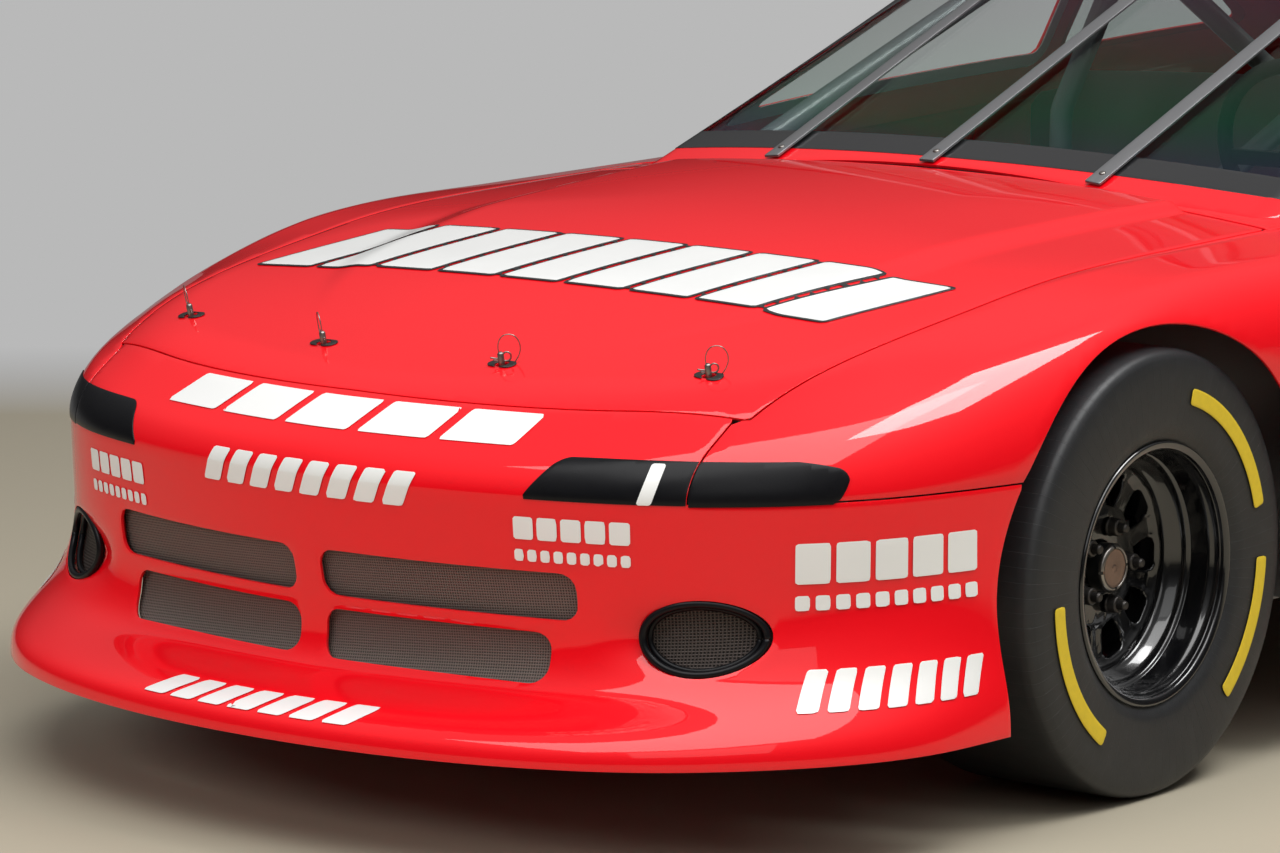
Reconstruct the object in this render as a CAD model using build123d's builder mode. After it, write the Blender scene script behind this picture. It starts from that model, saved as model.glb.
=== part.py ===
from build123d import *
from math import cos, radians, sin, sqrt, tan
import os

# Closed-body stock car, in millimetres, standing on its tyres.
# The origin is on the ground, midway between the axles.
# The nose points along -Y, the left side of the car is +X, and +Z is up.

os.makedirs("parts", exist_ok=True)

# Driving dimensions of the whole car
WHEELBASE = 2794
FRONT_OVERHANG = 1110
REAR_OVERHANG = 1110
TRACK = 1510
GROUND_CLEARANCE = 165
ROOF_HEIGHT = 1275

# Wheels and tyres
TYRE_RADIUS = 349
TYRE_WIDTH = 300
BEAD_RADIUS = 192
RIM_FLANGE_RADIUS = 207.5
RIM_WIDTH = 267
RIM_WALL = 5
DROP_RADIUS = 166
DISC_OUTBOARD = 35
DISC_THICKNESS = 7
DISC_DISH = 8
DISC_BEND_RADIUS = 118
WINDOW_COUNT = 10
WINDOW_CORNER = 9
STUD_CIRCLE = 127
STUD_COUNT = 5
STUD_RADIUS = 8
NUT_RADIUS = 13
NUT_LENGTH = 22
STUD_TIP = 14
SNOUT_RADIUS = 38
SNOUT_REACH = 27
SNOUT_CHAMFER = 5
CAP_RADIUS = 29
CAP_DEPTH = 2
HUB_RADIUS = 78
HUB_THICKNESS = 14
ROTOR_RADIUS = 132
ROTOR_THICKNESS = 26
ROTOR_INBOARD = 55
ROTOR_NECK_RADIUS = 60
SPINDLE_RADIUS = 22
RIM_OFFSET = 8

# Running clearances
FIT_GAP = 0.3
PANEL_GAP = 6

# Body skin
SKIN = 12
CABIN_WALL = 20
SEAM_HEIGHT = 535
GLASS_THICKNESS = 6
GLASS_INSET = 2
ARCH_RADIUS = 405
ARCH_CENTRE_HEIGHT = 330

# Hood and deck lid
HOOD_FRONT = -845
HOOD_FRONT_RADIUS = 1386
HOOD_CORNER_X = 637
HOOD_WAIST = -200
HOOD_WAIST_X = 690
HOOD_REAR_X = 705
HOOD_REAR = 588
COWL_FRONT = 622
COWL_REAR = 700
DECK_FRONT = 2962
DECK_REAR = 3850
DECK_HALF_WIDTH = 690
DECK_EDGE_GAP = 8
DECK_CORNER = 60
HINGE_X = 300
HINGE_BACKSET = 12
HINGE_PIN_RADIUS = 4
HINGE_EYE_RADIUS = 8
HINGE_WIDTH = 24
HINGE_CHEEK = 5
HINGE_SIDE_GAP = 1
HINGE_LUG = 20
HINGE_SKIN_DROP = 2
CLEVIS_HALF = 6
CLEVIS_LUG = 12
CLEVIS_SKIN_DROP = 3
HOOD_HINGE_HEIGHT = 834
DECK_HINGE_HEIGHT = 930
SPOILER_HEIGHT = 140
SPOILER_THICKNESS = 6

# Steering
KINGPIN_X = 640
STEERING_ARM = 125
TIE_ROD_HEIGHT = 290
TIE_ROD_RADIUS = 10
STEERING_WHEEL_RADIUS = 190
STEERING_WHEEL_X = 340
STEERING_WHEEL_STATION = 1330
STEERING_WHEEL_HEIGHT = 835
COLUMN_TILT = 22

# Chassis
RAIL_WIDTH = 76
RAIL_HEIGHT = 102
MAIN_RAIL_X = 640
CLIP_RAIL_X = 370
REAR_RAIL_X = 470
RAIL_BOTTOM = 185
CAGE_TUBE = 22
FLOOR_THICKNESS = 6
FLOOR_HEIGHT = 215

FRONT_AXLE_Y = -WHEELBASE / 2
REAR_AXLE_Y = WHEELBASE / 2
NOSE_Y = FRONT_AXLE_Y - FRONT_OVERHANG
TAIL_Y = REAR_AXLE_Y + REAR_OVERHANG
WHEEL_X = TRACK / 2

# Half width and length that reach past the whole car
WIDE = 1000
FAR = 4000


def station(ahead):
    """Y of a point given by its distance behind the front axle."""
    return FRONT_AXLE_Y + ahead


# Body sections, front to rear.
# y, crown z, hood edge x, hood edge z, shoulder x, shoulder z, shoulder bulge, foot x
BODY_SECTIONS = [
    (station(-985), 500, 260, 480, 430, 440, 6, 450),
    (station(-925), 588, 335, 540, 520, 470, 8, 540),
    (station(-845), 647, 560, 548, 665, 465, 12, 680),
    (station(-700), 686, 635, 645, 772, 500, 26, 780),
    (station(-410), 752, 665, 735, 893, 535, 45, 905),
    (station(0), 812, 700, 792, 925, 610, 48, 925),
    (station(600), 848, 705, 813, 918, 650, 42, 925),
    (station(1900), 890, 780, 872, 922, 690, 34, 925),
    (REAR_AXLE_Y, 940, 765, 918, 925, 730, 46, 925),
    (REAR_AXLE_Y + 1140, 940, 705, 912, 870, 740, 44, 880),
]

# Levels of the nose below the seam.
# z, front y, bend x, bend y, corner x, corner y, flank x, flank y, rear x
NOSE_LEVELS = [
    (GROUND_CLEARANCE, -1110, 432, -1035, 700, -880, 895, -635, 945),
    (200, -1106, 435, -1022, 698, -872, 890, -625, 941),
    (225, -1030, 447, -945, 700, -812, 872, -590, 928),
    (255, -940, 455, -872, 694, -757, 845, -555, 912),
    (345, -943, 465, -878, 690, -752, 838, -545, 905),
    (425, -955, 480, -883, 690, -752, 835, -540, 903),
    (SEAM_HEIGHT, -966, 500, -885, 701, -754, 835, -543, 903),
]
NOSE_REAR = -412
LIP_TOP = 255

# Levels of the cabin above the belt.
# z, front y, front corner x, front corner y, side x, rear corner x, rear corner y, rear y
CABIN_LEVELS = [
    (760, 346, 677, 530, 824, 706, 3140, 3290),
    (1290, 1705, 545, 1822, 570, 520, 2030, 2100),
]


# Share of an inset that moves an edge along its flatter face
EDGE_DRAW = 0.3


def section_sketch(row, inset, floor_z):
    """Closed body section, drawn in by inset, with its foot at floor_z."""
    y, crown, edge_x, edge_z, side_x, side_z, bulge, foot_x = row
    edge = Vector(edge_x - inset * EDGE_DRAW, edge_z - inset)
    side = Vector(side_x - inset, side_z - inset * EDGE_DRAW)
    foot = Vector(foot_x - inset, floor_z)
    with BuildSketch(Plane.XZ.offset(-y)) as face:
        with BuildLine():
            ThreePointArc((-edge.X, edge.Y), (0, crown - inset), (edge.X, edge.Y))
            SagittaArc((edge.X, edge.Y), (side.X, side.Y), bulge)
            Polyline((side.X, side.Y), (foot.X, foot.Y), (-foot.X, foot.Y), (-side.X, side.Y))
            SagittaArc((-side.X, side.Y), (-edge.X, edge.Y), bulge)
        make_face()
    return face.sketch


def skin_height(y, x):
    """Height of the crown of the body at a point in plan."""
    for front, rear in zip(BODY_SECTIONS, BODY_SECTIONS[1:]):
        if front[0] <= y <= rear[0]:
            share = (y - front[0]) / (rear[0] - front[0])
            crown, edge_x, edge_z = (a + (b - a) * share for a, b in zip(front[1:4], rear[1:4]))
            return crown - (crown - edge_z) * (x / edge_x) ** 2
    return BODY_SECTIONS[-1][1]


# Plan of the tail: x, and depth ahead of the tail's rearmost point
TAIL_FLANK = (925, 360)
TAIL_CORNER = (800, 125)
TAIL_FACE = (620, 50)


def tail_plan(inset):
    """Plan outline that rounds the tail."""
    tail = TAIL_Y - inset
    flank = (TAIL_FLANK[0] - inset, tail - TAIL_FLANK[1])
    corner = (TAIL_CORNER[0] - inset, tail - TAIL_CORNER[1])
    face = (TAIL_FACE[0], tail - TAIL_FACE[1])
    wide_y = tail - 2 * TAIL_FLANK[1]
    ahead_y = NOSE_Y - FAR
    with BuildSketch() as plan:
        with BuildLine():
            Polyline(flank, (WIDE, wide_y), (WIDE, ahead_y), (-WIDE, ahead_y), (-WIDE, wide_y))
            Line((-WIDE, wide_y), (-flank[0], flank[1]))
            ThreePointArc((-flank[0], flank[1]), (-corner[0], corner[1]), (-face[0], face[1]))
            ThreePointArc((-face[0], face[1]), (0, tail), face)
            ThreePointArc(face, corner, flank)
        make_face()
    return plan.sketch


def body_form(inset, floor_z):
    """Solid of the body above floor_z, drawn in by inset."""
    with BuildPart() as form:
        loft([section_sketch(row, inset, floor_z) for row in BODY_SECTIONS], ruled=True)
        with BuildSketch():
            add(tail_plan(inset))
        extrude(amount=FAR, mode=Mode.INTERSECT)
    return form.part


# Outward directions of the nose at its bend, its corner and its flank, as x and y shares
BEND_DRAW = (0.35, 0.94)
CORNER_DRAW = (0.7, 0.7)
FLANK_DRAW = (0.94, 0.35)
REAR_DRAW = 20


def nose_sketch(row, inset, level):
    """Plan outline of one level of the nose, drawn in by inset."""
    front_y, bend_x, bend_y, corner_x, corner_y, flank_x, flank_y, rear_x = row
    front = (0, station(front_y + inset))
    bend = (bend_x - inset * BEND_DRAW[0], station(bend_y + inset * BEND_DRAW[1]))
    corner = (corner_x - inset * CORNER_DRAW[0], station(corner_y + inset * CORNER_DRAW[1]))
    flank = (flank_x - inset * FLANK_DRAW[0], station(flank_y + inset * FLANK_DRAW[1]))
    rear = (rear_x - inset, station(NOSE_REAR + min(inset, 1) * REAR_DRAW))
    with BuildSketch(Plane.XY.offset(level)) as face:
        with BuildLine():
            ThreePointArc((-bend[0], bend[1]), front, bend)
            ThreePointArc(bend, corner, flank)
            Polyline(flank, rear, (-rear[0], rear[1]), (-flank[0], flank[1]))
            ThreePointArc((-flank[0], flank[1]), (-corner[0], corner[1]), (-bend[0], bend[1]))
        make_face()
    return face.sketch


def nose_form(inset):
    """Solid of the nose below the seam, drawn in by inset."""
    rows = [(row[0] - inset if row[0] <= LIP_TOP else row[0], row[1:]) for row in NOSE_LEVELS]
    with BuildPart() as form:
        loft([nose_sketch(row, inset, level) for level, row in rows], ruled=True)
    return form.part


# Level distance per millimetre of wall, for the sloping glass and for the sides
GLASS_DRAW = 2.6
SIDE_DRAW = 1.12


def cabin_sketch(row, inset):
    """Plan outline of one level of the cabin, drawn in by inset."""
    z, front_y, front_x, corner_y, side_x, rear_x, rear_corner_y, rear_y = row
    pull = inset * GLASS_DRAW
    side = side_x - inset * SIDE_DRAW
    front = (0, station(front_y + pull))
    left_front = (front_x - inset, station(corner_y + pull))
    left_rear = (rear_x - inset, station(rear_corner_y - pull))
    rear = (0, station(rear_y - pull))
    middle = station((corner_y + rear_corner_y) / 2)
    with BuildSketch(Plane.XY.offset(z)) as face:
        with BuildLine():
            ThreePointArc((-left_front[0], left_front[1]), front, left_front)
            ThreePointArc(left_front, (side, middle), left_rear)
            ThreePointArc(left_rear, rear, (-left_rear[0], left_rear[1]))
            ThreePointArc(
                (-left_rear[0], left_rear[1]),
                (-side, middle),
                (-left_front[0], left_front[1]),
            )
        make_face()
    return face.sketch


ROOF_CROSS_RADIUS = 3600
ROOF_LENGTH_RADIUS = 3900
ROOF_PEAK = 1980
ROOF_HALF_LENGTH = 2100
ROOF_HALF_ANGLE = 20


def cabin_form(inset):
    """Solid of the cabin with its crowned roof, drawn in by inset."""
    top = ROOF_HEIGHT - inset
    axis = Axis((0, 0, ROOF_HEIGHT - ROOF_CROSS_RADIUS), (0, 1, 0))
    drop = ROOF_LENGTH_RADIUS - sqrt(ROOF_LENGTH_RADIUS**2 - ROOF_HALF_LENGTH**2)
    peak = station(ROOF_PEAK)
    front = (peak - ROOF_HALF_LENGTH, top - drop)
    rear = (peak + ROOF_HALF_LENGTH, top - drop)
    with BuildPart() as crown:
        with BuildSketch(Plane.YZ):
            with BuildLine():
                ThreePointArc(front, (peak, top), rear)
                Polyline(rear, (rear[0], GROUND_CLEARANCE), (front[0], GROUND_CLEARANCE), front)
            make_face()
        revolve(axis=axis, revolution_arc=2 * ROOF_HALF_ANGLE)
    with BuildPart() as form:
        loft([cabin_sketch(row, inset) for row in CABIN_LEVELS], ruled=True)
        add(crown.part.rotate(axis, -ROOF_HALF_ANGLE), mode=Mode.INTERSECT)
    return form.part


def hood_outline(grow):
    """Plan outline of the hood, grown by grow."""
    arc_centre = HOOD_FRONT + HOOD_FRONT_RADIUS
    corner_x = HOOD_CORNER_X + grow
    radius = HOOD_FRONT_RADIUS + grow
    corner_y = arc_centre - sqrt(radius**2 - corner_x**2)
    waist = (HOOD_WAIST_X + grow, station(HOOD_WAIST))
    rear = (HOOD_REAR_X + grow, station(HOOD_REAR + grow))
    with BuildSketch() as plan:
        with BuildLine():
            ThreePointArc(
                (-corner_x, station(corner_y)),
                (0, station(HOOD_FRONT - grow)),
                (corner_x, station(corner_y)),
            )
            ThreePointArc((corner_x, station(corner_y)), waist, rear)
            Line(rear, (-rear[0], rear[1]))
            ThreePointArc((-rear[0], rear[1]), (-waist[0], waist[1]), (-corner_x, station(corner_y)))
        make_face()
    return plan.sketch


def deck_outline(grow):
    """Plan outline of the deck lid, grown by grow."""
    length = DECK_REAR - DECK_FRONT + 2 * grow
    middle = station((DECK_REAR + DECK_FRONT) / 2)
    with BuildSketch() as plan:
        with Locations((0, middle)):
            RectangleRounded(2 * (DECK_HALF_WIDTH + grow), length, DECK_CORNER + grow)
    return plan.sketch


def prism(sketch, bottom, top):
    """Upright prism on a plan sketch."""
    with BuildPart() as solid:
        with BuildSketch(Plane.XY.offset(bottom)):
            add(sketch)
        extrude(amount=top - bottom)
    return solid.part


def block(x_range, station_range, z_range):
    """Box between two corners, its length given by stations."""
    with BuildPart() as solid:
        with Locations((x_range[0], station(station_range[0]), z_range[0])):
            Box(
                x_range[1] - x_range[0],
                station_range[1] - station_range[0],
                z_range[1] - z_range[0],
                align=(Align.MIN, Align.MIN, Align.MIN),
            )
    return solid.part


def cylinder_x(radius, x_range, y, z):
    """Cylinder along X."""
    with BuildPart() as solid:
        with BuildSketch(Plane.YZ.offset(x_range[0])):
            with Locations((y, z)):
                Circle(radius)
        extrude(amount=x_range[1] - x_range[0])
    return solid.part


def mirrored(solid):
    """The same piece on the other side of the car."""
    with BuildPart() as other:
        add(solid)
        mirror(about=Plane.YZ, mode=Mode.REPLACE)
    return other.part


def save(solid, name):
    """Label one piece and write it."""
    solid.label = name
    export_step(solid, f"parts/{name}.step")


# Forms of the body and the cabin
body_outer = body_form(0, GROUND_CLEARANCE)
body_inner = body_form(SKIN, GROUND_CLEARANCE - SKIN)
cabin_outer = cabin_form(0)
cabin_inner = cabin_form(CABIN_WALL)
nose_outer = nose_form(0)
nose_inner = nose_form(SKIN)

# Wheel wells, cabin well and the wedge under the tail
ARCH_INNER_X = 480
with BuildPart() as wheel_wells:
    for x_range in ((ARCH_INNER_X, WIDE), (-WIDE, -ARCH_INNER_X)):
        add(cylinder_x(ARCH_RADIUS, x_range, FRONT_AXLE_Y, ARCH_CENTRE_HEIGHT))
        add(cylinder_x(ARCH_RADIUS, x_range, REAR_AXLE_Y, ARCH_CENTRE_HEIGHT))

with BuildPart() as cabin_well:
    add(cabin_inner)
    add(block((-WIDE, WIDE), (0, COWL_REAR), (0, FAR)), mode=Mode.SUBTRACT)

TAIL_RISE = 75
with BuildPart() as tail_rise:
    with BuildSketch(Plane.YZ.offset(-WIDE)):
        with BuildLine():
            Polyline(
                (REAR_AXLE_Y + ARCH_RADIUS, 0),
                (REAR_AXLE_Y + ARCH_RADIUS, GROUND_CLEARANCE),
                (TAIL_Y + PANEL_GAP, GROUND_CLEARANCE + TAIL_RISE),
                (TAIL_Y + PANEL_GAP, 0),
                close=True,
            )
        make_face()
    extrude(amount=2 * WIDE)

with BuildPart() as body_shell:
    add(body_outer)
    add(body_inner, mode=Mode.SUBTRACT)
    add(cabin_well.part, mode=Mode.SUBTRACT)
    add(wheel_wells.part, mode=Mode.SUBTRACT)
    add(tail_rise.part, mode=Mode.SUBTRACT)

# Split lines of the body, as stations behind the front axle
DOOR_FRONT = 730
DOOR_REAR = 2040
TAIL_SPLIT = 3560
QUARTER_MIDDLE = 2500
DOOR_INNER_X = 300
NOSE_SIDE_X = 630
SEAM_GAP = 3
COWL_X = 712
DECK_SPLIT_X = 640

# Heights under the level panels of the hood, of the cowl and deck, and of the deck lid
HOOD_LOW = 500
COWL_LOW = 700
PANEL_LOW = 800
DECK_LOW = 850
PANEL_TOP = 1000

# Openings of the nose: x from, x to, z from, z to
GRILLE_OPENINGS = [
    (26, 463, 352, 424),
    (26, 420, 258, 332),
]
GRILLE_CORNER = 22
DUCT_X = 585
DUCT_HEIGHT = 325
DUCT_HALF_WIDTH = 82
DUCT_HALF_HEIGHT = 54
# Stations of the sketch planes that the openings and the covers are cut from
GRILLE_PLANE = -650
DUCT_PLANE = -500
COVER_PLANE = -520
CUT_REACH = 600


def grille_sketch(grow):
    """Front view of the four grille openings."""
    with BuildSketch(Plane.XZ.offset(-station(GRILLE_PLANE))) as face:
        for x_from, x_to, z_from, z_to in GRILLE_OPENINGS:
            for side in (-1, 1):
                with Locations((side * (x_from + x_to) / 2, (z_from + z_to) / 2)):
                    RectangleRounded(
                        x_to - x_from + 2 * grow,
                        z_to - z_from + 2 * grow,
                        GRILLE_CORNER + grow,
                    )
    return face.sketch


def duct_sketch(grow):
    """Front view of the two brake duct mouths."""
    with BuildSketch(Plane.XZ.offset(-station(DUCT_PLANE))) as face:
        for side in (-1, 1):
            with Locations((side * DUCT_X, DUCT_HEIGHT)):
                Ellipse(DUCT_HALF_WIDTH + grow, DUCT_HALF_HEIGHT + grow)
    return face.sketch


# Headlamp cover in front view: x, z
COVER_OUTLINE = [(392, 542), (432, 600), (640, 606), (760, 598), (800, 560), (790, 542)]
COVER_CORNER = 12


def cover_sketch(grow):
    """Front view of the two headlamp covers."""
    with BuildSketch(Plane.XZ.offset(-station(COVER_PLANE))) as face:
        with BuildLine():
            Polyline(*COVER_OUTLINE, close=True)
        make_face()
        fillet(face.vertices(), COVER_CORNER)
        offset(amount=grow, kind=Kind.INTERSECTION)
        mirror(about=Plane.YZ)
    return face.sketch


# Nose, with its air dam lip
with BuildPart() as nose:
    add(body_shell.part)
    add(block((-NOSE_SIDE_X, NOSE_SIDE_X), (-FAR, NOSE_REAR), (SEAM_HEIGHT, FAR)), mode=Mode.INTERSECT)
    add(prism(hood_outline(PANEL_GAP), 0, FAR), mode=Mode.SUBTRACT)
    add(nose_outer)
    add(nose_inner, mode=Mode.SUBTRACT)
    extrude(grille_sketch(0), amount=CUT_REACH, mode=Mode.SUBTRACT)
    extrude(duct_sketch(0), amount=CUT_REACH, mode=Mode.SUBTRACT)
    extrude(cover_sketch(FIT_GAP), amount=CUT_REACH, mode=Mode.SUBTRACT)
save(nose.part, "nose")

# Mesh screens behind the grille openings and the ducts
SCREEN_THICKNESS = 4
SCREEN_LAP = 8
with BuildPart() as screen_windows:
    extrude(grille_sketch(SCREEN_LAP), amount=CUT_REACH)
    extrude(duct_sketch(SCREEN_LAP), amount=CUT_REACH)
with BuildPart() as grille_screens:
    add(nose_form(SKIN + FIT_GAP))
    add(nose_form(SKIN + FIT_GAP + SCREEN_THICKNESS), mode=Mode.SUBTRACT)
    add(screen_windows.part, mode=Mode.INTERSECT)
save(grille_screens.part, "grille_screens")

# Headlamp covers, flush with the skin
with BuildPart() as headlamp_covers:
    add(body_shell.part)
    extrude(cover_sketch(0), amount=CUT_REACH, mode=Mode.INTERSECT)
save(headlamp_covers.part, "headlamp_covers")

# Front fender, left side, with its brow over the seam of the nose
BROW_Z = (SEAM_HEIGHT + SEAM_GAP, FAR)
with BuildPart() as brow:
    add(body_shell.part)
    add(block((NOSE_SIDE_X + SEAM_GAP, WIDE), (-FAR, NOSE_REAR + SEAM_GAP), BROW_Z), mode=Mode.INTERSECT)
with BuildPart() as left_fender:
    add(body_shell.part)
    add(block((0, WIDE), (NOSE_REAR + SEAM_GAP, DOOR_FRONT), (0, FAR)), mode=Mode.INTERSECT)
    add(brow.part)
    add(prism(hood_outline(PANEL_GAP), 0, FAR), mode=Mode.SUBTRACT)
    add(block((-WIDE, COWL_X), (0, FAR), (0, FAR)), mode=Mode.SUBTRACT)
    extrude(cover_sketch(FIT_GAP), amount=CUT_REACH, mode=Mode.SUBTRACT)
save(left_fender.part, "left_fender")
save(mirrored(left_fender.part), "right_fender")

# Doors and quarter panels
with BuildPart() as left_door:
    add(body_shell.part)
    add(block((DOOR_INNER_X, WIDE), (DOOR_FRONT + SEAM_GAP, DOOR_REAR), (0, FAR)), mode=Mode.INTERSECT)
save(left_door.part, "left_door")
save(mirrored(left_door.part), "right_door")

with BuildPart() as left_quarter:
    add(body_shell.part)
    add(block((SEAM_GAP, WIDE), (DOOR_REAR + SEAM_GAP, TAIL_SPLIT), (0, FAR)), mode=Mode.INTERSECT)
    add(prism(deck_outline(DECK_EDGE_GAP), DECK_LOW, FAR), mode=Mode.SUBTRACT)
    add(block((0, DECK_SPLIT_X + SEAM_GAP), (DOOR_REAR, DECK_FRONT), (PANEL_LOW, FAR)), mode=Mode.SUBTRACT)
save(left_quarter.part, "left_quarter")
save(mirrored(left_quarter.part), "right_quarter")

with BuildPart() as tail:
    add(body_shell.part)
    add(block((-WIDE, WIDE), (TAIL_SPLIT + SEAM_GAP, FAR), (0, FAR)), mode=Mode.INTERSECT)
    add(prism(deck_outline(DECK_EDGE_GAP), DECK_LOW, FAR), mode=Mode.SUBTRACT)
save(tail.part, "tail")


def hinge_eye(x, y, z, edge_y, skin_z):
    """Eye round a hinge pin, with its lug back to the panel's edge."""
    toward = 1 if edge_y > y else -1
    with BuildPart() as eye:
        with BuildSketch(Plane.YZ.offset(x - HINGE_WIDTH / 2)):
            with Locations((y, z)):
                Circle(HINGE_EYE_RADIUS)
            with BuildLine():
                Polyline(
                    (y, z + HINGE_EYE_RADIUS),
                    (edge_y + toward * HINGE_LUG, skin_z - HINGE_SKIN_DROP),
                    (edge_y + toward * HINGE_LUG, skin_z - SKIN - HINGE_SKIN_DROP),
                    (y, z - HINGE_EYE_RADIUS),
                    close=True,
                )
            make_face()
            with Locations((y, z)):
                Circle(HINGE_PIN_RADIUS + FIT_GAP, mode=Mode.SUBTRACT)
        extrude(amount=HINGE_WIDTH)
    return eye.part


def hinge_clevis(x, y, z, root_y, skin_z):
    """Two cheeks and their pin, reaching forward from the fixed panel."""
    toward = 1 if root_y > y else -1
    cheek_in = HINGE_WIDTH / 2 + HINGE_SIDE_GAP
    pin_half = cheek_in + HINGE_CHEEK - HINGE_SIDE_GAP - HINGE_SIDE_GAP
    with BuildPart() as clevis:
        for side in (-1, 1):
            inner = x + side * cheek_in
            start = min(inner, inner + side * HINGE_CHEEK)
            with BuildSketch(Plane.YZ.offset(start)):
                with BuildLine():
                    Polyline(
                        (y - toward * CLEVIS_HALF, z + CLEVIS_HALF),
                        (root_y + toward * CLEVIS_LUG, skin_z - CLEVIS_SKIN_DROP),
                        (root_y + toward * CLEVIS_LUG, skin_z - SKIN - CLEVIS_SKIN_DROP),
                        (y - toward * CLEVIS_HALF, z - CLEVIS_HALF),
                        close=True,
                    )
                make_face()
            extrude(amount=HINGE_CHEEK)
        add(cylinder_x(HINGE_PIN_RADIUS, (x - pin_half, x + pin_half), y, z))
    return clevis.part


# Hood, with its raised centre panel and four pin holes
# station, crease x, foot x, rise
BULGE_SECTIONS = [
    (-560, 300, 330, 2),
    (-380, 400, 450, 9),
    (0, 445, 530, 14),
    (HOOD_REAR, 520, 540, 15),
]
# x, station of the hood pins
HOOD_PINS = [(-526, -642), (-181, -707), (181, -707), (526, -642)]
HOOD_PIN_RADIUS = 6
HOOD_PIN_HOLE = 14
HOOD_PIN_CUT = 40
HOOD_PIN_LEAN = 13
HOOD_PIN_RISE = 30
HOOD_HINGE_Y = station(HOOD_REAR + HINGE_BACKSET)
with BuildPart() as bulge:
    for ahead, crease_x, foot_x, rise in BULGE_SECTIONS:
        y = station(ahead)
        centre = skin_height(y, 0)
        crease_z = skin_height(y, crease_x) + rise
        foot_z = skin_height(y, foot_x) - 3
        with BuildSketch(Plane.XZ.offset(-y)):
            with BuildLine():
                ThreePointArc((-crease_x, crease_z), (0, centre + rise), (crease_x, crease_z))
                Line((crease_x, crease_z), (foot_x, foot_z))
                ThreePointArc((foot_x, foot_z), (0, centre - SKIN / 2), (-foot_x, foot_z))
                Line((-foot_x, foot_z), (-crease_x, crease_z))
            make_face()
    loft(ruled=True)

with BuildPart() as hood:
    add(body_shell.part)
    add(prism(hood_outline(0), HOOD_LOW, PANEL_TOP), mode=Mode.INTERSECT)
    add(bulge.part)
    for x, ahead in HOOD_PINS:
        y = station(ahead)
        lean = radians(HOOD_PIN_LEAN)
        with BuildSketch(Plane((x, y, skin_height(y, x)), z_dir=(0, -sin(lean), cos(lean)))):
            Circle(HOOD_PIN_HOLE)
        extrude(amount=HOOD_PIN_CUT, both=True, mode=Mode.SUBTRACT)
    for side in (-1, 1):
        edge_y = station(HOOD_REAR)
        edge_z = skin_height(edge_y, HINGE_X)
        add(hinge_eye(side * HINGE_X, HOOD_HINGE_Y, HOOD_HINGE_HEIGHT, edge_y, edge_z))
save(hood.part, "hood")

with BuildPart() as cowl_panel:
    add(body_shell.part)
    cowl_half = COWL_X - SEAM_GAP
    add(block((-cowl_half, cowl_half), (COWL_FRONT, COWL_REAR), (COWL_LOW, FAR)), mode=Mode.INTERSECT)
    for side in (-1, 1):
        root_y = station(COWL_FRONT)
        root_z = skin_height(root_y, HINGE_X)
        add(hinge_clevis(side * HINGE_X, HOOD_HINGE_Y, HOOD_HINGE_HEIGHT, root_y, root_z))
save(cowl_panel.part, "cowl_panel")

# Deck lid and spoiler
DECK_HINGE_Y = station(DECK_FRONT - HINGE_BACKSET)
with BuildPart() as deck_lid:
    add(body_shell.part)
    add(prism(deck_outline(0), DECK_LOW, PANEL_TOP), mode=Mode.INTERSECT)
    for side in (-1, 1):
        edge_y = station(DECK_FRONT)
        edge_z = skin_height(edge_y, HINGE_X)
        add(hinge_eye(side * HINGE_X, DECK_HINGE_Y, DECK_HINGE_HEIGHT, edge_y, edge_z))
save(deck_lid.part, "deck_lid")

SPOILER_STATION = 3800
SPOILER_LEAN = 22
SPOILER_HALF_WIDTH = 660
SPOILER_FLANGE = 50
SPOILER_ROOT = 60
SPOILER_FLANGE_THICKNESS = 4
with BuildPart() as rear_spoiler:
    foot_y = station(SPOILER_STATION)
    foot_z = skin_height(foot_y, 0) + 2
    lean = SPOILER_HEIGHT * tan(radians(SPOILER_LEAN))
    with BuildSketch(Plane.YZ.offset(-SPOILER_HALF_WIDTH)):
        with BuildLine():
            Polyline(
                (foot_y - SPOILER_FLANGE, foot_z - SPOILER_ROOT),
                (foot_y - SPOILER_FLANGE, foot_z + SPOILER_FLANGE_THICKNESS),
                (foot_y - SPOILER_THICKNESS, foot_z + SPOILER_FLANGE_THICKNESS),
                (foot_y + lean - SPOILER_THICKNESS, foot_z + SPOILER_HEIGHT),
                (foot_y + lean, foot_z + SPOILER_HEIGHT),
                (foot_y, foot_z + SPOILER_FLANGE_THICKNESS),
                (foot_y, foot_z - SPOILER_ROOT),
                close=True,
            )
        make_face()
    extrude(amount=2 * SPOILER_HALF_WIDTH)
    add(body_form(-FIT_GAP, GROUND_CLEARANCE), mode=Mode.SUBTRACT)
save(rear_spoiler.part, "rear_spoiler")

# Panel between the rear window and the deck lid, notched round the hinges
DECK_NOTCH = 28
with BuildPart() as deck_panel:
    add(body_shell.part)
    panel_span = (QUARTER_MIDDLE, DECK_FRONT - DECK_EDGE_GAP)
    add(block((-DECK_SPLIT_X, DECK_SPLIT_X), panel_span, (PANEL_LOW, PANEL_TOP)), mode=Mode.INTERSECT)
    for side in (-1, 1):
        root_y = station(DECK_FRONT - DECK_EDGE_GAP)
        root_z = skin_height(root_y, HINGE_X)
        notch_half = HINGE_WIDTH / 2 + HINGE_SIDE_GAP
        notch = (side * HINGE_X - notch_half, side * HINGE_X + notch_half)
        add(block(notch, (DECK_FRONT - DECK_NOTCH, DECK_FRONT), (PANEL_LOW, PANEL_TOP)), mode=Mode.SUBTRACT)
        root_y -= DECK_NOTCH / 2
        add(hinge_clevis(side * HINGE_X, DECK_HINGE_Y, DECK_HINGE_HEIGHT, root_y, root_z))
save(deck_panel.part, "deck_panel")

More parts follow.
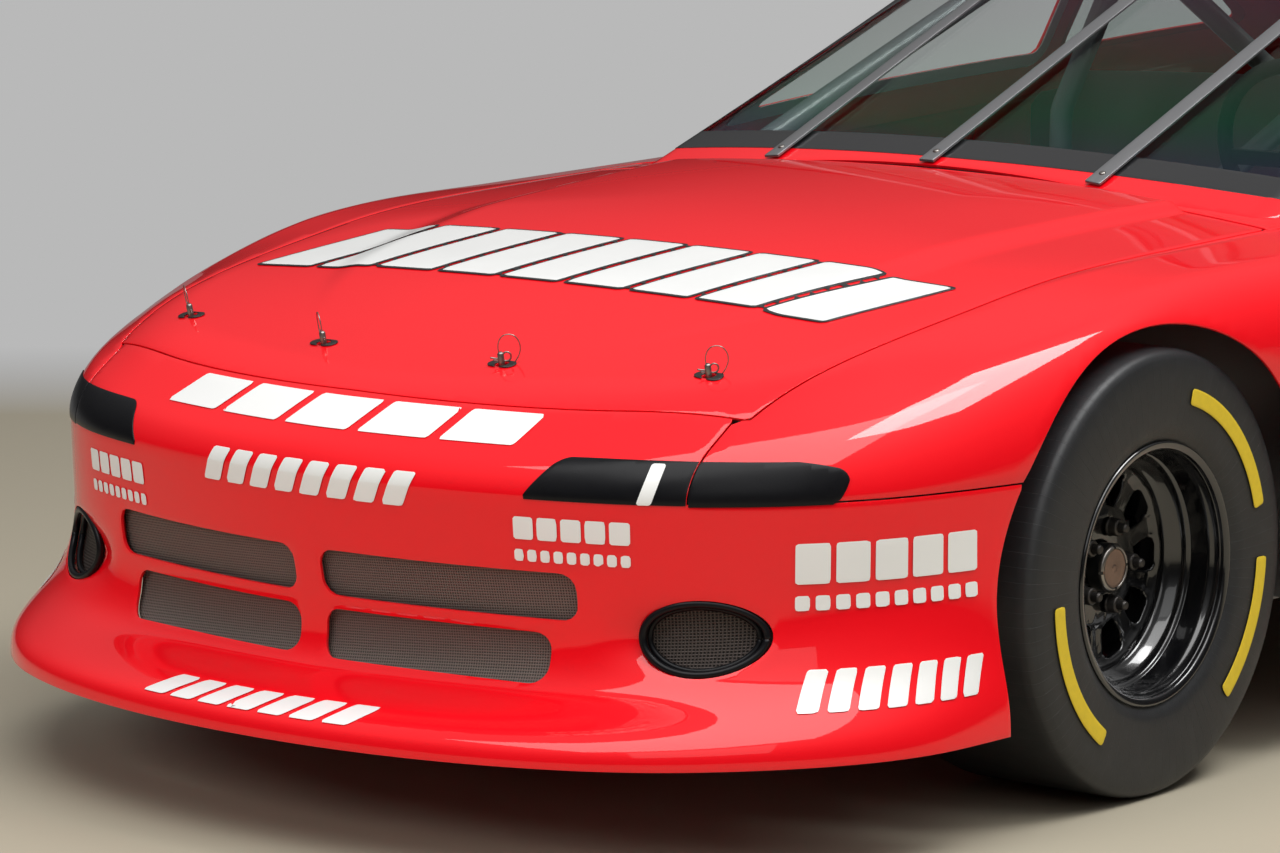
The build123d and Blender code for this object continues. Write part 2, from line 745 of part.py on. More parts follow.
# Window openings in plan: corner x, corner station, centre station, at each end
WINDOW_PLAN_CORNER = 25
WINDOW_SIDE_CORNER = 18
WINDSCREEN_EDGES = [(600, 735, 668), (503, 1570, 1490)]
REAR_WINDOW_EDGES = [(480, 2265, 2315), (562, 2735, 2830)]
# Window openings in side view: station, height
DOOR_WINDOW = [(955, 895), (1672, 1182), (2005, 1195), (2005, 925)]
QUARTER_WINDOW = [(2085, 930), (2085, 1192), (2175, 1185), (2590, 965)]


def plan_window(edges, grow):
    """Plan outline of a curved window between its two edges."""
    (front_x, front_corner, front_centre), (rear_x, rear_corner, rear_centre) = edges
    with BuildSketch() as plan:
        with BuildLine():
            ThreePointArc(
                (-front_x, station(front_corner)),
                (0, station(front_centre)),
                (front_x, station(front_corner)),
            )
            Line((front_x, station(front_corner)), (rear_x, station(rear_corner)))
            ThreePointArc(
                (rear_x, station(rear_corner)),
                (0, station(rear_centre)),
                (-rear_x, station(rear_corner)),
            )
            Line((-rear_x, station(rear_corner)), (-front_x, station(front_corner)))
        make_face()
        offset(amount=grow, kind=Kind.INTERSECTION)
        fillet(plan.vertices(), WINDOW_PLAN_CORNER + grow)
    return plan.sketch


def side_window(points, grow):
    """Bar through the cabin with the outline of a side window."""
    with BuildPart() as solid:
        with BuildSketch(Plane.YZ.offset(-WIDE)) as face:
            with BuildLine():
                Polyline(*[(station(ahead), z) for ahead, z in points], close=True)
            make_face()
            fillet(face.vertices(), WINDOW_SIDE_CORNER)
            offset(amount=grow, kind=Kind.INTERSECTION)
        extrude(amount=2 * WIDE)
    return solid.part


def pane(openings):
    """Glass that fills window openings, just inside the outer face."""
    with BuildPart() as cutters:
        for opening in openings:
            add(opening)
    with BuildPart() as glass:
        add(cabin_form(GLASS_INSET))
        add(cabin_form(GLASS_INSET + GLASS_THICKNESS), mode=Mode.SUBTRACT)
        add(cutters.part, mode=Mode.INTERSECT)
    return glass.part


with BuildPart() as roof:
    add(cabin_outer)
    add(cabin_inner, mode=Mode.SUBTRACT)
    add(body_form(-FIT_GAP, GROUND_CLEARANCE), mode=Mode.SUBTRACT)
    add(block((-WIDE, WIDE), (0, COWL_FRONT), (0, FAR)), mode=Mode.SUBTRACT)
    add(prism(plan_window(WINDSCREEN_EDGES, 0), PANEL_LOW, FAR), mode=Mode.SUBTRACT)
    add(prism(plan_window(REAR_WINDOW_EDGES, 0), PANEL_LOW, FAR), mode=Mode.SUBTRACT)
    add(side_window(DOOR_WINDOW, 0), mode=Mode.SUBTRACT)
    add(side_window(QUARTER_WINDOW, 0), mode=Mode.SUBTRACT)
save(roof.part, "roof")

save(pane([prism(plan_window(WINDSCREEN_EDGES, -FIT_GAP), PANEL_LOW, FAR)]), "windshield")
rear_panes = [
    prism(plan_window(REAR_WINDOW_EDGES, -FIT_GAP), PANEL_LOW, FAR),
    side_window(QUARTER_WINDOW, -FIT_GAP),
]
save(pane(rear_panes), "rear_windows")

# Flat braces over the windshield and the rear window: x, station from, station to
BRACES = [(-338, 632, 1600), (0, 632, 1585), (338, 632, 1600), (-240, 2230, 2860), (240, 2230, 2860)]
BRACE_WIDTH = 32
BRACE_THICKNESS = 4
with BuildPart() as brace_strips:
    for x, ahead_from, ahead_to in BRACES:
        add(block((x - BRACE_WIDTH / 2, x + BRACE_WIDTH / 2), (ahead_from, ahead_to), (PANEL_LOW, FAR)))
with BuildPart() as window_braces:
    add(cabin_form(-FIT_GAP - BRACE_THICKNESS))
    add(cabin_form(-FIT_GAP), mode=Mode.SUBTRACT)
    add(body_form(-FIT_GAP, GROUND_CLEARANCE), mode=Mode.SUBTRACT)
    add(brace_strips.part, mode=Mode.INTERSECT)
save(window_braces.part, "window_braces")


def tube(points, radius, bend=0):
    """Round tube along straight runs, joined by bends."""
    with BuildPart() as pipe:
        with BuildLine() as path:
            if bend > 0:
                FilletPolyline(*points, radius=bend)
            else:
                Polyline(*points)
        with BuildSketch(Plane(path.line @ 0, z_dir=path.line % 0)):
            Circle(radius)
        sweep(path=path.line, transition=Transition.ROUND)
    return pipe.part


def spot(x, ahead, z):
    """Point given by its station."""
    return (x, station(ahead), z)


# Wheels. Axis points out of the car along +X in the left-hand wheel.
DISC_X = WHEEL_X + DISC_OUTBOARD
RIM_IN_X = WHEEL_X + RIM_OFFSET - RIM_WIDTH / 2
RIM_OUT_X = WHEEL_X + RIM_OFFSET + RIM_WIDTH / 2
TYRE_IN_X = WHEEL_X - TYRE_WIDTH / 2
TYRE_OUT_X = WHEEL_X + TYRE_WIDTH / 2
BEAD_WIDTH = 26
TREAD_EDGE = 24
TREAD_CROWN = 4
# Shoulder of the tyre: depth and tuck of its bend and of its foot
SHOULDER_BEND = (11, 7)
SHOULDER_FOOT = (34, 1)
BEAD_LAP = 3
CASING = 10
# Dropped barrel: its inboard shelf, the fall to the well and the step up to the outboard shelf
SHELF_WIDTH = 60
WELL_FALL = 18
WELL_BEHIND_DISC = 4
WELL_RISE = 30
DISC_FOOT = 8
PAD_MARGIN = 3
WINDOW_CUT = 40
SEAT_RADIUS = BEAD_RADIUS - FIT_GAP
BARREL_RADIUS = SEAT_RADIUS - RIM_WALL


def wheel_revolve(profile, axle_y):
    """Solid of revolution about the axle, from x and radius points."""
    with BuildPart() as solid:
        with BuildSketch(Plane((0, axle_y, TYRE_RADIUS), x_dir=(1, 0, 0), z_dir=(0, -1, 0))):
            with BuildLine():
                Polyline(*profile, close=True)
            make_face()
        revolve(axis=Axis((0, axle_y, TYRE_RADIUS), (1, 0, 0)))
    return solid.part


def tyre_solid(axle_y):
    """Slick tyre with bulged sidewalls and rounded tread edges."""
    tread_half = TYRE_WIDTH / 2 - TREAD_EDGE
    wall_z = (TYRE_RADIUS + BEAD_RADIUS) / 2
    bead_in = RIM_IN_X + RIM_WALL + FIT_GAP
    bead_out = RIM_OUT_X - RIM_WALL - FIT_GAP
    shoulder = TYRE_RADIUS - TREAD_CROWN
    bend_r = shoulder - SHOULDER_BEND[0]
    foot_r = shoulder - SHOULDER_FOOT[0]
    lap_r = RIM_FLANGE_RADIUS + BEAD_LAP
    casing_r = RIM_FLANGE_RADIUS + CASING
    with BuildPart() as solid:
        with BuildSketch(Plane((0, axle_y, TYRE_RADIUS), x_dir=(1, 0, 0), z_dir=(0, -1, 0))):
            with BuildLine():
                ThreePointArc(
                    (WHEEL_X - tread_half, shoulder),
                    (WHEEL_X, TYRE_RADIUS),
                    (WHEEL_X + tread_half, shoulder),
                )
                ThreePointArc(
                    (WHEEL_X + tread_half, shoulder),
                    (TYRE_OUT_X - SHOULDER_BEND[1], bend_r),
                    (TYRE_OUT_X - SHOULDER_FOOT[1], foot_r),
                )
                ThreePointArc(
                    (TYRE_OUT_X - SHOULDER_FOOT[1], foot_r),
                    (TYRE_OUT_X, wall_z),
                    (bead_out, lap_r),
                )
                Polyline(
                    (bead_out, lap_r),
                    (bead_out, BEAD_RADIUS),
                    (bead_out - BEAD_WIDTH, BEAD_RADIUS),
                    (bead_out - BEAD_WIDTH, casing_r),
                    (bead_in + BEAD_WIDTH, casing_r),
                    (bead_in + BEAD_WIDTH, BEAD_RADIUS),
                    (bead_in, BEAD_RADIUS),
                    (bead_in, lap_r),
                )
                ThreePointArc(
                    (bead_in, lap_r),
                    (TYRE_IN_X, wall_z),
                    (TYRE_IN_X + SHOULDER_FOOT[1], foot_r),
                )
                ThreePointArc(
                    (TYRE_IN_X + SHOULDER_FOOT[1], foot_r),
                    (TYRE_IN_X + SHOULDER_BEND[1], bend_r),
                    (WHEEL_X - tread_half, shoulder),
                )
            make_face()
        revolve(axis=Axis((0, axle_y, TYRE_RADIUS), (1, 0, 0)))
    return solid.part


# Wheel window, from the hub outwards: radius, half width
WINDOW_ROWS = [(96, 14.5), (136, 27.5), (150, 22.5)]


def window_sketch():
    """Outline of one wheel window, wider at the rim than at the hub."""
    far_side = [(radius, half) for radius, half in reversed(WINDOW_ROWS)]
    with BuildSketch() as face:
        with BuildLine():
            Polyline(*[(radius, -half) for radius, half in WINDOW_ROWS], *far_side, close=True)
        make_face()
        fillet(face.vertices(), WINDOW_CORNER)
    return face.sketch


def rim_solid(axle_y):
    """Steel rim: dropped barrel, flanges and a disc with windows."""
    well_in = RIM_IN_X + SHELF_WIDTH
    well_out = DISC_X - WELL_BEHIND_DISC
    seat_out = well_out + WELL_RISE
    pad_r = HUB_RADIUS + PAD_MARGIN
    well_r = DROP_RADIUS - RIM_WALL
    profile = [
        (RIM_IN_X, RIM_FLANGE_RADIUS),
        (RIM_IN_X + RIM_WALL, RIM_FLANGE_RADIUS),
        (RIM_IN_X + RIM_WALL, SEAT_RADIUS),
        (well_in, SEAT_RADIUS),
        (well_in + WELL_FALL, DROP_RADIUS),
        (well_out, DROP_RADIUS),
        (seat_out, SEAT_RADIUS),
        (RIM_OUT_X - RIM_WALL, SEAT_RADIUS),
        (RIM_OUT_X - RIM_WALL, RIM_FLANGE_RADIUS),
        (RIM_OUT_X, RIM_FLANGE_RADIUS),
        (RIM_OUT_X, BARREL_RADIUS),
        (seat_out, BARREL_RADIUS),
        (well_out, well_r),
        (DISC_X, DROP_RADIUS - DISC_FOOT),
        (DISC_X - DISC_DISH, DISC_BEND_RADIUS),
        (DISC_X, pad_r),
        (DISC_X, SNOUT_RADIUS + FIT_GAP),
        (DISC_X - DISC_THICKNESS, SNOUT_RADIUS + FIT_GAP),
        (DISC_X - DISC_THICKNESS, pad_r),
        (DISC_X - DISC_DISH - DISC_THICKNESS, DISC_BEND_RADIUS),
        (DISC_X - DISC_THICKNESS, DROP_RADIUS - DISC_FOOT - DISC_THICKNESS),
        (well_out - DISC_THICKNESS, well_r),
        (well_in + WELL_FALL, well_r),
        (well_in, BARREL_RADIUS),
        (RIM_IN_X, BARREL_RADIUS),
    ]
    with BuildPart() as solid:
        add(wheel_revolve(profile, axle_y))
        with BuildSketch(Plane((DISC_X - WINDOW_CUT, axle_y, TYRE_RADIUS), x_dir=(0, 1, 0), z_dir=(1, 0, 0))):
            with PolarLocations(0, WINDOW_COUNT):
                add(window_sketch())
            with PolarLocations(STUD_CIRCLE / 2, STUD_COUNT):
                Circle(STUD_RADIUS + FIT_GAP)
        extrude(amount=2 * WINDOW_CUT, mode=Mode.SUBTRACT)
    return solid.part


def hub_solid(axle_y):
    """Hub with its brake rotor, studs, nuts and grease cap."""
    flange_out = DISC_X - DISC_THICKNESS
    flange_in = flange_out - HUB_THICKNESS
    rotor_out = WHEEL_X - ROTOR_INBOARD + ROTOR_THICKNESS
    rotor_in = WHEEL_X - ROTOR_INBOARD
    bore = SPINDLE_RADIUS + FIT_GAP
    profile = [
        (rotor_in, bore),
        (rotor_in, ROTOR_RADIUS),
        (rotor_out, ROTOR_RADIUS),
        (rotor_out, ROTOR_NECK_RADIUS),
        (flange_in, ROTOR_NECK_RADIUS),
        (flange_in, HUB_RADIUS),
        (flange_out - FIT_GAP, HUB_RADIUS),
        (flange_out - FIT_GAP, SNOUT_RADIUS),
        (DISC_X + SNOUT_REACH - SNOUT_CHAMFER, SNOUT_RADIUS),
        (DISC_X + SNOUT_REACH, SNOUT_RADIUS - SNOUT_CHAMFER),
        (DISC_X + SNOUT_REACH, CAP_RADIUS),
        (DISC_X + SNOUT_REACH - CAP_DEPTH, CAP_RADIUS),
        (DISC_X + SNOUT_REACH - CAP_DEPTH, 0),
        (flange_out, 0),
        (flange_out, bore),
    ]
    with BuildPart() as solid:
        add(wheel_revolve(profile, axle_y))
        with BuildSketch(Plane((flange_in, axle_y, TYRE_RADIUS), x_dir=(0, 1, 0), z_dir=(1, 0, 0))):
            with PolarLocations(STUD_CIRCLE / 2, STUD_COUNT):
                Circle(STUD_RADIUS)
        extrude(amount=DISC_X + FIT_GAP + NUT_LENGTH + STUD_TIP - flange_in)
        nut_plane = Plane((DISC_X + FIT_GAP, axle_y, TYRE_RADIUS), x_dir=(0, 1, 0), z_dir=(1, 0, 0))
        with BuildSketch(nut_plane):
            with PolarLocations(STUD_CIRCLE / 2, STUD_COUNT):
                RegularPolygon(NUT_RADIUS, 6)
        extrude(amount=NUT_LENGTH)
    return solid.part


for end, axle_y in (("front", FRONT_AXLE_Y), ("rear", REAR_AXLE_Y)):
    for piece, solid in (
        ("tyre", tyre_solid(axle_y)),
        ("rim", rim_solid(axle_y)),
        ("hub", hub_solid(axle_y)),
    ):
        save(solid, f"left_{end}_{piece}")
        save(mirrored(solid), f"right_{end}_{piece}")

# Front knuckles with spindle, steering arm and brake caliper
POST_HALF = 22
POST_CORNER = 8
ARM_ROOT = (20, 10)
ARM_TIP_HALF = 12
POST_BOTTOM = 225
POST_TOP = 462
STUD_HOLE_DEPTH = 30
BALL_STUD_RADIUS = 8
LOWER_ARM_HEIGHT = 200
UPPER_ARM_HEIGHT = 487
ARM_THICKNESS = 26
CALIPER_BRIDGE = 8
ARM_PIN_RADIUS = 6
SPINDLE_END_X = DISC_X - DISC_THICKNESS - 5
CALIPER_IN = 84
CALIPER_HALF = 48
CALIPER_SIDES = (20, 18)
CALIPER_GAP = 5
BRACKET_HALF = 30
ARM_LUG_RADIUS = 15
ARM_DEPTH = 23
ARM_DROP = 45
ROD_PIN_LENGTH = 48
ROD_EYE_RADIUS = 14
ROD_EYE_DROP = 16
ROD_EYE_LENGTH = 30
with BuildPart() as left_knuckle:
    rotor_in = WHEEL_X - ROTOR_INBOARD
    rotor_out = rotor_in + ROTOR_THICKNESS
    bridge_y = ROTOR_RADIUS + CALIPER_GAP
    caliper_out = bridge_y + CALIPER_BRIDGE
    with BuildSketch(Plane.XY.offset(POST_BOTTOM)):
        with Locations((KINGPIN_X, FRONT_AXLE_Y)):
            RectangleRounded(2 * POST_HALF, 2 * POST_HALF, POST_CORNER)
    extrude(amount=POST_TOP - POST_BOTTOM)
    add(cylinder_x(SPINDLE_RADIUS, (KINGPIN_X, SPINDLE_END_X), FRONT_AXLE_Y, TYRE_RADIUS))
    with BuildSketch(Plane.XY.offset(TIE_ROD_HEIGHT - ARM_DROP)):
        with BuildLine():
            Polyline(
                (KINGPIN_X + ARM_ROOT[0], FRONT_AXLE_Y - ARM_ROOT[1]),
                (KINGPIN_X - ARM_ROOT[0], FRONT_AXLE_Y - ARM_ROOT[1]),
                (KINGPIN_X - ARM_TIP_HALF, FRONT_AXLE_Y - STEERING_ARM),
                (KINGPIN_X + ARM_TIP_HALF, FRONT_AXLE_Y - STEERING_ARM),
                close=True,
            )
        make_face()
        with Locations((KINGPIN_X, FRONT_AXLE_Y - STEERING_ARM)):
            Circle(ARM_LUG_RADIUS)
            Circle(ARM_PIN_RADIUS + FIT_GAP, mode=Mode.SUBTRACT)
    extrude(amount=ARM_DEPTH)
    bracket_x = (KINGPIN_X + POST_HALF / 2, rotor_in - CALIPER_GAP)
    add(block(bracket_x, (0, caliper_out), (TYRE_RADIUS - BRACKET_HALF, TYRE_RADIUS + BRACKET_HALF)))
    caliper_x = (rotor_in - CALIPER_SIDES[0], rotor_out + CALIPER_SIDES[1])
    caliper_z = (TYRE_RADIUS - CALIPER_HALF, TYRE_RADIUS + CALIPER_HALF)
    add(block(caliper_x, (CALIPER_IN, caliper_out), caliper_z))
    slot_x = (rotor_in - CALIPER_GAP, rotor_out + CALIPER_GAP)
    add(block(slot_x, (CALIPER_IN - 1, bridge_y), caliper_z), mode=Mode.SUBTRACT)
    for floor_z in (POST_BOTTOM, POST_TOP - STUD_HOLE_DEPTH):
        with BuildSketch(Plane.XY.offset(floor_z)):
            with Locations((KINGPIN_X, FRONT_AXLE_Y)):
                Circle(BALL_STUD_RADIUS + FIT_GAP)
        extrude(amount=STUD_HOLE_DEPTH, mode=Mode.SUBTRACT)
save(left_knuckle.part, "left_knuckle")
save(mirrored(left_knuckle.part), "right_knuckle")

# Tie rod between the steering arms
with BuildPart() as tie_rod:
    rod_y = FRONT_AXLE_Y - STEERING_ARM
    add(cylinder_x(TIE_ROD_RADIUS, (-KINGPIN_X, KINGPIN_X), rod_y, TIE_ROD_HEIGHT))
    with BuildSketch(Plane.XY.offset(TIE_ROD_HEIGHT - ROD_PIN_LENGTH)):
        with Locations((-KINGPIN_X, rod_y), (KINGPIN_X, rod_y)):
            Circle(ARM_PIN_RADIUS)
    extrude(amount=ROD_PIN_LENGTH)
    with BuildSketch(Plane.XY.offset(TIE_ROD_HEIGHT - ROD_EYE_DROP)):
        with Locations((-KINGPIN_X, rod_y), (KINGPIN_X, rod_y)):
            Circle(ROD_EYE_RADIUS)
    extrude(amount=ROD_EYE_LENGTH)
save(tie_rod.part, "tie_rod")

# Room for the gearbox
GEARBOX_HEIGHT = 370
BELL_RADIUS = 140
TUNNEL_HALF = 165
TUNNEL_TOP = 500

# Chassis: main rails, front and rear clips and their crossmembers
CLIP_FRONT = -640
MID_FRONT = 500
MID_REAR = 2150
FRAME_END = 3760
CLIP_BOTTOM = 320
CLIP_TOP = 396
CLIP_HALF = 25
KICK_BOTTOM = 500
KICK_TOP = 570
TAIL_RAIL_BOTTOM = 300
TAIL_RAIL_TOP = 376
ARM_PIVOT_X = 420
PIVOT_HALF_BASE = 150
CROSS_WIDTH = 60
REAR_CROSS = 80
RAIL_TOP = RAIL_BOTTOM + RAIL_HEIGHT
TOWER_X = 400
TOWER_HALF = 20
TOWER_TOP = 560
CRADLE = (180, 235)
PIVOT_BOSS = 22
PIVOT_TUBE = 14
END_CROSS = 50
KICK_CROSS = (2900, 2950)
# Side view of a rear rail over the axle: station, height
REAR_RAIL = [
    (MID_REAR, 205),
    (MID_REAR, 285),
    (2480, KICK_TOP),
    (3080, KICK_TOP),
    (3260, TAIL_RAIL_TOP),
    (FRAME_END, TAIL_RAIL_TOP),
    (FRAME_END, TAIL_RAIL_BOTTOM),
    (3240, TAIL_RAIL_BOTTOM),
    (3050, KICK_BOTTOM),
    (2520, KICK_BOTTOM),
]
with BuildPart() as chassis_frame:
    for side in (-1, 1):
        rail_x = side * MAIN_RAIL_X
        rail = (rail_x - RAIL_WIDTH / 2, rail_x + RAIL_WIDTH / 2)
        add(block(rail, (MID_FRONT, MID_REAR + REAR_CROSS), (RAIL_BOTTOM, RAIL_TOP)))
        clip = (side * CLIP_RAIL_X - CLIP_HALF, side * CLIP_RAIL_X + CLIP_HALF)
        add(block(clip, (CLIP_FRONT, MID_FRONT + CROSS_WIDTH), (CLIP_BOTTOM, CLIP_TOP)))
        with BuildSketch(Plane.YZ.offset(side * REAR_RAIL_X - CLIP_HALF)):
            with BuildLine():
                Polyline(*[(station(ahead), z) for ahead, z in REAR_RAIL], close=True)
            make_face()
        extrude(amount=2 * CLIP_HALF)
        tower = (side * TOWER_X - TOWER_HALF, side * TOWER_X + TOWER_HALF)
        add(block(tower, (-CROSS_WIDTH, CROSS_WIDTH), (CRADLE[0], TOWER_TOP)))
        for ahead in (-PIVOT_HALF_BASE, PIVOT_HALF_BASE):
            for z in (LOWER_ARM_HEIGHT, UPPER_ARM_HEIGHT):
                boss = (z - PIVOT_BOSS, z + PIVOT_BOSS)
                add(block(tower, (ahead - TOWER_HALF, ahead + TOWER_HALF), boss))
        for z in (LOWER_ARM_HEIGHT, UPPER_ARM_HEIGHT):
            pivot_tube = (z - PIVOT_TUBE, z + PIVOT_TUBE)
            add(block(tower, (-PIVOT_HALF_BASE, PIVOT_HALF_BASE), pivot_tube))
    outer = MAIN_RAIL_X + RAIL_WIDTH / 2
    cross = (MID_FRONT, MID_FRONT + CROSS_WIDTH)
    add(block((-outer, outer), cross, (RAIL_BOTTOM, CLIP_TOP)))
    passage = (GEARBOX_HEIGHT - BELL_RADIUS - 10, CLIP_TOP + 1)
    tunnel_cut = block((-TUNNEL_HALF, TUNNEL_HALF), (cross[0] - 1, cross[1] + 1), passage)
    add(tunnel_cut, mode=Mode.SUBTRACT)
    add(block((-outer, outer), (MID_REAR, MID_REAR + REAR_CROSS), (RAIL_BOTTOM, RAIL_TOP)))
    cradle_x = TOWER_X + TOWER_HALF
    add(block((-cradle_x, cradle_x), (-CROSS_WIDTH, CROSS_WIDTH), CRADLE))
    front_x = CLIP_RAIL_X + CLIP_HALF
    front_cross = (CLIP_FRONT, CLIP_FRONT + END_CROSS)
    add(block((-front_x, front_x), front_cross, (CLIP_BOTTOM - END_CROSS, CLIP_TOP)))
    rear_x = REAR_RAIL_X + CLIP_HALF
    rear_cross = (FRAME_END - END_CROSS, FRAME_END)
    add(block((-rear_x, rear_x), rear_cross, (TAIL_RAIL_BOTTOM, TAIL_RAIL_TOP)))
    add(block((-rear_x, rear_x), KICK_CROSS, (KICK_BOTTOM, KICK_TOP)))
save(chassis_frame.part, "chassis_frame")

# Front suspension arms
ARM_TUBE = 12
ARM_EYE_RADIUS = 20
BALL_STUD_LENGTH = 50
with BuildPart() as left_arms:
    for z, stud_from in ((LOWER_ARM_HEIGHT, 0), (UPPER_ARM_HEIGHT, -1)):
        eye = (KINGPIN_X, FRONT_AXLE_Y, z)
        for ahead in (-PIVOT_HALF_BASE, PIVOT_HALF_BASE):
            add(tube([(ARM_PIVOT_X, station(ahead), z), eye], ARM_TUBE))
        with BuildSketch(Plane.XY.offset(z - ARM_THICKNESS / 2)):
            with Locations((KINGPIN_X, FRONT_AXLE_Y)):
                Circle(ARM_EYE_RADIUS)
        extrude(amount=ARM_THICKNESS)
        with BuildSketch(Plane.XY.offset(z + stud_from * BALL_STUD_LENGTH)):
            with Locations((KINGPIN_X, FRONT_AXLE_Y)):
                Circle(BALL_STUD_RADIUS)
        extrude(amount=BALL_STUD_LENGTH)
    add(block((0, ARM_PIVOT_X), (-FAR, FAR), (0, FAR)), mode=Mode.SUBTRACT)
with BuildPart() as front_arms:
    add(left_arms.part)
    mirror(about=Plane.YZ)
save(front_arms.part, "front_arms")

# Rear axle with its housing, spindles, springs and trailing arms
HOUSING_RADIUS = 135
AXLE_RADIUS = 38
AXLE_HALF = KINGPIN_X + 20
SPRING_RADIUS = 50
HOUSING_HALF = 75
PINION_RADIUS = 60
PINION_REACH = 200
LINK_RADIUS = 22
# Trailing arm: x at its front and its rear end, height of its front end
LINK_X = (330, 400)
LINK_FRONT_HEIGHT = 240
with BuildPart() as rear_axle:
    add(cylinder_x(AXLE_RADIUS, (-AXLE_HALF, AXLE_HALF), REAR_AXLE_Y, TYRE_RADIUS))
    add(cylinder_x(SPINDLE_RADIUS, (-SPINDLE_END_X, SPINDLE_END_X), REAR_AXLE_Y, TYRE_RADIUS))
    add(cylinder_x(HOUSING_RADIUS, (-HOUSING_HALF, HOUSING_HALF), REAR_AXLE_Y, TYRE_RADIUS))
    with BuildSketch(Plane.XZ.offset(-REAR_AXLE_Y)):
        with Locations((0, TYRE_RADIUS)):
            Circle(PINION_RADIUS)
    extrude(amount=PINION_REACH)
    for side in (-1, 1):
        spring_x = side * REAR_RAIL_X
        with BuildSketch(Plane.XY.offset(TYRE_RADIUS)):
            with Locations((spring_x, REAR_AXLE_Y)):
                Circle(SPRING_RADIUS)
        extrude(amount=KICK_BOTTOM - TYRE_RADIUS)
        link_front = spot(side * LINK_X[0], MID_REAR + REAR_CROSS, LINK_FRONT_HEIGHT)
        add(tube([link_front, (side * LINK_X[1], REAR_AXLE_Y, TYRE_RADIUS)], LINK_RADIUS))
    add(chassis_frame.part, mode=Mode.SUBTRACT)
save(rear_axle.part, "rear_axle")

# Engine block, gearbox and propeller shaft
SHAFT_FRONT = 1080
SHAFT_RADIUS = 38
ENGINE_FRONT = 70
ENGINE_REAR = 490
BELL_LENGTH = 60
MOUNT_SPAN = (200, 260)
ENGINE_HALF = 250
ENGINE_HEIGHTS = (290, 690)
MOUNT_HEIGHTS = (330, 380)
GEARBOX_SECTION = (220, 210, 40)
with BuildPart() as engine:
    mount_x = CLIP_RAIL_X - CLIP_HALF
    add(block((-ENGINE_HALF, ENGINE_HALF), (ENGINE_FRONT, ENGINE_REAR), ENGINE_HEIGHTS))
    add(block((-mount_x, mount_x), MOUNT_SPAN, MOUNT_HEIGHTS))
save(engine.part, "engine")
with BuildPart() as drive_line:
    with BuildSketch(Plane.XZ.offset(-station(ENGINE_REAR))):
        with Locations((0, GEARBOX_HEIGHT)):
            Circle(BELL_RADIUS)
    extrude(amount=-BELL_LENGTH)
    gearbox_front = ENGINE_REAR + BELL_LENGTH
    with BuildSketch(Plane.XZ.offset(-station(gearbox_front))):
        with Locations((0, GEARBOX_HEIGHT)):
            RectangleRounded(*GEARBOX_SECTION)
    extrude(amount=gearbox_front - SHAFT_FRONT)
    shaft_end = (0, REAR_AXLE_Y - PINION_REACH, TYRE_RADIUS)
    add(tube([spot(0, SHAFT_FRONT, GEARBOX_HEIGHT), shaft_end], SHAFT_RADIUS))
    add(rear_axle.part, mode=Mode.SUBTRACT)
save(drive_line.part, "gearbox_and_shaft")

# Radiator on the front crossmember
RADIATOR_HALF = 330
RADIATOR_TOP = 610
with BuildPart() as radiator:
    add(block((-RADIATOR_HALF, RADIATOR_HALF), front_cross, (CLIP_TOP, RADIATOR_TOP)))
save(radiator.part, "radiator")

# Roll cage, inside the cabin
HOOP_STATION = 1950
ROOF_BAR_X = 478
CAGE_TOP = 1168
CAGE_SHOULDER = 820
HARNESS_HEIGHT = 700
HOOP_BEND = 90
BAR_BEND = 120
PILLAR_X = 615
# Height of the diagonal's foot and x of its head
DIAGONAL = (400, 300)
# Front leg: station and height of its bends, and the cross bars over the glass and the dash
LEG_FOOT = 780
LEG_BEND = (850, 800)
LEG_HEAD = (1640, CAGE_TOP - 12)
HEAD_BAR = (480, 1620, CAGE_TOP - 17)
DASH_BAR = (830, 715)
with BuildPart() as main_hoop:
    hoop_points = [
        spot(-MAIN_RAIL_X, HOOP_STATION, RAIL_TOP),
        spot(-MAIN_RAIL_X, HOOP_STATION, CAGE_SHOULDER),
        spot(-ROOF_BAR_X, HOOP_STATION, CAGE_TOP),
        spot(ROOF_BAR_X, HOOP_STATION, CAGE_TOP),
        spot(MAIN_RAIL_X, HOOP_STATION, CAGE_SHOULDER),
        spot(MAIN_RAIL_X, HOOP_STATION, RAIL_TOP),
    ]
    add(tube(hoop_points, CAGE_TUBE, HOOP_BEND))
    diagonal = [spot(-MAIN_RAIL_X, HOOP_STATION, DIAGONAL[0]), spot(DIAGONAL[1], HOOP_STATION, CAGE_TOP)]
    harness_bar = [spot(x, HOOP_STATION, HARNESS_HEIGHT) for x in (-MAIN_RAIL_X, MAIN_RAIL_X)]
    add(tube(diagonal, CAGE_TUBE))
    add(tube(harness_bar, CAGE_TUBE))
save(main_hoop.part, "main_hoop")

with BuildPart() as halo_bars:
    for side in (-1, 1):
        leg = [
            spot(side * MAIN_RAIL_X, LEG_FOOT, RAIL_TOP),
            spot(side * PILLAR_X, *LEG_BEND),
            spot(side * ROOF_BAR_X, *LEG_HEAD),
            spot(side * ROOF_BAR_X, HOOP_STATION, CAGE_TOP),
        ]
        add(tube(leg, CAGE_TUBE, BAR_BEND))
    add(tube([spot(side * HEAD_BAR[0], *HEAD_BAR[1:]) for side in (-1, 1)], CAGE_TUBE))
    add(tube([spot(side * PILLAR_X, *DASH_BAR) for side in (-1, 1)], CAGE_TUBE))
    add(main_hoop.part, mode=Mode.SUBTRACT)
    add(chassis_frame.part, mode=Mode.SUBTRACT)
save(halo_bars.part, "halo_bars")

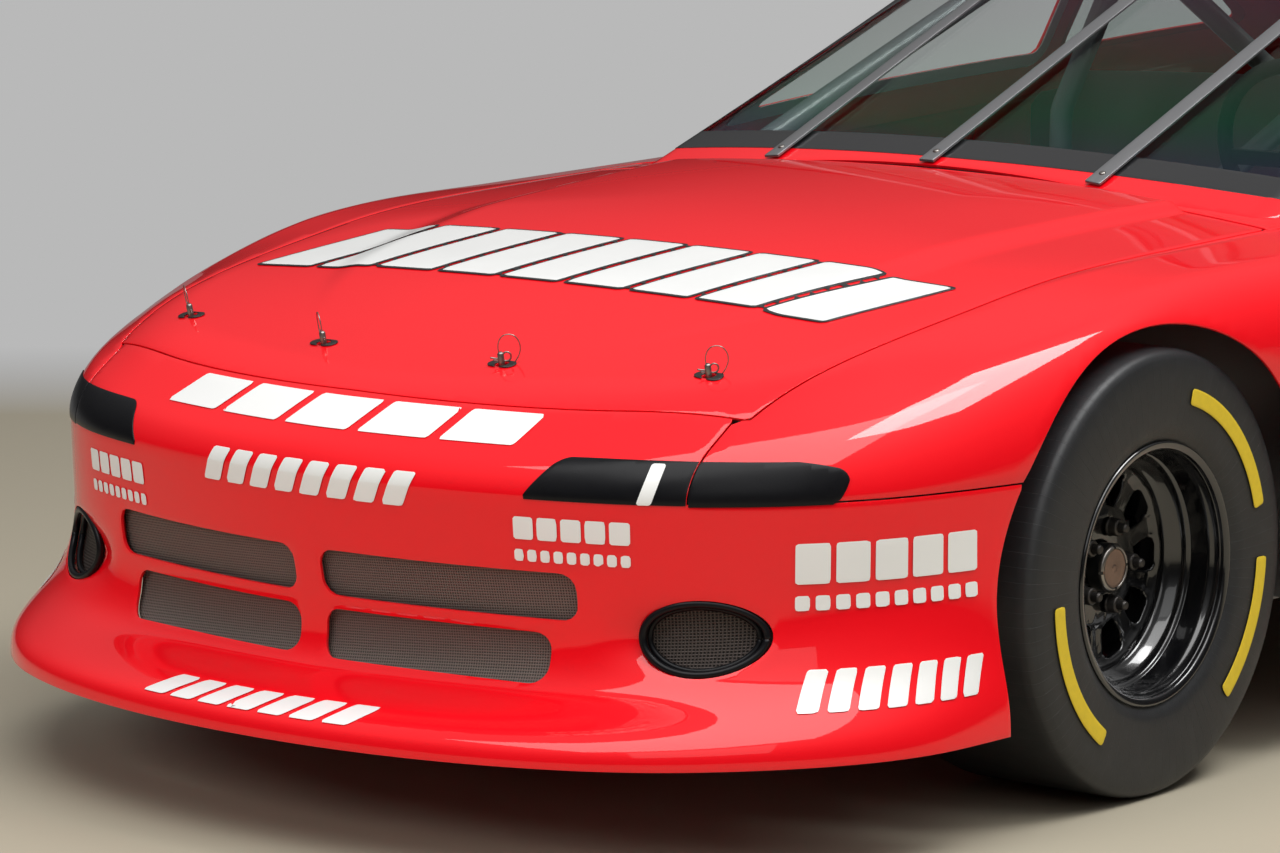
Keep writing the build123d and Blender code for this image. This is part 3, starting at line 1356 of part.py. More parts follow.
DOOR_BAR_X = 790
DOOR_BAR_FOOT = (635, 800)
DOOR_BAR_SPAN = (1050, 1720)
DOOR_BAR_HEIGHTS = (400, 540, 680)
with BuildPart() as door_bars:
    for side in (-1, 1):
        for z in DOOR_BAR_HEIGHTS:
            bar = [
                spot(side * DOOR_BAR_FOOT[0], DOOR_BAR_FOOT[1], z),
                spot(side * DOOR_BAR_X, DOOR_BAR_SPAN[0], z),
                spot(side * DOOR_BAR_X, DOOR_BAR_SPAN[1], z),
                spot(side * MAIN_RAIL_X, HOOP_STATION, z),
            ]
            add(tube(bar, CAGE_TUBE, BAR_BEND))
    add(main_hoop.part, mode=Mode.SUBTRACT)
    add(halo_bars.part, mode=Mode.SUBTRACT)
save(door_bars.part, "door_bars")

STAY_HEAD = (470, CAGE_TOP - 12)
STAY_FOOT = (3000, KICK_TOP - 10)
with BuildPart() as rear_stays:
    for side in (-1, 1):
        head = spot(side * STAY_HEAD[0], HOOP_STATION, STAY_HEAD[1])
        add(tube([head, spot(side * REAR_RAIL_X, *STAY_FOOT)], CAGE_TUBE))
    add(main_hoop.part, mode=Mode.SUBTRACT)
    add(chassis_frame.part, mode=Mode.SUBTRACT)
save(rear_stays.part, "rear_stays")

# Floor with its tunnel, firewall and rear bulkhead
FIREWALL = 560
BULKHEAD = MID_REAR + 40
FLOOR_HALF = MAIN_RAIL_X - RAIL_WIDTH / 2
WALL_HALF = 880
FIREWALL_TOP = 900
with BuildPart() as floor:
    sheet = FLOOR_THICKNESS
    add(block((-FLOOR_HALF, FLOOR_HALF), (FIREWALL, MID_REAR), (FLOOR_HEIGHT, FLOOR_HEIGHT + sheet)))
    add(block((-WALL_HALF, WALL_HALF), (FIREWALL, FIREWALL + sheet), (FLOOR_HEIGHT, FIREWALL_TOP)))
    add(block((-WALL_HALF, WALL_HALF), (BULKHEAD, BULKHEAD + sheet), (RAIL_TOP, PANEL_TOP)))
    tunnel = (-TUNNEL_HALF, TUNNEL_HALF)
    hollow = (-TUNNEL_HALF + sheet, TUNNEL_HALF - sheet)
    add(block(tunnel, (FIREWALL, BULKHEAD + sheet), (FLOOR_HEIGHT, TUNNEL_TOP)))
    add(block(hollow, (FIREWALL - 1, BULKHEAD + sheet + 1), (0, TUNNEL_TOP - sheet)), mode=Mode.SUBTRACT)
    add(body_form(SKIN + FIT_GAP, GROUND_CLEARANCE), mode=Mode.INTERSECT)
    for cutter in (chassis_frame.part, rear_stays.part, halo_bars.part, main_hoop.part):
        add(cutter, mode=Mode.SUBTRACT)
save(floor.part, "floor")

# Dashboard
DASH_STATION = 880
DASH_SHEET = 8
DASH_HALF = 590
DASH_HEIGHTS = (690, 850)
SHELF_HALF = 500
SHELF_DEPTH = 100
with BuildPart() as dashboard:
    dash_rear = DASH_STATION + DASH_SHEET
    shelf_heights = (DASH_HEIGHTS[1] - DASH_SHEET, DASH_HEIGHTS[1])
    add(block((-DASH_HALF, DASH_HALF), (DASH_STATION, dash_rear), DASH_HEIGHTS))
    add(block((-SHELF_HALF, SHELF_HALF), (DASH_STATION - SHELF_DEPTH, dash_rear), shelf_heights))
    add(halo_bars.part, mode=Mode.SUBTRACT)
save(dashboard.part, "dashboard")

# Steering column and wheel
COLUMN_PLANE = Plane(
    spot(STEERING_WHEEL_X, STEERING_WHEEL_STATION, STEERING_WHEEL_HEIGHT),
    x_dir=(1, 0, 0),
    z_dir=(0, cos(radians(COLUMN_TILT)), sin(radians(COLUMN_TILT))),
)
COLUMN_LENGTH = (STEERING_WHEEL_STATION - FIREWALL - FLOOR_THICKNESS) / cos(radians(COLUMN_TILT))
SPIGOT_RADIUS = 10
SPIGOT_LENGTH = 30
COLUMN_RADIUS = 20
WHEEL_RIM_RADIUS = 14
HORN_RADIUS = 45
HORN_DEPTH = 25
SPOKE_WIDTH = 30
SPOKE_THICKNESS = 5
SPOKE_ANGLES = (0, 180, 270)
with BuildPart() as steering_column:
    with BuildSketch(COLUMN_PLANE.offset(-SPIGOT_LENGTH)):
        Circle(COLUMN_RADIUS)
    extrude(amount=-COLUMN_LENGTH)
    with BuildSketch(COLUMN_PLANE.offset(-SPIGOT_LENGTH)):
        Circle(SPIGOT_RADIUS)
    extrude(amount=SPIGOT_LENGTH)
    add(floor.part, mode=Mode.SUBTRACT)
    add(block((-WIDE, WIDE), (0, FIREWALL + 1), (0, FAR)), mode=Mode.SUBTRACT)
save(steering_column.part, "steering_column")

with BuildPart() as steering_wheel:
    with BuildSketch(Plane(COLUMN_PLANE.origin, x_dir=(1, 0, 0), z_dir=COLUMN_PLANE.y_dir)):
        with Locations((STEERING_WHEEL_RADIUS, 0)):
            Circle(WHEEL_RIM_RADIUS)
    revolve(axis=Axis(COLUMN_PLANE.origin, COLUMN_PLANE.z_dir))
    with BuildSketch(COLUMN_PLANE.offset(-HORN_DEPTH)):
        Circle(HORN_RADIUS)
    extrude(amount=HORN_DEPTH + SPOKE_THICKNESS)
    with BuildSketch(COLUMN_PLANE.offset(-SPOKE_THICKNESS)):
        for angle in SPOKE_ANGLES:
            with Locations(Rotation(0, 0, angle)):
                with Locations((STEERING_WHEEL_RADIUS / 2, 0)):
                    Rectangle(STEERING_WHEEL_RADIUS, SPOKE_WIDTH)
    extrude(amount=SPOKE_THICKNESS)
    with BuildSketch(COLUMN_PLANE.offset(-HORN_DEPTH - 1)):
        Circle(SPIGOT_RADIUS + FIT_GAP)
    extrude(amount=HORN_DEPTH + 2, mode=Mode.SUBTRACT)
save(steering_wheel.part, "steering_wheel")

# Bucket seat: a shell in side view, hollowed between its side bolsters
SEAT_FOOT = FLOOR_HEIGHT + FLOOR_THICKNESS
SEAT_HALF = 230
SEAT_ROUND = 14
BOLSTER = 45
# Station and height of the outer side, then of the hollow between the bolsters
SEAT_SIDE = [
    (1450, SEAT_FOOT),
    (1430, 430),
    (1660, 505),
    (1745, 760),
    (1700, 800),
    (1720, 900),
    (1790, 920),
    (1800, 1010),
    (1885, 1020),
    (1915, SEAT_FOOT),
]
SEAT_HOLLOW = [(1400, 375), (1700, 350), (1760, 400), (1840, 960), (1690, 1100), (1300, 1100)]
SLOT_HEIGHT = 805
SLOT_X = 75
SLOT_SECTION = (70, 34, 12)
SLOT_STATION = 1980
SLOT_CUT = 300
with BuildPart() as seat:
    with BuildSketch(Plane.YZ.offset(STEERING_WHEEL_X - SEAT_HALF)):
        with BuildLine():
            Polyline(*[(station(ahead), z) for ahead, z in SEAT_SIDE], close=True)
        make_face()
    extrude(amount=2 * SEAT_HALF)
    upper = seat.edges().filter_by(Axis.X).filter_by(lambda edge: edge.center().Z > SEAT_FOOT + SEAT_ROUND)
    fillet(upper, SEAT_ROUND)
    with BuildSketch(Plane.YZ.offset(STEERING_WHEEL_X - SEAT_HALF + BOLSTER)):
        with BuildLine():
            Polyline(*[(station(ahead), z) for ahead, z in SEAT_HOLLOW], close=True)
        make_face()
    extrude(amount=2 * (SEAT_HALF - BOLSTER), mode=Mode.SUBTRACT)
    with BuildSketch(Plane.XZ.offset(-station(SLOT_STATION))):
        for side in (-1, 1):
            with Locations((STEERING_WHEEL_X + side * SLOT_X, SLOT_HEIGHT)):
                RectangleRounded(*SLOT_SECTION)
    extrude(amount=SLOT_CUT, mode=Mode.SUBTRACT)
    add(block((0, TUNNEL_HALF), (FIREWALL, BULKHEAD), (0, TUNNEL_TOP)), mode=Mode.SUBTRACT)
save(seat.part, "seat")

# Gear lever, by the x and station of its foot and the place of its knob
LEVER_FOOT = (30, 1120)
LEVER_KNOB = (60, 1180, 733)
LEVER_RADIUS = 9
KNOB_RADIUS = 26
GAITER_RADIUS = 50
GAITER_HEIGHT = 12
with BuildPart() as gear_lever:
    foot = spot(LEVER_FOOT[0], LEVER_FOOT[1], TUNNEL_TOP)
    knob = spot(*LEVER_KNOB)
    add(tube([foot, knob], LEVER_RADIUS))
    with Locations(knob):
        Sphere(KNOB_RADIUS)
    with BuildSketch(Plane.XY.offset(TUNNEL_TOP)):
        with Locations((foot[0], foot[1])):
            Circle(GAITER_RADIUS)
    extrude(amount=GAITER_HEIGHT)
    add(block((-WIDE, WIDE), (0, FAR), (0, TUNNEL_TOP)), mode=Mode.SUBTRACT)
save(gear_lever.part, "gear_lever")

# Exhaust pipes, out under the doors
PIPE_RADIUS = 24
PIPE_BEND = 60
PIPE_HEIGHT = 157
# Bends of the left pipe: x, station, height
PIPE_ROUTE = [
    (255, 240, 420),
    (300, 300, 300),
    (330, 430, PIPE_HEIGHT),
    (420, 1400, PIPE_HEIGHT),
    (880, 1750, PIPE_HEIGHT),
]
with BuildPart() as left_exhaust:
    add(tube([spot(*place) for place in PIPE_ROUTE], PIPE_RADIUS, PIPE_BEND))
with BuildPart() as exhaust_pipes:
    add(left_exhaust.part)
    mirror(about=Plane.YZ)
    add(engine.part, mode=Mode.SUBTRACT)
save(exhaust_pipes.part, "exhaust_pipes")

# Fuel cell between the rear rails
CELL_HALF = REAR_RAIL_X - CLIP_HALF - 5
CELL_SPAN = (3290, 3680)
CELL_HEIGHTS = (230, TAIL_RAIL_TOP + 60)
CELL_FLANGE = 40
CELL_SHEET = 8
with BuildPart() as fuel_cell:
    flange_x = CELL_HALF + CELL_FLANGE
    add(block((-CELL_HALF, CELL_HALF), CELL_SPAN, CELL_HEIGHTS))
    add(block((-flange_x, flange_x), CELL_SPAN, (TAIL_RAIL_TOP, TAIL_RAIL_TOP + CELL_SHEET)))
save(fuel_cell.part, "fuel_cell")

# Hood pins on their cross bar
PIN_BAR_HEIGHT = 600
PIN_BAR_RADIUS = 14
PIN_LEG_FOOT = (-625, CLIP_TOP)
PIN_LEG_HEAD = (-668, PIN_BAR_HEIGHT)
with BuildPart() as hood_pins:
    add(tube([spot(x, ahead, PIN_BAR_HEIGHT) for x, ahead in HOOD_PINS], PIN_BAR_RADIUS))
    for x, ahead in HOOD_PINS:
        y = station(ahead)
        top = skin_height(y, x)
        lean = tan(radians(HOOD_PIN_LEAN))
        foot = (x, y + (top - PIN_BAR_HEIGHT) * lean, PIN_BAR_HEIGHT)
        tip = (x, y - HOOD_PIN_RISE * lean, top + HOOD_PIN_RISE)
        add(tube([foot, tip], HOOD_PIN_RADIUS))
        add(tube([(x, y, PIN_BAR_HEIGHT), foot], PIN_BAR_RADIUS))
    for x in (-CLIP_RAIL_X, CLIP_RAIL_X):
        add(tube([spot(x, *PIN_LEG_FOOT), spot(x, *PIN_LEG_HEAD)], PIN_BAR_RADIUS))
    add(chassis_frame.part, mode=Mode.SUBTRACT)
    add(radiator.part, mode=Mode.SUBTRACT)
save(hood_pins.part, "hood_pins")
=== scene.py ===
import logging
import math
from collections.abc import Callable, Sequence
from dataclasses import dataclass
from enum import Enum

import bpy
import numpy as np
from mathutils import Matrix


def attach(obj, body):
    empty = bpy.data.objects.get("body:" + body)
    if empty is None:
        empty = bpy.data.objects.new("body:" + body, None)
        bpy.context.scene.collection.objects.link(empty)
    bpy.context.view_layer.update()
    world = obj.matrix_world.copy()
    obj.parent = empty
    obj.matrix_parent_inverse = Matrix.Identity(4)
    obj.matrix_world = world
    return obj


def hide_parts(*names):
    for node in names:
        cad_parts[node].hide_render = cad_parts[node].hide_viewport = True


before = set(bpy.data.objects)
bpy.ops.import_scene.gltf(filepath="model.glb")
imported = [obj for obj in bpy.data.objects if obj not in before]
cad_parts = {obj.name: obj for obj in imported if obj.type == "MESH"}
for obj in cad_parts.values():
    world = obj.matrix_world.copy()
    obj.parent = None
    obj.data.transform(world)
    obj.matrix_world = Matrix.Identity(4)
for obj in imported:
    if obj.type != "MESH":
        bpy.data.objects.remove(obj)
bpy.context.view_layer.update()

Array = np.ndarray
Field = Callable[..., Array]
log = logging.getLogger("stock_car")

FRONT_AXLE_Y = -1.397
REAR_AXLE_Y = 1.397
SEAM_HEIGHT = 0.535
PANEL_GAP = 0.0028
SKIN = 0.005


def spline(rows: Sequence[Sequence[float]], at: Array) -> Array:
    """Read a table smoothly between its rows.

    Formula: each column is a natural cubic spline over the first column, whose second
    derivatives come from one linear system, and which is flat beyond its ends.

    Args:
        rows: Rows of the running value and the values that go with it.
        at: Running values to read.

    Returns:
        The read values, one row per column of the table.
    """
    data = np.asarray(rows, float)
    x, y = data[:, 0], data[:, 1:]
    h = np.diff(x)
    count = len(x)
    system = np.eye(count)
    right = np.zeros_like(y)
    inner = np.arange(1, count - 1)
    system[inner, inner - 1] = h[:-1]
    system[inner, inner] = 2 * (h[:-1] + h[1:])
    system[inner, inner + 1] = h[1:]
    slope = np.diff(y, axis=0) / h[:, None]
    right[1:-1] = 6 * np.diff(slope, axis=0)
    bend = np.linalg.solve(system, right)
    at = np.clip(np.asarray(at, float), x[0], x[-1])
    i = np.clip(np.searchsorted(x, at) - 1, 0, count - 2)
    width = h[i][..., None]
    a = (x[i + 1] - at)[..., None]
    b = (at - x[i])[..., None]
    value = (
        (bend[i] * a**3 + bend[i + 1] * b**3) / (6 * width)
        + (y[i] / width - bend[i] * width / 6) * a
        + (y[i + 1] / width - bend[i + 1] * width / 6) * b
    )
    return np.moveaxis(value, -1, 0)


def soft_min(a: Array, b: Array, reach: float) -> Array:
    """Lower of two fields, with their crossing rounded.

    Formula: the plain minimum less a parabola that is a quarter of reach deep where the
    fields are equal, and gone where they differ by reach.
    """
    share = np.maximum(reach - np.abs(a - b), 0) / reach
    return np.minimum(a, b) - share**2 * reach / 4


def points(x: Array, y: Array, z: Array) -> Array:
    """Stack three coordinate arrays into points."""
    x, y, z = np.broadcast_arrays(x, y, z)
    return np.stack([x, y, z], axis=-1)


def box_distance(a: Array, b: Array, half_a: float, half_b: float, corner: float) -> Array:
    """Distance from a rounded rectangle about the origin, below zero inside it.

    Formula: the distance from a rectangle shrunk by the corner radius, less that radius.

    Args:
        a: First coordinate of the points.
        b: Second coordinate of the points.
        half_a: Half size along the first coordinate.
        half_b: Half size along the second coordinate.
        corner: Radius of the rounded corners.

    Returns:
        The signed distance of each point.
    """
    da = np.abs(a) - half_a + corner
    db = np.abs(b) - half_b + corner
    outside = np.hypot(np.maximum(da, 0), np.maximum(db, 0))
    return outside + np.minimum(np.maximum(da, db), 0) - corner


def polygon_distance(a: Array, b: Array, corners: Sequence[tuple[float, float]], corner: float) -> Array:
    """Distance from a polygon with rounded corners, below zero inside it.

    Formula: the largest of the distances from the lines of the sides, each drawn in by
    the corner radius. Where two of them are above zero, the root of the sum of their
    squares rounds the corner. The corner radius is taken off again at the end.

    Args:
        a: First coordinate of the points.
        b: Second coordinate of the points.
        corners: Corners of a convex polygon, in order.
        corner: Radius of the rounded corners.

    Returns:
        The signed distance of each point.
    """
    ring = np.asarray(corners, float)
    area = np.sum(ring[:, 0] * np.roll(ring[:, 1], -1) - np.roll(ring[:, 0], -1) * ring[:, 1])
    ring = ring if area > 0 else ring[::-1]
    step = np.roll(ring, -1, axis=0) - ring
    step /= np.linalg.norm(step, axis=1, keepdims=True)
    normal = np.stack([step[:, 1], -step[:, 0]], axis=1)
    lines = [(a - p[0]) * n[0] + (b - p[1]) * n[1] for p, n in zip(ring, normal)]
    sides = np.stack(lines) + corner
    plain = sides.max(axis=0)
    best = np.sort(sides, axis=0)[-2:]
    both = np.maximum(best, 0)
    return np.where(best[0] > 0, np.hypot(both[0], both[1]), plain) - corner


def smooth_normals(surface: Field, u: Array, v: Array) -> Array:
    """Unit normals of a surface by central differences of its two parameters.

    Args:
        surface: Points of the surface from two parameter arrays.
        u: Values of the first parameter.
        v: Values of the second parameter.

    Returns:
        One unit normal for each pair of parameters.
    """
    step = 1e-4
    along_u = surface(u + step, v) - surface(u - step, v)
    along_v = surface(u, v + step) - surface(u, v - step)
    normal = np.cross(along_u, along_v)
    return normal / np.maximum(np.linalg.norm(normal, axis=-1, keepdims=True), 1e-12)


@dataclass
class Shape:
    """Points and faces of one mesh."""

    verts: Array
    faces: Array

    def joined(self, *others: "Shape") -> "Shape":
        """This shape and others as one.

        Args:
            others: Shapes that are added, in order.

        Returns:
            The joined shape.
        """
        verts, faces, base = [self.verts], [self.faces], len(self.verts)
        for other in others:
            verts.append(other.verts)
            faces.append(other.faces + base)
            base += len(other.verts)
        return Shape(np.concatenate(verts), np.concatenate(faces))

    def welded(self) -> "Shape":
        """The same shape with coinciding points made one.

        Formula: points are told apart by their coordinates in whole micrometres, and a
        face stays while at least three of its points differ.

        Returns:
            The welded shape.
        """
        places = np.round(self.verts * 1e6).astype(np.int64)
        _, first, order = np.unique(places, axis=0, return_index=True, return_inverse=True)
        faces = order.reshape(-1)[self.faces]
        spread = np.sort(faces, axis=1)
        kept = (np.diff(spread, axis=1) != 0).sum(axis=1) >= 2
        return Shape(self.verts[first], faces[kept])

    def mirrored(self) -> "Shape":
        """The same shape on the other side of the car."""
        return Shape(self.verts * (-1, 1, 1), self.faces[:, ::-1])

    def moved(self, x: float = 0, y: float = 0, z: float = 0) -> "Shape":
        """The same shape somewhere else."""
        return Shape(self.verts + (x, y, z), self.faces)


def grid(surface: Field, u: Array, v: Array, wrap_u: bool = False, wrap_v: bool = False) -> Shape:
    """Mesh of a surface on a grid of its two parameters.

    Formula: one point for each pair of parameters and one face for each cell. A wrapped
    direction joins its last row to its first.

    Args:
        surface: Points of the surface from two parameter arrays.
        u: Values of the first parameter.
        v: Values of the second parameter.
        wrap_u: Whether the first direction closes on itself.
        wrap_v: Whether the second direction closes on itself.

    Returns:
        The mesh.
    """
    grid_u, grid_v = np.meshgrid(u, v, indexing="ij")
    verts = surface(grid_u, grid_v).reshape(-1, 3)
    rows, cols = len(u), len(v)
    i, j = np.meshgrid(np.arange(rows - (not wrap_u)), np.arange(cols - (not wrap_v)), indexing="ij")
    i, j = i.ravel(), j.ravel()
    i_next, j_next = (i + 1) % rows, (j + 1) % cols
    faces = np.stack([i * cols + j, i_next * cols + j, i_next * cols + j_next, i * cols + j_next], axis=1)
    return Shape(verts, faces)


def trimmed(surface: Field, u: Array, v: Array, outside: Field) -> Shape:
    """Mesh of the part of a surface that lies inside an outline.

    Formula: the cells of a grid whose middles are inside are kept, and Newton's method
    moves the points on their ragged edge, in the two parameters, until the distance from
    the outline is zero.

    Args:
        surface: Points of the surface from two parameter arrays.
        u: Values of the first parameter.
        v: Values of the second parameter.
        outside: Distance from the outline for an array of points, below zero inside it.

    Returns:
        The trimmed mesh.
    """
    grid_u, grid_v = np.meshgrid(u, v, indexing="ij")
    mid_u, mid_v = (grid_u[1:, 1:] + grid_u[:-1, :-1]) / 2, (grid_v[1:, 1:] + grid_v[:-1, :-1]) / 2
    kept = outside(surface(mid_u, mid_v)) < 0
    padded = np.pad(kept, 1)
    present = np.pad(np.ones_like(kept), 1)
    around = [(slice(a, a + len(u)), slice(b, b + len(v))) for a in (0, 1) for b in (0, 1)]
    used = np.any([padded[s] for s in around], axis=0)
    ragged = used & np.any([present[s] & ~padded[s] for s in around], axis=0)
    p, q = grid_u[ragged], grid_v[ragged]
    step_u, step_v = (u[-1] - u[0]) / (len(u) - 1), (v[-1] - v[0]) / (len(v) - 1)
    for _ in range(6):
        value = outside(surface(p, q))
        slope_u = (outside(surface(p + step_u * 0.02, q)) - value) / 0.02
        slope_v = (outside(surface(p, q + step_v * 0.02)) - value) / 0.02
        scale = value / np.maximum(slope_u**2 + slope_v**2, 1e-12)
        p = np.clip(p - np.clip(scale * slope_u, -0.6, 0.6) * step_u, u.min(), u.max())
        q = np.clip(q - np.clip(scale * slope_v, -0.6, 0.6) * step_v, v.min(), v.max())
    grid_u[ragged], grid_v[ragged] = p, q
    verts = surface(grid_u, grid_v).reshape(-1, 3)
    i, j = np.nonzero(kept)
    cols = len(v)
    faces = np.stack([i * cols + j, (i + 1) * cols + j, (i + 1) * cols + j + 1, i * cols + j + 1], axis=1)
    order, flat = np.unique(faces, return_inverse=True)
    return Shape(verts[order], flat.reshape(faces.shape))


def steps(low: float, high: float, cell: float) -> Array:
    """Evenly spaced values from low to high, about one cell apart."""
    return np.linspace(low, high, max(2, int(round(abs(high - low) / cell)) + 1))


def turned(profile: Array, count: int, axle: tuple[float, float]) -> Shape:
    """Surface turned about an axle that runs along X.

    Formula: each profile point of x and radius goes round the axle at equal angles. A
    profile that runs anticlockwise, with x to the right, faces outwards.

    Args:
        profile: Rows of x and radius.
        count: Number of steps round the axle.
        axle: Y and Z of the axle.

    Returns:
        The turned mesh.
    """
    index = np.arange(len(profile))

    def place(i: Array, angle: Array) -> Array:
        """Point of one profile index at one angle."""
        row = profile[i.astype(int)]
        return points(
            row[..., 0], axle[0] + row[..., 1] * np.cos(angle), axle[1] + row[..., 1] * np.sin(angle)
        )

    return grid(place, index, np.linspace(0, 2 * np.pi, count, endpoint=False), wrap_v=True)


def rounded(corners: Sequence[tuple[float, float, float]], count: int = 4, closed: bool = False) -> Array:
    """Profile through corners that are rounded to their own radii.

    Formula: each corner is a quadratic curve between the points one radius before it and
    one radius after it, at most half of each side away.

    Args:
        corners: Rows of the two coordinates and the radius.
        count: Points on each rounded corner.
        closed: Whether the profile returns to its first corner.

    Returns:
        Rows of the two coordinates.
    """
    rows = np.asarray(corners, float)
    at, radius = rows[:, :2], rows[:, 2:3]
    before, after = np.roll(at, 1, axis=0) - at, np.roll(at, -1, axis=0) - at
    reach_before = np.minimum(radius / np.maximum(np.linalg.norm(before, axis=1, keepdims=True), 1e-9), 0.49)
    reach_after = np.minimum(radius / np.maximum(np.linalg.norm(after, axis=1, keepdims=True), 1e-9), 0.49)
    start, end = at + before * reach_before, at + after * reach_after
    if not closed:
        start[0] = end[0] = at[0]
        start[-1] = end[-1] = at[-1]
    share = np.linspace(0, 1, count)[None, :, None]
    curve = start[:, None] * (1 - share) ** 2 + at[:, None] * 2 * share * (1 - share)
    curve = curve + end[:, None] * share**2
    flat = curve.reshape(-1, 2)
    fresh = np.append(True, np.linalg.norm(np.diff(flat, axis=0), axis=1) > 1e-6)
    return flat[fresh]


def swept(path: Array, radius: float | Array, count: int = 12) -> Shape:
    """Round tube along a path, closed at both ends.

    Formula: at each path point a circle lies square to the mean of the two directions
    there, turned from a fixed side direction. Both ends draw in to a point.

    Args:
        path: Rows of points.
        radius: Radius, or one radius for each point.
        count: Points round the tube.

    Returns:
        The tube's mesh.
    """
    path = np.asarray(path, float)
    reach = np.broadcast_to(radius, len(path)).astype(float)
    path = np.concatenate([path[:1], path, path[-1:]])
    reach = np.concatenate([[0.0], reach, [0.0]])
    along = np.gradient(path[1:-1], axis=0)
    along = np.concatenate([along[:1], along, along[-1:]])
    along /= np.maximum(np.linalg.norm(along, axis=1, keepdims=True), 1e-12)
    mean = along.mean(axis=0)
    fixed = np.eye(3)[int(np.argmin(np.abs(mean)))]
    side = np.cross(along, fixed)
    side /= np.maximum(np.linalg.norm(side, axis=1, keepdims=True), 1e-12)
    up = np.cross(side, along)
    angle = np.linspace(0, 2 * np.pi, count, endpoint=False)
    ring = np.cos(angle)[None, :, None] * side[:, None] + np.sin(angle)[None, :, None] * up[:, None]
    verts = (path[:, None] + ring * reach[:, None, None]).reshape(-1, 3)
    rows = len(path)
    i, j = (a.ravel() for a in np.meshgrid(np.arange(rows - 1), np.arange(count), indexing="ij"))
    nxt = (j + 1) % count
    faces = np.stack([i * count + j, i * count + nxt, (i + 1) * count + nxt, (i + 1) * count + j], axis=1)
    return Shape(verts, faces)


def smooth_path(knots: Sequence[Sequence[float]], count: int) -> Array:
    """Smooth curve through a few points, read at equal steps of their running length.

    Args:
        knots: Points that the curve passes through.
        count: Number of points read.

    Returns:
        Rows of points.
    """
    knots = np.asarray(knots, float)
    run = np.append(0, np.cumsum(np.linalg.norm(np.diff(knots, axis=0), axis=1)))
    return spline(np.column_stack([run, knots]), np.linspace(0, run[-1], count)).T


class Value:
    """A shader socket that adds Math nodes when it takes part in an expression."""

    def __init__(self, graph: "Graph", socket: bpy.types.NodeSocket) -> None:
        """Keep the socket and the graph that it belongs to."""
        self.graph = graph
        self.socket = socket

    def _join(self, operation: str, first: object, second: object) -> "Value":
        """Result of one Math node."""
        return self.graph.node("ShaderNodeMath", {"operation": operation}, {0: first, 1: second})

    def __add__(self, other: object) -> "Value":
        """Sum."""
        return self._join("ADD", self, other)

    __radd__ = __add__

    def __mul__(self, other: object) -> "Value":
        """Product."""
        return self._join("MULTIPLY", self, other)

    __rmul__ = __mul__

    def __sub__(self, other: object) -> "Value":
        """Difference."""
        return self._join("SUBTRACT", self, other)

    def __rsub__(self, other: object) -> "Value":
        """Reflected difference."""
        return self._join("SUBTRACT", other, self)

    def __truediv__(self, other: object) -> "Value":
        """Quotient."""
        return self._join("DIVIDE", self, other)

    def __pow__(self, other: object) -> "Value":
        """Power."""
        return self._join("POWER", self, other)


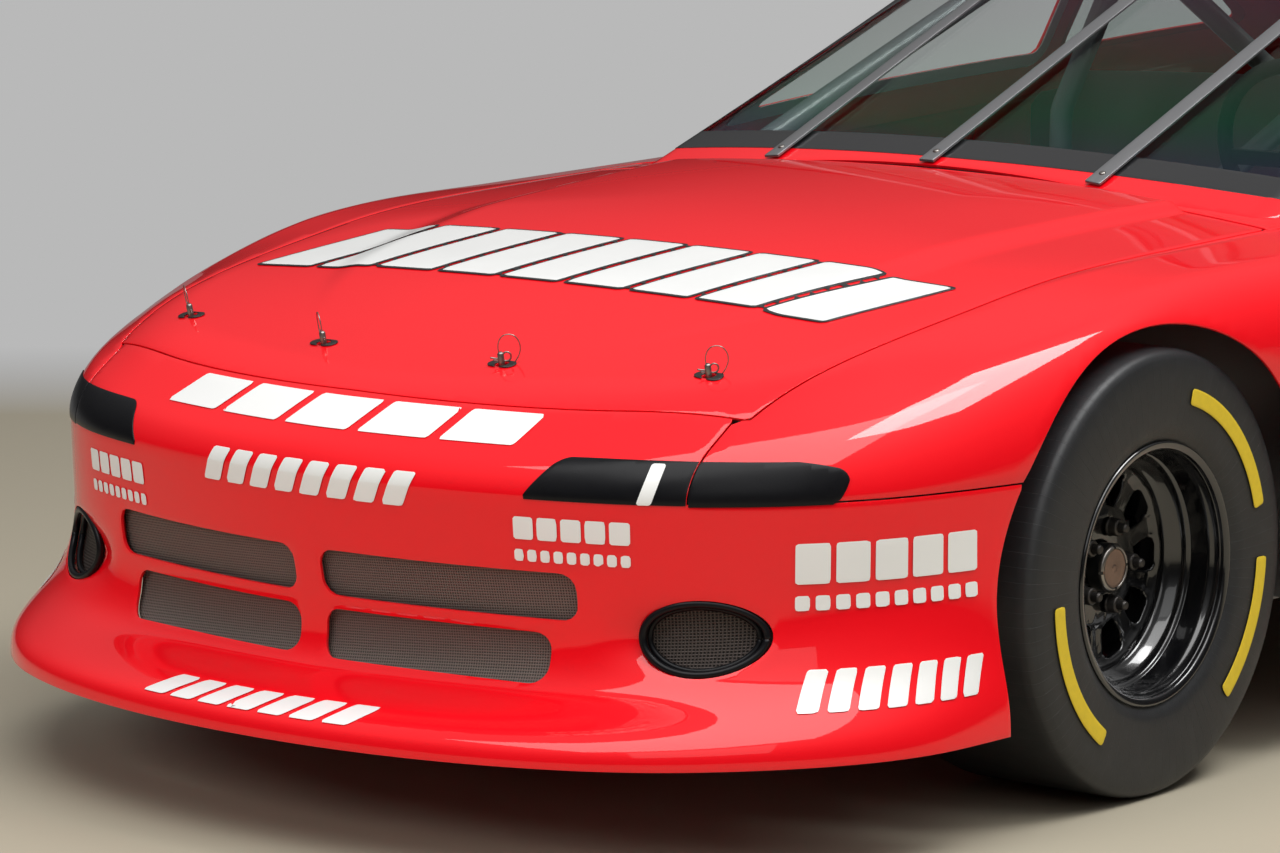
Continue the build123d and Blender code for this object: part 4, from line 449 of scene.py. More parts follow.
class Graph:
    """Node tree of one material, with its main shader ready."""

    def __init__(self, name: str) -> None:
        """Start an empty material with a main shader and an output.

        Args:
            name: Name of the material.
        """
        self.material = bpy.data.materials.new(name)
        self.material.use_nodes = True
        self.tree = self.material.node_tree
        self.tree.nodes.clear()
        self.output = self.tree.nodes.new("ShaderNodeOutputMaterial")
        self.shader = self.tree.nodes.new("ShaderNodeBsdfPrincipled")
        self.tree.links.new(self.shader.outputs[0], self.output.inputs["Surface"])

    def node(
        self, kind: str, settings: dict | None = None, sockets: dict | None = None, out: object = 0
    ) -> Value:
        """Add one node and return one of its outputs.

        Args:
            kind: Type name of the node.
            settings: Properties of the node, set before its sockets.
            sockets: Values or links of its inputs, by name or number.
            out: Name or number of the output that is wanted.

        Returns:
            The wanted output.
        """
        made = self.tree.nodes.new(kind)
        for key, value in (settings or {}).items():
            if key == "stops":
                ramp = made.color_ramp.elements
                for index, (place, colour) in enumerate(value):
                    stop = ramp[index] if index < 2 else ramp.new(place)
                    stop.position, stop.color = place, (*colour, 1)
            else:
                setattr(made, key, value)
        for key, value in (sockets or {}).items():
            self.feed(made.inputs[key], value)
        return Value(self, made.outputs[out])

    def feed(self, target: bpy.types.NodeSocket, value: object) -> None:
        """Link or set one input.

        Args:
            target: Input that is set.
            value: Output to link to it, or its value.
        """
        if isinstance(value, Value):
            self.tree.links.new(value.socket, target)
        elif isinstance(value, tuple) and len(value) == 3 and target.type == "RGBA":
            target.default_value = (*value, 1)
        else:
            target.default_value = value

    def place(self, out: str = "Object") -> Value:
        """Coordinates of the point that is shaded."""
        return self.node("ShaderNodeTexCoord", out=out)

    def noise(self, size: float, detail: float = 3, stretch: tuple[float, float, float] = (1, 1, 1)) -> Value:
        """Cloudy noise whose clouds are about size metres wide."""
        at = self.node("ShaderNodeMapping", sockets={"Vector": self.place(), "Scale": stretch})
        return self.node("ShaderNodeTexNoise", sockets={"Vector": at, "Scale": 1 / size, "Detail": detail})

    def mix(self, share: object, first: object, second: object) -> Value:
        """Colour between two colours.

        Args:
            share: Share of the second colour.
            first: Colour at no share.
            second: Colour at a full share.

        Returns:
            The colour.
        """
        return self.node(
            "ShaderNodeMix", {"data_type": "RGBA"}, {0: share, 6: first, 7: second}, out=2
        )

    def ramp(self, share: object, low: float, high: float) -> Value:
        """Share of the way from low to high, held between 0 and 1.

        Args:
            share: Value that is read.
            low: Value that gives 0.
            high: Value that gives 1.

        Returns:
            The held share.
        """
        return self.node(
            "ShaderNodeMapRange", {"clamp": True}, {0: share, 1: low, 2: high, 3: 0.0, 4: 1.0}
        )

    def bump(self, height: object, depth: float) -> Value:
        """Normal that is tilted by a height field of a given depth in metres."""
        return self.node("ShaderNodeBump", sockets={"Height": height, "Distance": depth, "Strength": 1.0})

    def set(self, **sockets: object) -> None:
        """Set inputs of the main shader, with spaces written as underscores."""
        for name, value in sockets.items():
            self.feed(self.shader.inputs[name.replace("_", " ")], value)


def linear(red: float, green: float, blue: float) -> tuple[float, float, float]:
    """Linear colour of a display colour given from 0 to 255."""
    shares = (c / 255 for c in (red, green, blue))
    return tuple(c / 12.92 if c <= 0.04045 else ((c + 0.055) / 1.055) ** 2.4 for c in shares)


@dataclass(frozen=True)
class Finish:
    """A surface finish: its colour with a faint cloudiness, its gloss and its grain."""

    name: str
    colour: tuple[float, float, float]
    roughness: float = 0.5
    metallic: float = 0.0
    coat: float = 0.0
    mottle: float = 0.08
    mottle_size: float = 0.05
    grain: float = 0.002
    depth: float = 0.00002
    specular: float = 0.5
    stretch: tuple[float, float, float] = (1, 1, 1)

    def build(self) -> bpy.types.Material:
        """Make the material, or return it if it is there already.

        Returns:
            The material.
        """
        title = f"{self.name}_finish"
        known = bpy.data.materials.get(title)
        if known:
            return known
        graph = Graph(title)
        cloud = graph.noise(self.mottle_size, 4, self.stretch)
        fine = graph.noise(self.grain, 2, self.stretch)
        dark = tuple(c * (1 - self.mottle) for c in self.colour)
        light = tuple(min(1.0, c * (1 + self.mottle)) for c in self.colour)
        graph.set(
            Base_Color=graph.mix(cloud, dark, light), Metallic=self.metallic, Specular_IOR_Level=self.specular
        )
        graph.set(Roughness=self.roughness + (cloud - 0.5) * 0.12 + (fine - 0.5) * 0.06)
        graph.set(Normal=graph.bump(fine, self.depth))
        if self.coat:
            graph.set(Coat_Weight=self.coat, Coat_Roughness=0.03)
        self.dress(graph)
        return graph.material

    def dress(self, graph: Graph) -> None:
        """Change the finished graph; a plain finish leaves it as it is."""


@dataclass(frozen=True)
class WireCloth(Finish):
    """Woven wire cloth, with painted shade in the gaps between its wires."""

    pitch: float = 0.0035
    fill: float = 0.45
    slant: float = 0.0

    def dress(self, graph: Graph) -> None:
        """Weave two sets of wires by sines of the front view's coordinates, with painted shade in the gaps.

        Args:
            graph: Graph of the finish's material, which is changed in place.
        """
        turn = {"Vector": graph.place(), "Rotation": (0.0, self.slant, 0.0)}
        parts = graph.node("ShaderNodeMapping", sockets=turn)
        split = {"Vector": parts}
        x = graph.node("ShaderNodeSeparateXYZ", sockets=split, out=0)
        z = graph.node("ShaderNodeSeparateXYZ", sockets=split, out=2)
        wires = []
        for axis in (x, z):
            wave = graph.node("ShaderNodeMath", {"operation": "SINE"}, {0: axis * (2 * math.pi / self.pitch)})
            wires.append(wave * 0.5 + 0.5)
        weave = graph.node("ShaderNodeMath", {"operation": "MAXIMUM"}, {0: wires[0], 1: wires[1]})
        solid = graph.ramp(weave, 1 - self.fill - 0.1, 1 - self.fill + 0.1)
        # painted shade: the gaps between the wires get a colour far darker than the wire, standing in for the
        # dark space behind the cloth
        dark = tuple(c * 0.12 for c in self.colour)
        graph.set(Base_Color=graph.mix(solid, dark, self.colour))
        graph.set(Normal=graph.bump(weave, self.pitch * 0.3))


@dataclass(frozen=True)
class Sheet(Finish):
    """Clear sheet that shows what is behind it and reflects at a slant."""

    tint: tuple[float, float, float] = (0.86, 0.89, 0.88)
    film: tuple[tuple[float, tuple[float, float, float]], ...] = (
        (0.0, (0.30, 0.34, 0.62)),
        (0.22, (0.10, 0.62, 0.34)),
        (0.45, (0.34, 0.46, 0.34)),
        (0.75, (0.55, 0.32, 0.46)),
    )

    def dress(self, graph: Graph) -> None:
        """Let light through, less the share that a coated sheet reflects in its own colours.

        Formula: the share is Schlick's, a constant plus the fifth power of the slant, and
        the coating's colour runs with the height and a slow noise.

        Args:
            graph: Graph of the finish's material, which is changed in place.
        """
        z = graph.node("ShaderNodeSeparateXYZ", sockets={"Vector": graph.place()}, out=2)
        band = graph.ramp(z, 0.86, 1.22) + (graph.noise(0.5, 2) - 0.5) * 0.35
        ramp = graph.node("ShaderNodeValToRGB", {"stops": self.film}, {0: band})
        graph.set(Base_Color=ramp, Metallic=1.0)
        through = graph.tree.nodes.new("ShaderNodeBsdfTransparent")
        through.inputs[0].default_value = (*self.tint, 1)
        blend = graph.tree.nodes.new("ShaderNodeMixShader")
        slant = graph.node("ShaderNodeLayerWeight", sockets={"Blend": 0.5}, out="Facing")
        haze = graph.noise(0.15, 3)
        graph.feed(blend.inputs[0], slant**5 * 0.9 + haze * 0.015 + 0.045)
        graph.tree.links.new(through.outputs[0], blend.inputs[1])
        graph.tree.links.new(graph.shader.outputs[0], blend.inputs[2])
        graph.tree.links.new(blend.outputs[0], graph.output.inputs["Surface"])


@dataclass(frozen=True)
class Sidewall(Finish):
    """Slick tyre rubber with fine moulded lines that run out from the bead."""

    axle: tuple[float, float] = (0.0, 0.0)
    lines: int = 96

    def dress(self, graph: Graph) -> None:
        """Raise thin lines at equal angles, over fine grain and scuffs that carry some dust.

        Args:
            graph: Graph of the finish's material, which is changed in place.
        """
        split = {"Vector": graph.place()}
        y = graph.node("ShaderNodeSeparateXYZ", sockets=split, out=1) - self.axle[0]
        z = graph.node("ShaderNodeSeparateXYZ", sockets=split, out=2) - self.axle[1]
        angle = graph.node("ShaderNodeMath", {"operation": "ARCTAN2"}, {0: z, 1: y})
        spoke = graph.node("ShaderNodeMath", {"operation": "SINE"}, {0: angle * (self.lines / 2)})
        line = graph.ramp(spoke * spoke, 0.9985, 1.0)
        fine = graph.noise(0.0012, 2)
        scuff = graph.noise(0.03, 5)
        height = line * 0.7 + fine * 0.25 + scuff * 0.3
        graph.set(Normal=graph.bump(height, 0.0006))
        dust = tuple(c * 1.9 for c in self.colour)
        graph.set(Base_Color=graph.mix(line * 0.25 + graph.ramp(scuff, 0.5, 0.9) * 0.5, self.colour, dust))


RED = linear(243, 6, 24)
PAINT = Finish("red_paint", RED, 0.5, 0, 1.0, 0.02, 0.4, 0.004, 0.0000012, 0.1)
COVER = Finish("cover_black", linear(15, 15, 18), 0.3, 0, 0.0, 0.1, 0.02, 0.0012, 0.00003, 0.2)
WHITE = Finish("white_film", linear(238, 238, 236), 0.35, 0, 0.6, 0.02, 0.1, 0.003, 0.000002)
DARK_FILM = Finish("black_film", linear(22, 22, 24), 0.35, 0, 0.6, 0.05, 0.1, 0.003, 0.000002)
GRILLE_CLOTH = WireCloth("grille_cloth", linear(126, 116, 110), 0.5, 0.35, pitch=0.0042, slant=0.06)
DUCT_CLOTH = WireCloth("duct_cloth", linear(84, 74, 70), 0.5, 0.4, pitch=0.0046, slant=0.06)
WHEEL_BLACK = Finish("wheel_black", linear(12, 12, 14), 0.2, 0, 1.0, 0.08, 0.03, 0.003, 0.000004)
STEEL = Finish("bare_steel", linear(150, 145, 140), 0.32, 0.95, 0, 0.18, 0.012, 0.0006, 0.00001)
HUB_BLACK = Finish("hub_black", linear(24, 24, 25), 0.4, 0.3, 0.2, 0.15, 0.01, 0.001, 0.00002)
CAP_BRONZE = Finish("cap_bronze", linear(139, 116, 104), 0.35, 0.8, 0, 0.25, 0.01, 0.0008, 0.00002)
DARK_STEEL = Finish("dark_steel", linear(78, 75, 73), 0.45, 0.85, 0, 0.25, 0.02, 0.001, 0.00002)
FRAME_GREY = Finish("frame_grey", linear(128, 131, 135), 0.36, 0.1, 0.35, 0.06, 0.06, 0.003, 0.00001)
ALUMINIUM = Finish(
    "sheet_aluminium", linear(172, 174, 178), 0.38, 0.85, 0, 0.1, 0.08, 0.0008, 0.00001, stretch=(1, 6, 1)
)
BRACE_GREY = Finish(
    "brace_grey", linear(146, 146, 148), 0.36, 0.75, 0, 0.06, 0.05, 0.001, 0.00001, stretch=(6, 1, 1)
)
CAST_GREY = Finish("cast_grey", linear(98, 98, 100), 0.6, 0.6, 0, 0.2, 0.02, 0.0025, 0.0002)
SEAT_BLACK = Finish("seat_cloth", linear(30, 30, 33), 0.9, 0, 0, 0.2, 0.01, 0.0014, 0.0002)
SEAT_SHELL = Finish("seat_shell", linear(46, 47, 50), 0.38, 0.2, 0.3, 0.06, 0.06, 0.002, 0.00001)
WEBBING = Finish(
    "belt_webbing", linear(26, 30, 62), 0.8, 0, 0, 0.15, 0.006, 0.0009, 0.0001, stretch=(1, 5, 5)
)
STRIP_WHITE = Finish("strip_white", linear(214, 217, 218), 0.4, 0, 0.3, 0.04, 0.05, 0.002, 0.00001)
RUBBER = Finish("rubber_black", linear(28, 28, 29), 0.7, 0, 0, 0.15, 0.02, 0.001, 0.00005)
GLAZING = Sheet("clear_glazing", (0.02, 0.02, 0.02), 0.02, 0, 0, 0.02)
YELLOW = Finish("yellow_mark", linear(226, 196, 44), 0.6, 0, 0, 0.1, 0.01, 0.001, 0.00005)


def piece(
    name: str,
    shape: Shape,
    finish: Finish,
    body: str = "root",
    slot: str | None = None,
    replaces: Sequence[str] = (),
    skin: float = 0.0,
    edge: float = 0.0,
    levels: int = 0,
) -> bpy.types.Object:
    """Make one piece of the car from a shape.

    Args:
        name: Name of the piece.
        shape: Its points and faces, in the frame's own place.
        finish: Its surface finish.
        body: Body that it moves with.
        slot: Material slot of the record; not used.
        replaces: Construction nodes that it stands for.
        skin: Thickness that is added inwards, or 0 for a closed shape.
        edge: Radius of its rounded edges, or 0.
        levels: Steps of subdivision.

    Returns:
        The new object.
    """
    mesh = bpy.data.meshes.new(name)
    shape = shape.welded()
    faces = [list(dict.fromkeys(face)) for face in shape.faces.tolist()]
    mesh.from_pydata(shape.verts.tolist(), [], faces)
    mesh.validate()
    mesh.polygons.foreach_set("use_smooth", np.ones(len(mesh.polygons), bool))
    mesh.update()
    obj = bpy.data.objects.new(name, mesh)
    bpy.context.scene.collection.objects.link(obj)
    if levels:
        smooth = obj.modifiers.new("smooth", "SUBSURF")
        smooth.levels = smooth.render_levels = levels
    if skin:
        wall = obj.modifiers.new("wall", "SOLIDIFY")
        wall.thickness, wall.offset = skin, -1
    if edge:
        bevel = obj.modifiers.new("edge", "BEVEL")
        bevel.width, bevel.segments = edge, 2
        bevel.limit_method, bevel.angle_limit = "ANGLE", math.radians(40)
    if skin and not edge:
        obj.modifiers.new("shade", "WEIGHTED_NORMAL")
    mesh.materials.append(finish.build())
    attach(obj, body)
    if replaces:
        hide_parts(*replaces)
    log.info("%s: %d faces on %s", name, len(faces), body)
    return obj


@dataclass(frozen=True)
class Outline:
    """Plan outline of the left half of the car: runs of arc and one straight run.

    Each run has a length and a turn in degrees. The chain starts at the middle of the
    nose, heading along +X, and ends at the middle of the tail.
    """

    front_y: float = FRONT_AXLE_Y - 0.966
    front_radius: float = 1.39
    corner_radius: float = 0.577
    flank_radius: float = 1.497
    turns: tuple[float, ...] = (21.08, 48.92, 20.0, 0.0, 12.0, 66.0, 12.0)
    straight: float = 3.318
    rear_flank_radius: float = 1.6
    rear_corner_radius: float = 0.26
    rear_radius: float = 3.317

    def runs(self) -> list[tuple[float, float, float, float, float, float]]:
        """Start, length, curvature, heading, x and y of each run.

        Returns:
            One row for each run, in order.
        """
        radii = (self.front_radius, self.corner_radius, self.flank_radius, math.inf)
        radii += (self.rear_flank_radius, self.rear_corner_radius, self.rear_radius)
        at, heading, x, y, rows = 0.0, 0.0, 0.0, self.front_y, []
        for radius, turn in zip(radii, np.radians(self.turns)):
            curvature = 1 / radius
            length = radius * turn if turn else self.straight
            rows.append((at, length, curvature, heading, x, y))
            chord = length * np.sinc(curvature * length / 2 / np.pi)
            middle = heading + curvature * length / 2
            x, y = x + chord * np.cos(middle), y + chord * np.sin(middle)
            at, heading = at + length, heading + turn
        return rows

    def length(self) -> float:
        """Length of the whole chain."""
        last = self.runs()[-1]
        return last[0] + last[1]

    def place(self, t: Array, inward: Array) -> tuple[Array, Array]:
        """Plan point at a running length, moved inwards.

        Formula: a run of s along an arc of curvature k ends one chord away, of length
        s sin(ks/2) / (ks/2), at the heading half way along. A length below zero, or past
        the middle of the tail, is a point on the right side.

        Args:
            t: Running length from the middle of the nose.
            inward: Distance inwards from the outline.

        Returns:
            X and y of the points.
        """
        rows = np.array(self.runs())
        total = self.length()
        side = np.where((t < 0) ^ (np.abs(t) > total), -1.0, 1.0)
        t = total - np.abs(total - np.abs(t))
        index = np.clip(np.searchsorted(rows[:, 0], t) - 1, 0, len(rows) - 1)
        at, _, curvature, heading, x, y = np.moveaxis(rows[index], -1, 0)
        s = t - at
        chord = s * np.sinc(curvature * s / 2 / np.pi)
        middle, end = heading + curvature * s / 2, heading + curvature * s
        px = x + chord * np.cos(middle) - inward * np.sin(end)
        py = y + chord * np.sin(middle) + inward * np.cos(end)
        return px * side, py

    def nearest(self, x: Array, y: Array) -> tuple[Array, Array]:
        """Running length and inward depth of plan points.

        Formula: for each run, the foot of the point on its arc or line, held between its
        ends; the run with the nearest foot counts.

        Args:
            x: X of the points.
            y: Y of the points.

        Returns:
            The running length and the inward depth of each point.
        """
        x = np.abs(x)
        best = np.full(x.shape, np.inf)
        t, depth = np.zeros_like(x), np.zeros_like(x)
        for at, length, curvature, heading, x0, y0 in self.runs():
            if curvature:
                cx, cy = x0 - np.sin(heading) / curvature, y0 + np.cos(heading) / curvature
                angle = np.arctan2(x - cx, cy - y) - heading
                angle = (angle + np.pi) % (2 * np.pi) - np.pi
                s = np.clip(angle / curvature, 0, length)
            else:
                s = np.clip((x - x0) * np.cos(heading) + (y - y0) * np.sin(heading), 0, length)
            chord = s * np.sinc(curvature * s / 2 / np.pi)
            middle, end = heading + curvature * s / 2, heading + curvature * s
            dx, dy = x - x0 - chord * np.cos(middle), y - y0 - chord * np.sin(middle)
            gap = np.hypot(dx, dy)
            closer = gap < best
            best = np.where(closer, gap, best)
            t = np.where(closer, at + s, t)
            depth = np.where(closer, -dx * np.sin(end) + dy * np.cos(end), depth)
        return t, depth


def station(y: Array) -> Array:
    """Distance of a point behind the front axle."""
    return y - FRONT_AXLE_Y


@dataclass(frozen=True)
class BodyForm:
    """Smooth form of the body, read from tables that run along its outline."""

    outline: Outline = Outline()
    # running length, height where the side rolls over, height of the roll, its width, slope above it
    shoulder: tuple[tuple[float, ...], ...] = (
        (0.0, 0.535, 0.030, 0.030, 0.74),
        (0.511, 0.535, 0.033, 0.032, 0.74),
        (0.75, 0.535, 0.050, 0.046, 0.74),
        (1.004, 0.535, 0.082, 0.066, 0.66),
        (1.13, 0.545, 0.108, 0.080, 0.52),
        (1.35, 0.575, 0.140, 0.090, 0.31),
        (1.545, 0.615, 0.150, 0.098, 0.15),
        (1.945, 0.655, 0.128, 0.098, 0.13),
        (2.275, 0.665, 0.130, 0.104, 0.16),
        (3.445, 0.690, 0.140, 0.112, 0.25),
        (4.34, 0.730, 0.150, 0.122, 0.24),
        (4.84, 0.745, 0.145, 0.115, 0.20),
        (5.18, 0.760, 0.130, 0.100, 0.16),
        (5.48, 0.785, 0.120, 0.090, 0.13),
        (6.174, 0.800, 0.115, 0.085, 0.12),
    )
    # station, height at the middle, fall towards the sides
    crown: tuple[tuple[float, ...], ...] = (
        (-1.10, 0.590, 0.000),
        (-0.845, 0.658, 0.004),
        (-0.70, 0.690, 0.012),
        (-0.41, 0.754, 0.022),
        (-0.20, 0.787, 0.022),
        (0.0, 0.813, 0.018),
        (0.30, 0.838, 0.022),
        (0.60, 0.852, 0.036),
        (1.20, 0.868, 0.045),
        (1.90, 0.890, 0.045),
        (2.794, 0.940, 0.045),
        (3.90, 0.948, 0.040),
    )
    crown_half: float = 0.70
    blend: float = 0.03
    # running length, then offset outwards and height of eight points from the foot to the seam
    flare: tuple[tuple[float, ...], ...] = (
        (
            0.0, 0.144, 0.165, 0.142, 0.184, 0.126, 0.203, 0.058, 0.225, -0.012, 0.247, -0.034, 0.31, -0.018,
            0.41, 0, 0.535
        ),
        (
            0.30, 0.143, 0.165, 0.141, 0.184, 0.125, 0.203, 0.058, 0.225, -0.010, 0.248, -0.032, 0.31, -0.017,
            0.41, 0, 0.535
        ),
        (
            0.511, 0.130, 0.165, 0.128, 0.184, 0.112, 0.205, 0.054, 0.232, 0.002, 0.264, -0.018, 0.33, -0.011,
            0.42, 0, 0.535
        ),
        (
            0.75, 0.098, 0.165, 0.096, 0.186, 0.083, 0.211, 0.042, 0.250, 0.011, 0.297, -0.004, 0.36, -0.003,
            0.44, 0, 0.535
        ),
        (
            1.004, 0.066, 0.165, 0.064, 0.188, 0.055, 0.220, 0.031, 0.268, 0.011, 0.325, 0.001, 0.39, 0,
            0.455, 0, 0.535
        ),
        (
            1.13, 0.036, 0.165, 0.035, 0.190, 0.030, 0.225, 0.018, 0.275, 0.008, 0.330, 0.002, 0.395, 0, 0.46,
            0, 0.535
        ),
        (
            1.45, 0.004, 0.165, 0.004, 0.190, 0.003, 0.225, 0.002, 0.275, 0.001, 0.330, 0, 0.395, 0, 0.46, 0,
            0.535
        ),
        (1.90, -0.006, 0.165, -0.004, 0.190, -0.002, 0.225, 0, 0.275, 0, 0.330, 0, 0.395, 0, 0.46, 0, 0.535),
        (3.60, -0.006, 0.165, -0.004, 0.190, -0.002, 0.225, 0, 0.275, 0, 0.330, 0, 0.395, 0, 0.46, 0, 0.535),
        (
            5.20, -0.020, 0.165, -0.014, 0.200, -0.008, 0.240, -0.002, 0.290, 0, 0.340, 0, 0.395, 0, 0.46, 0,
            0.535
        ),
        (
            6.174, -0.030, 0.165, -0.020, 0.200, -0.012, 0.240, -0.004, 0.290, 0, 0.340, 0, 0.395, 0, 0.46, 0,
            0.535
        ),
    )
    flare_knots: tuple[float, ...] = (0.0, 0.08, 0.18, 0.32, 0.5, 0.68, 0.84, 1.0)
    reach: float = 0.30

    def height(self, x: Array, y: Array) -> Array:
        """Height of the body's top above a plan point.

        Formula: the soft minimum of a crown that falls with the square of the distance
        from the middle, and of a quarter ellipse that rises inwards from the outline and
        goes on as a straight slope.

        Args:
            x: X of the points.
            y: Y of the points.

        Returns:
            The height above each point.
        """
        t, depth = self.outline.nearest(x, y)
        foot, rise, width, slope = spline(self.shoulder, t)
        share = np.clip(depth / width, 0, 1)
        rolled = foot + rise * np.sqrt(1 - (1 - share) ** 2) + slope * np.maximum(depth, 0)
        rolled = np.where(depth < 0, foot + 3 * depth, rolled)
        middle, fall = spline(self.crown, station(y))
        return soft_min(middle - fall * (x / self.crown_half) ** 2, rolled, self.blend)

    def flank(self, t: Array, w: Array) -> Array:
        """Point of the side of the body.

        Formula: below the seam, where w is under 1, a spline through eight offsets and
        heights that themselves run smoothly along the outline. Above it the height grows
        up to the roll, and then the depth grows with the square of w up to the reach.

        Args:
            t: Running length along the outline.
            w: 0 at the foot, 1 at the seam and 2 at the inner limit of the top.

        Returns:
            The points.
        """
        knots = len(self.flare_knots)
        weight = spline(np.column_stack([self.flare_knots, np.eye(knots)]), np.clip(w, 0, 1))
        folded = self.outline.length() - np.abs(self.outline.length() - np.abs(t))
        rows = spline(self.flare, folded)
        offset = sum(weight[k] * rows[2 * k] for k in range(knots))
        low = sum(weight[k] * rows[2 * k + 1] for k in range(knots))
        foot, rise = spline(self.shoulder, folded)[:2]
        upright = (foot - SEAM_HEIGHT) / (foot - SEAM_HEIGHT + rise + self.reach)
        s = np.clip(w - 1, 0, 1)
        climb = np.clip(s / np.maximum(upright, 1e-6), 0, 1)
        inward = self.reach * (np.clip(s - upright, 0, 1) / (1 - upright)) ** 2
        x, y = self.outline.place(t, np.where(w < 1, -offset, inward))
        side = SEAM_HEIGHT + (foot - SEAM_HEIGHT) * climb
        z = np.where(w < 1, low, np.where(inward > 0, self.height(x, y), side))
        return points(x, y, z)

    def top(self, x: Array, y: Array) -> Array:
        """Point of the top of the body above a plan point."""
        return points(x, y, self.height(x, y))

    def at_station(self, ahead: float) -> float:
        """Running length where the straight side passes a station."""
        rows = self.outline.runs()
        return rows[3][0] + ahead - station(rows[3][5])


@dataclass(frozen=True)
class CabinForm:
    """Smooth form of the cabin: raked ends, leaning sides and a crowned roof."""

    belt: float = 0.76
    span: float = 0.53
    side_x: float = 0.824
    side_lean: float = 0.479
    side_bow: float = 0.0787
    middle: float = 1.88
    roof_height: float = 1.275
    roof_peak: float = 1.98
    blend: float = 0.035

    def over(self, x: Array, ahead: Array, z: Array) -> Array:
        """Height by which a point stands above the cabin's skin.

        Formula: the soft maximum of the heights above four faces. The ends are planes
        between bowed plan lines, the sides lean in and bow more towards the roof, and the
        roof is a shallow paraboloid.

        Args:
            x: X of the points.
            ahead: Stations of the points.
            z: Height of the points.

        Returns:
            The height difference of each point.
        """
        x = np.abs(x)
        front = self.belt + self.span * (ahead - 0.346 - 0.4 * x**2) / 1.359
        rear = self.belt + self.span * (3.290 - 0.3 * x**2 - ahead) / 1.19
        share = np.clip((z - self.belt) / self.span, 0, 1.05)
        bow = self.side_bow / (1 - 0.75 * share) ** 2
        side = (
            x - self.side_x + self.side_lean * (z - self.belt) + bow * (ahead - self.middle) ** 2
        ) / self.side_lean
        roof = self.roof_height - x**2 / 7.2 - (ahead - self.roof_peak) ** 2 / 7.8
        ends = soft_min(front, rear, self.blend)
        skin = soft_min(ends, roof, self.blend)
        return -soft_min(skin - z, -side, self.blend * 1.4)

    def height(self, x: Array, y: Array) -> Array:
        """Height of the cabin's skin above a plan point.

        Formula: the height where the point neither stands above the skin nor below it,
        found by halving an interval.

        Args:
            x: X of the points.
            y: Y of the points.

        Returns:
            The height above each point.
        """
        ahead = station(y)
        low, high = np.full(np.shape(x), 0.2), np.full(np.shape(x), 1.4)
        for _ in range(26):
            middle = (low + high) / 2
            above = self.over(x, ahead, middle) > 0
            high, low = np.where(above, middle, high), np.where(above, low, middle)
        return (low + high) / 2

    def skin(self, x: Array, y: Array) -> Array:
        """Point of the cabin's skin above a plan point."""
        return points(x, y, self.height(x, y))


def raised(surface: Field, by: float | Field) -> Field:
    """The same surface moved out along its normals, by a distance or a field of points.

    Args:
        surface: Points of the surface from two parameter arrays.
        by: Distance, or a function that gives the distance of each point.

    Returns:
        The moved surface, from the same two parameters.
    """

    def place(u: Array, v: Array) -> Array:
        """Point of the moved surface."""
        at = surface(u, v)
        normal = smooth_normals(surface, u, v)
        distance = by(at) if callable(by) else by
        return at + normal * np.asarray(distance)[..., None] if np.ndim(distance) else at + normal * distance

    return place


BODY = BodyForm()
CABIN = CabinForm()


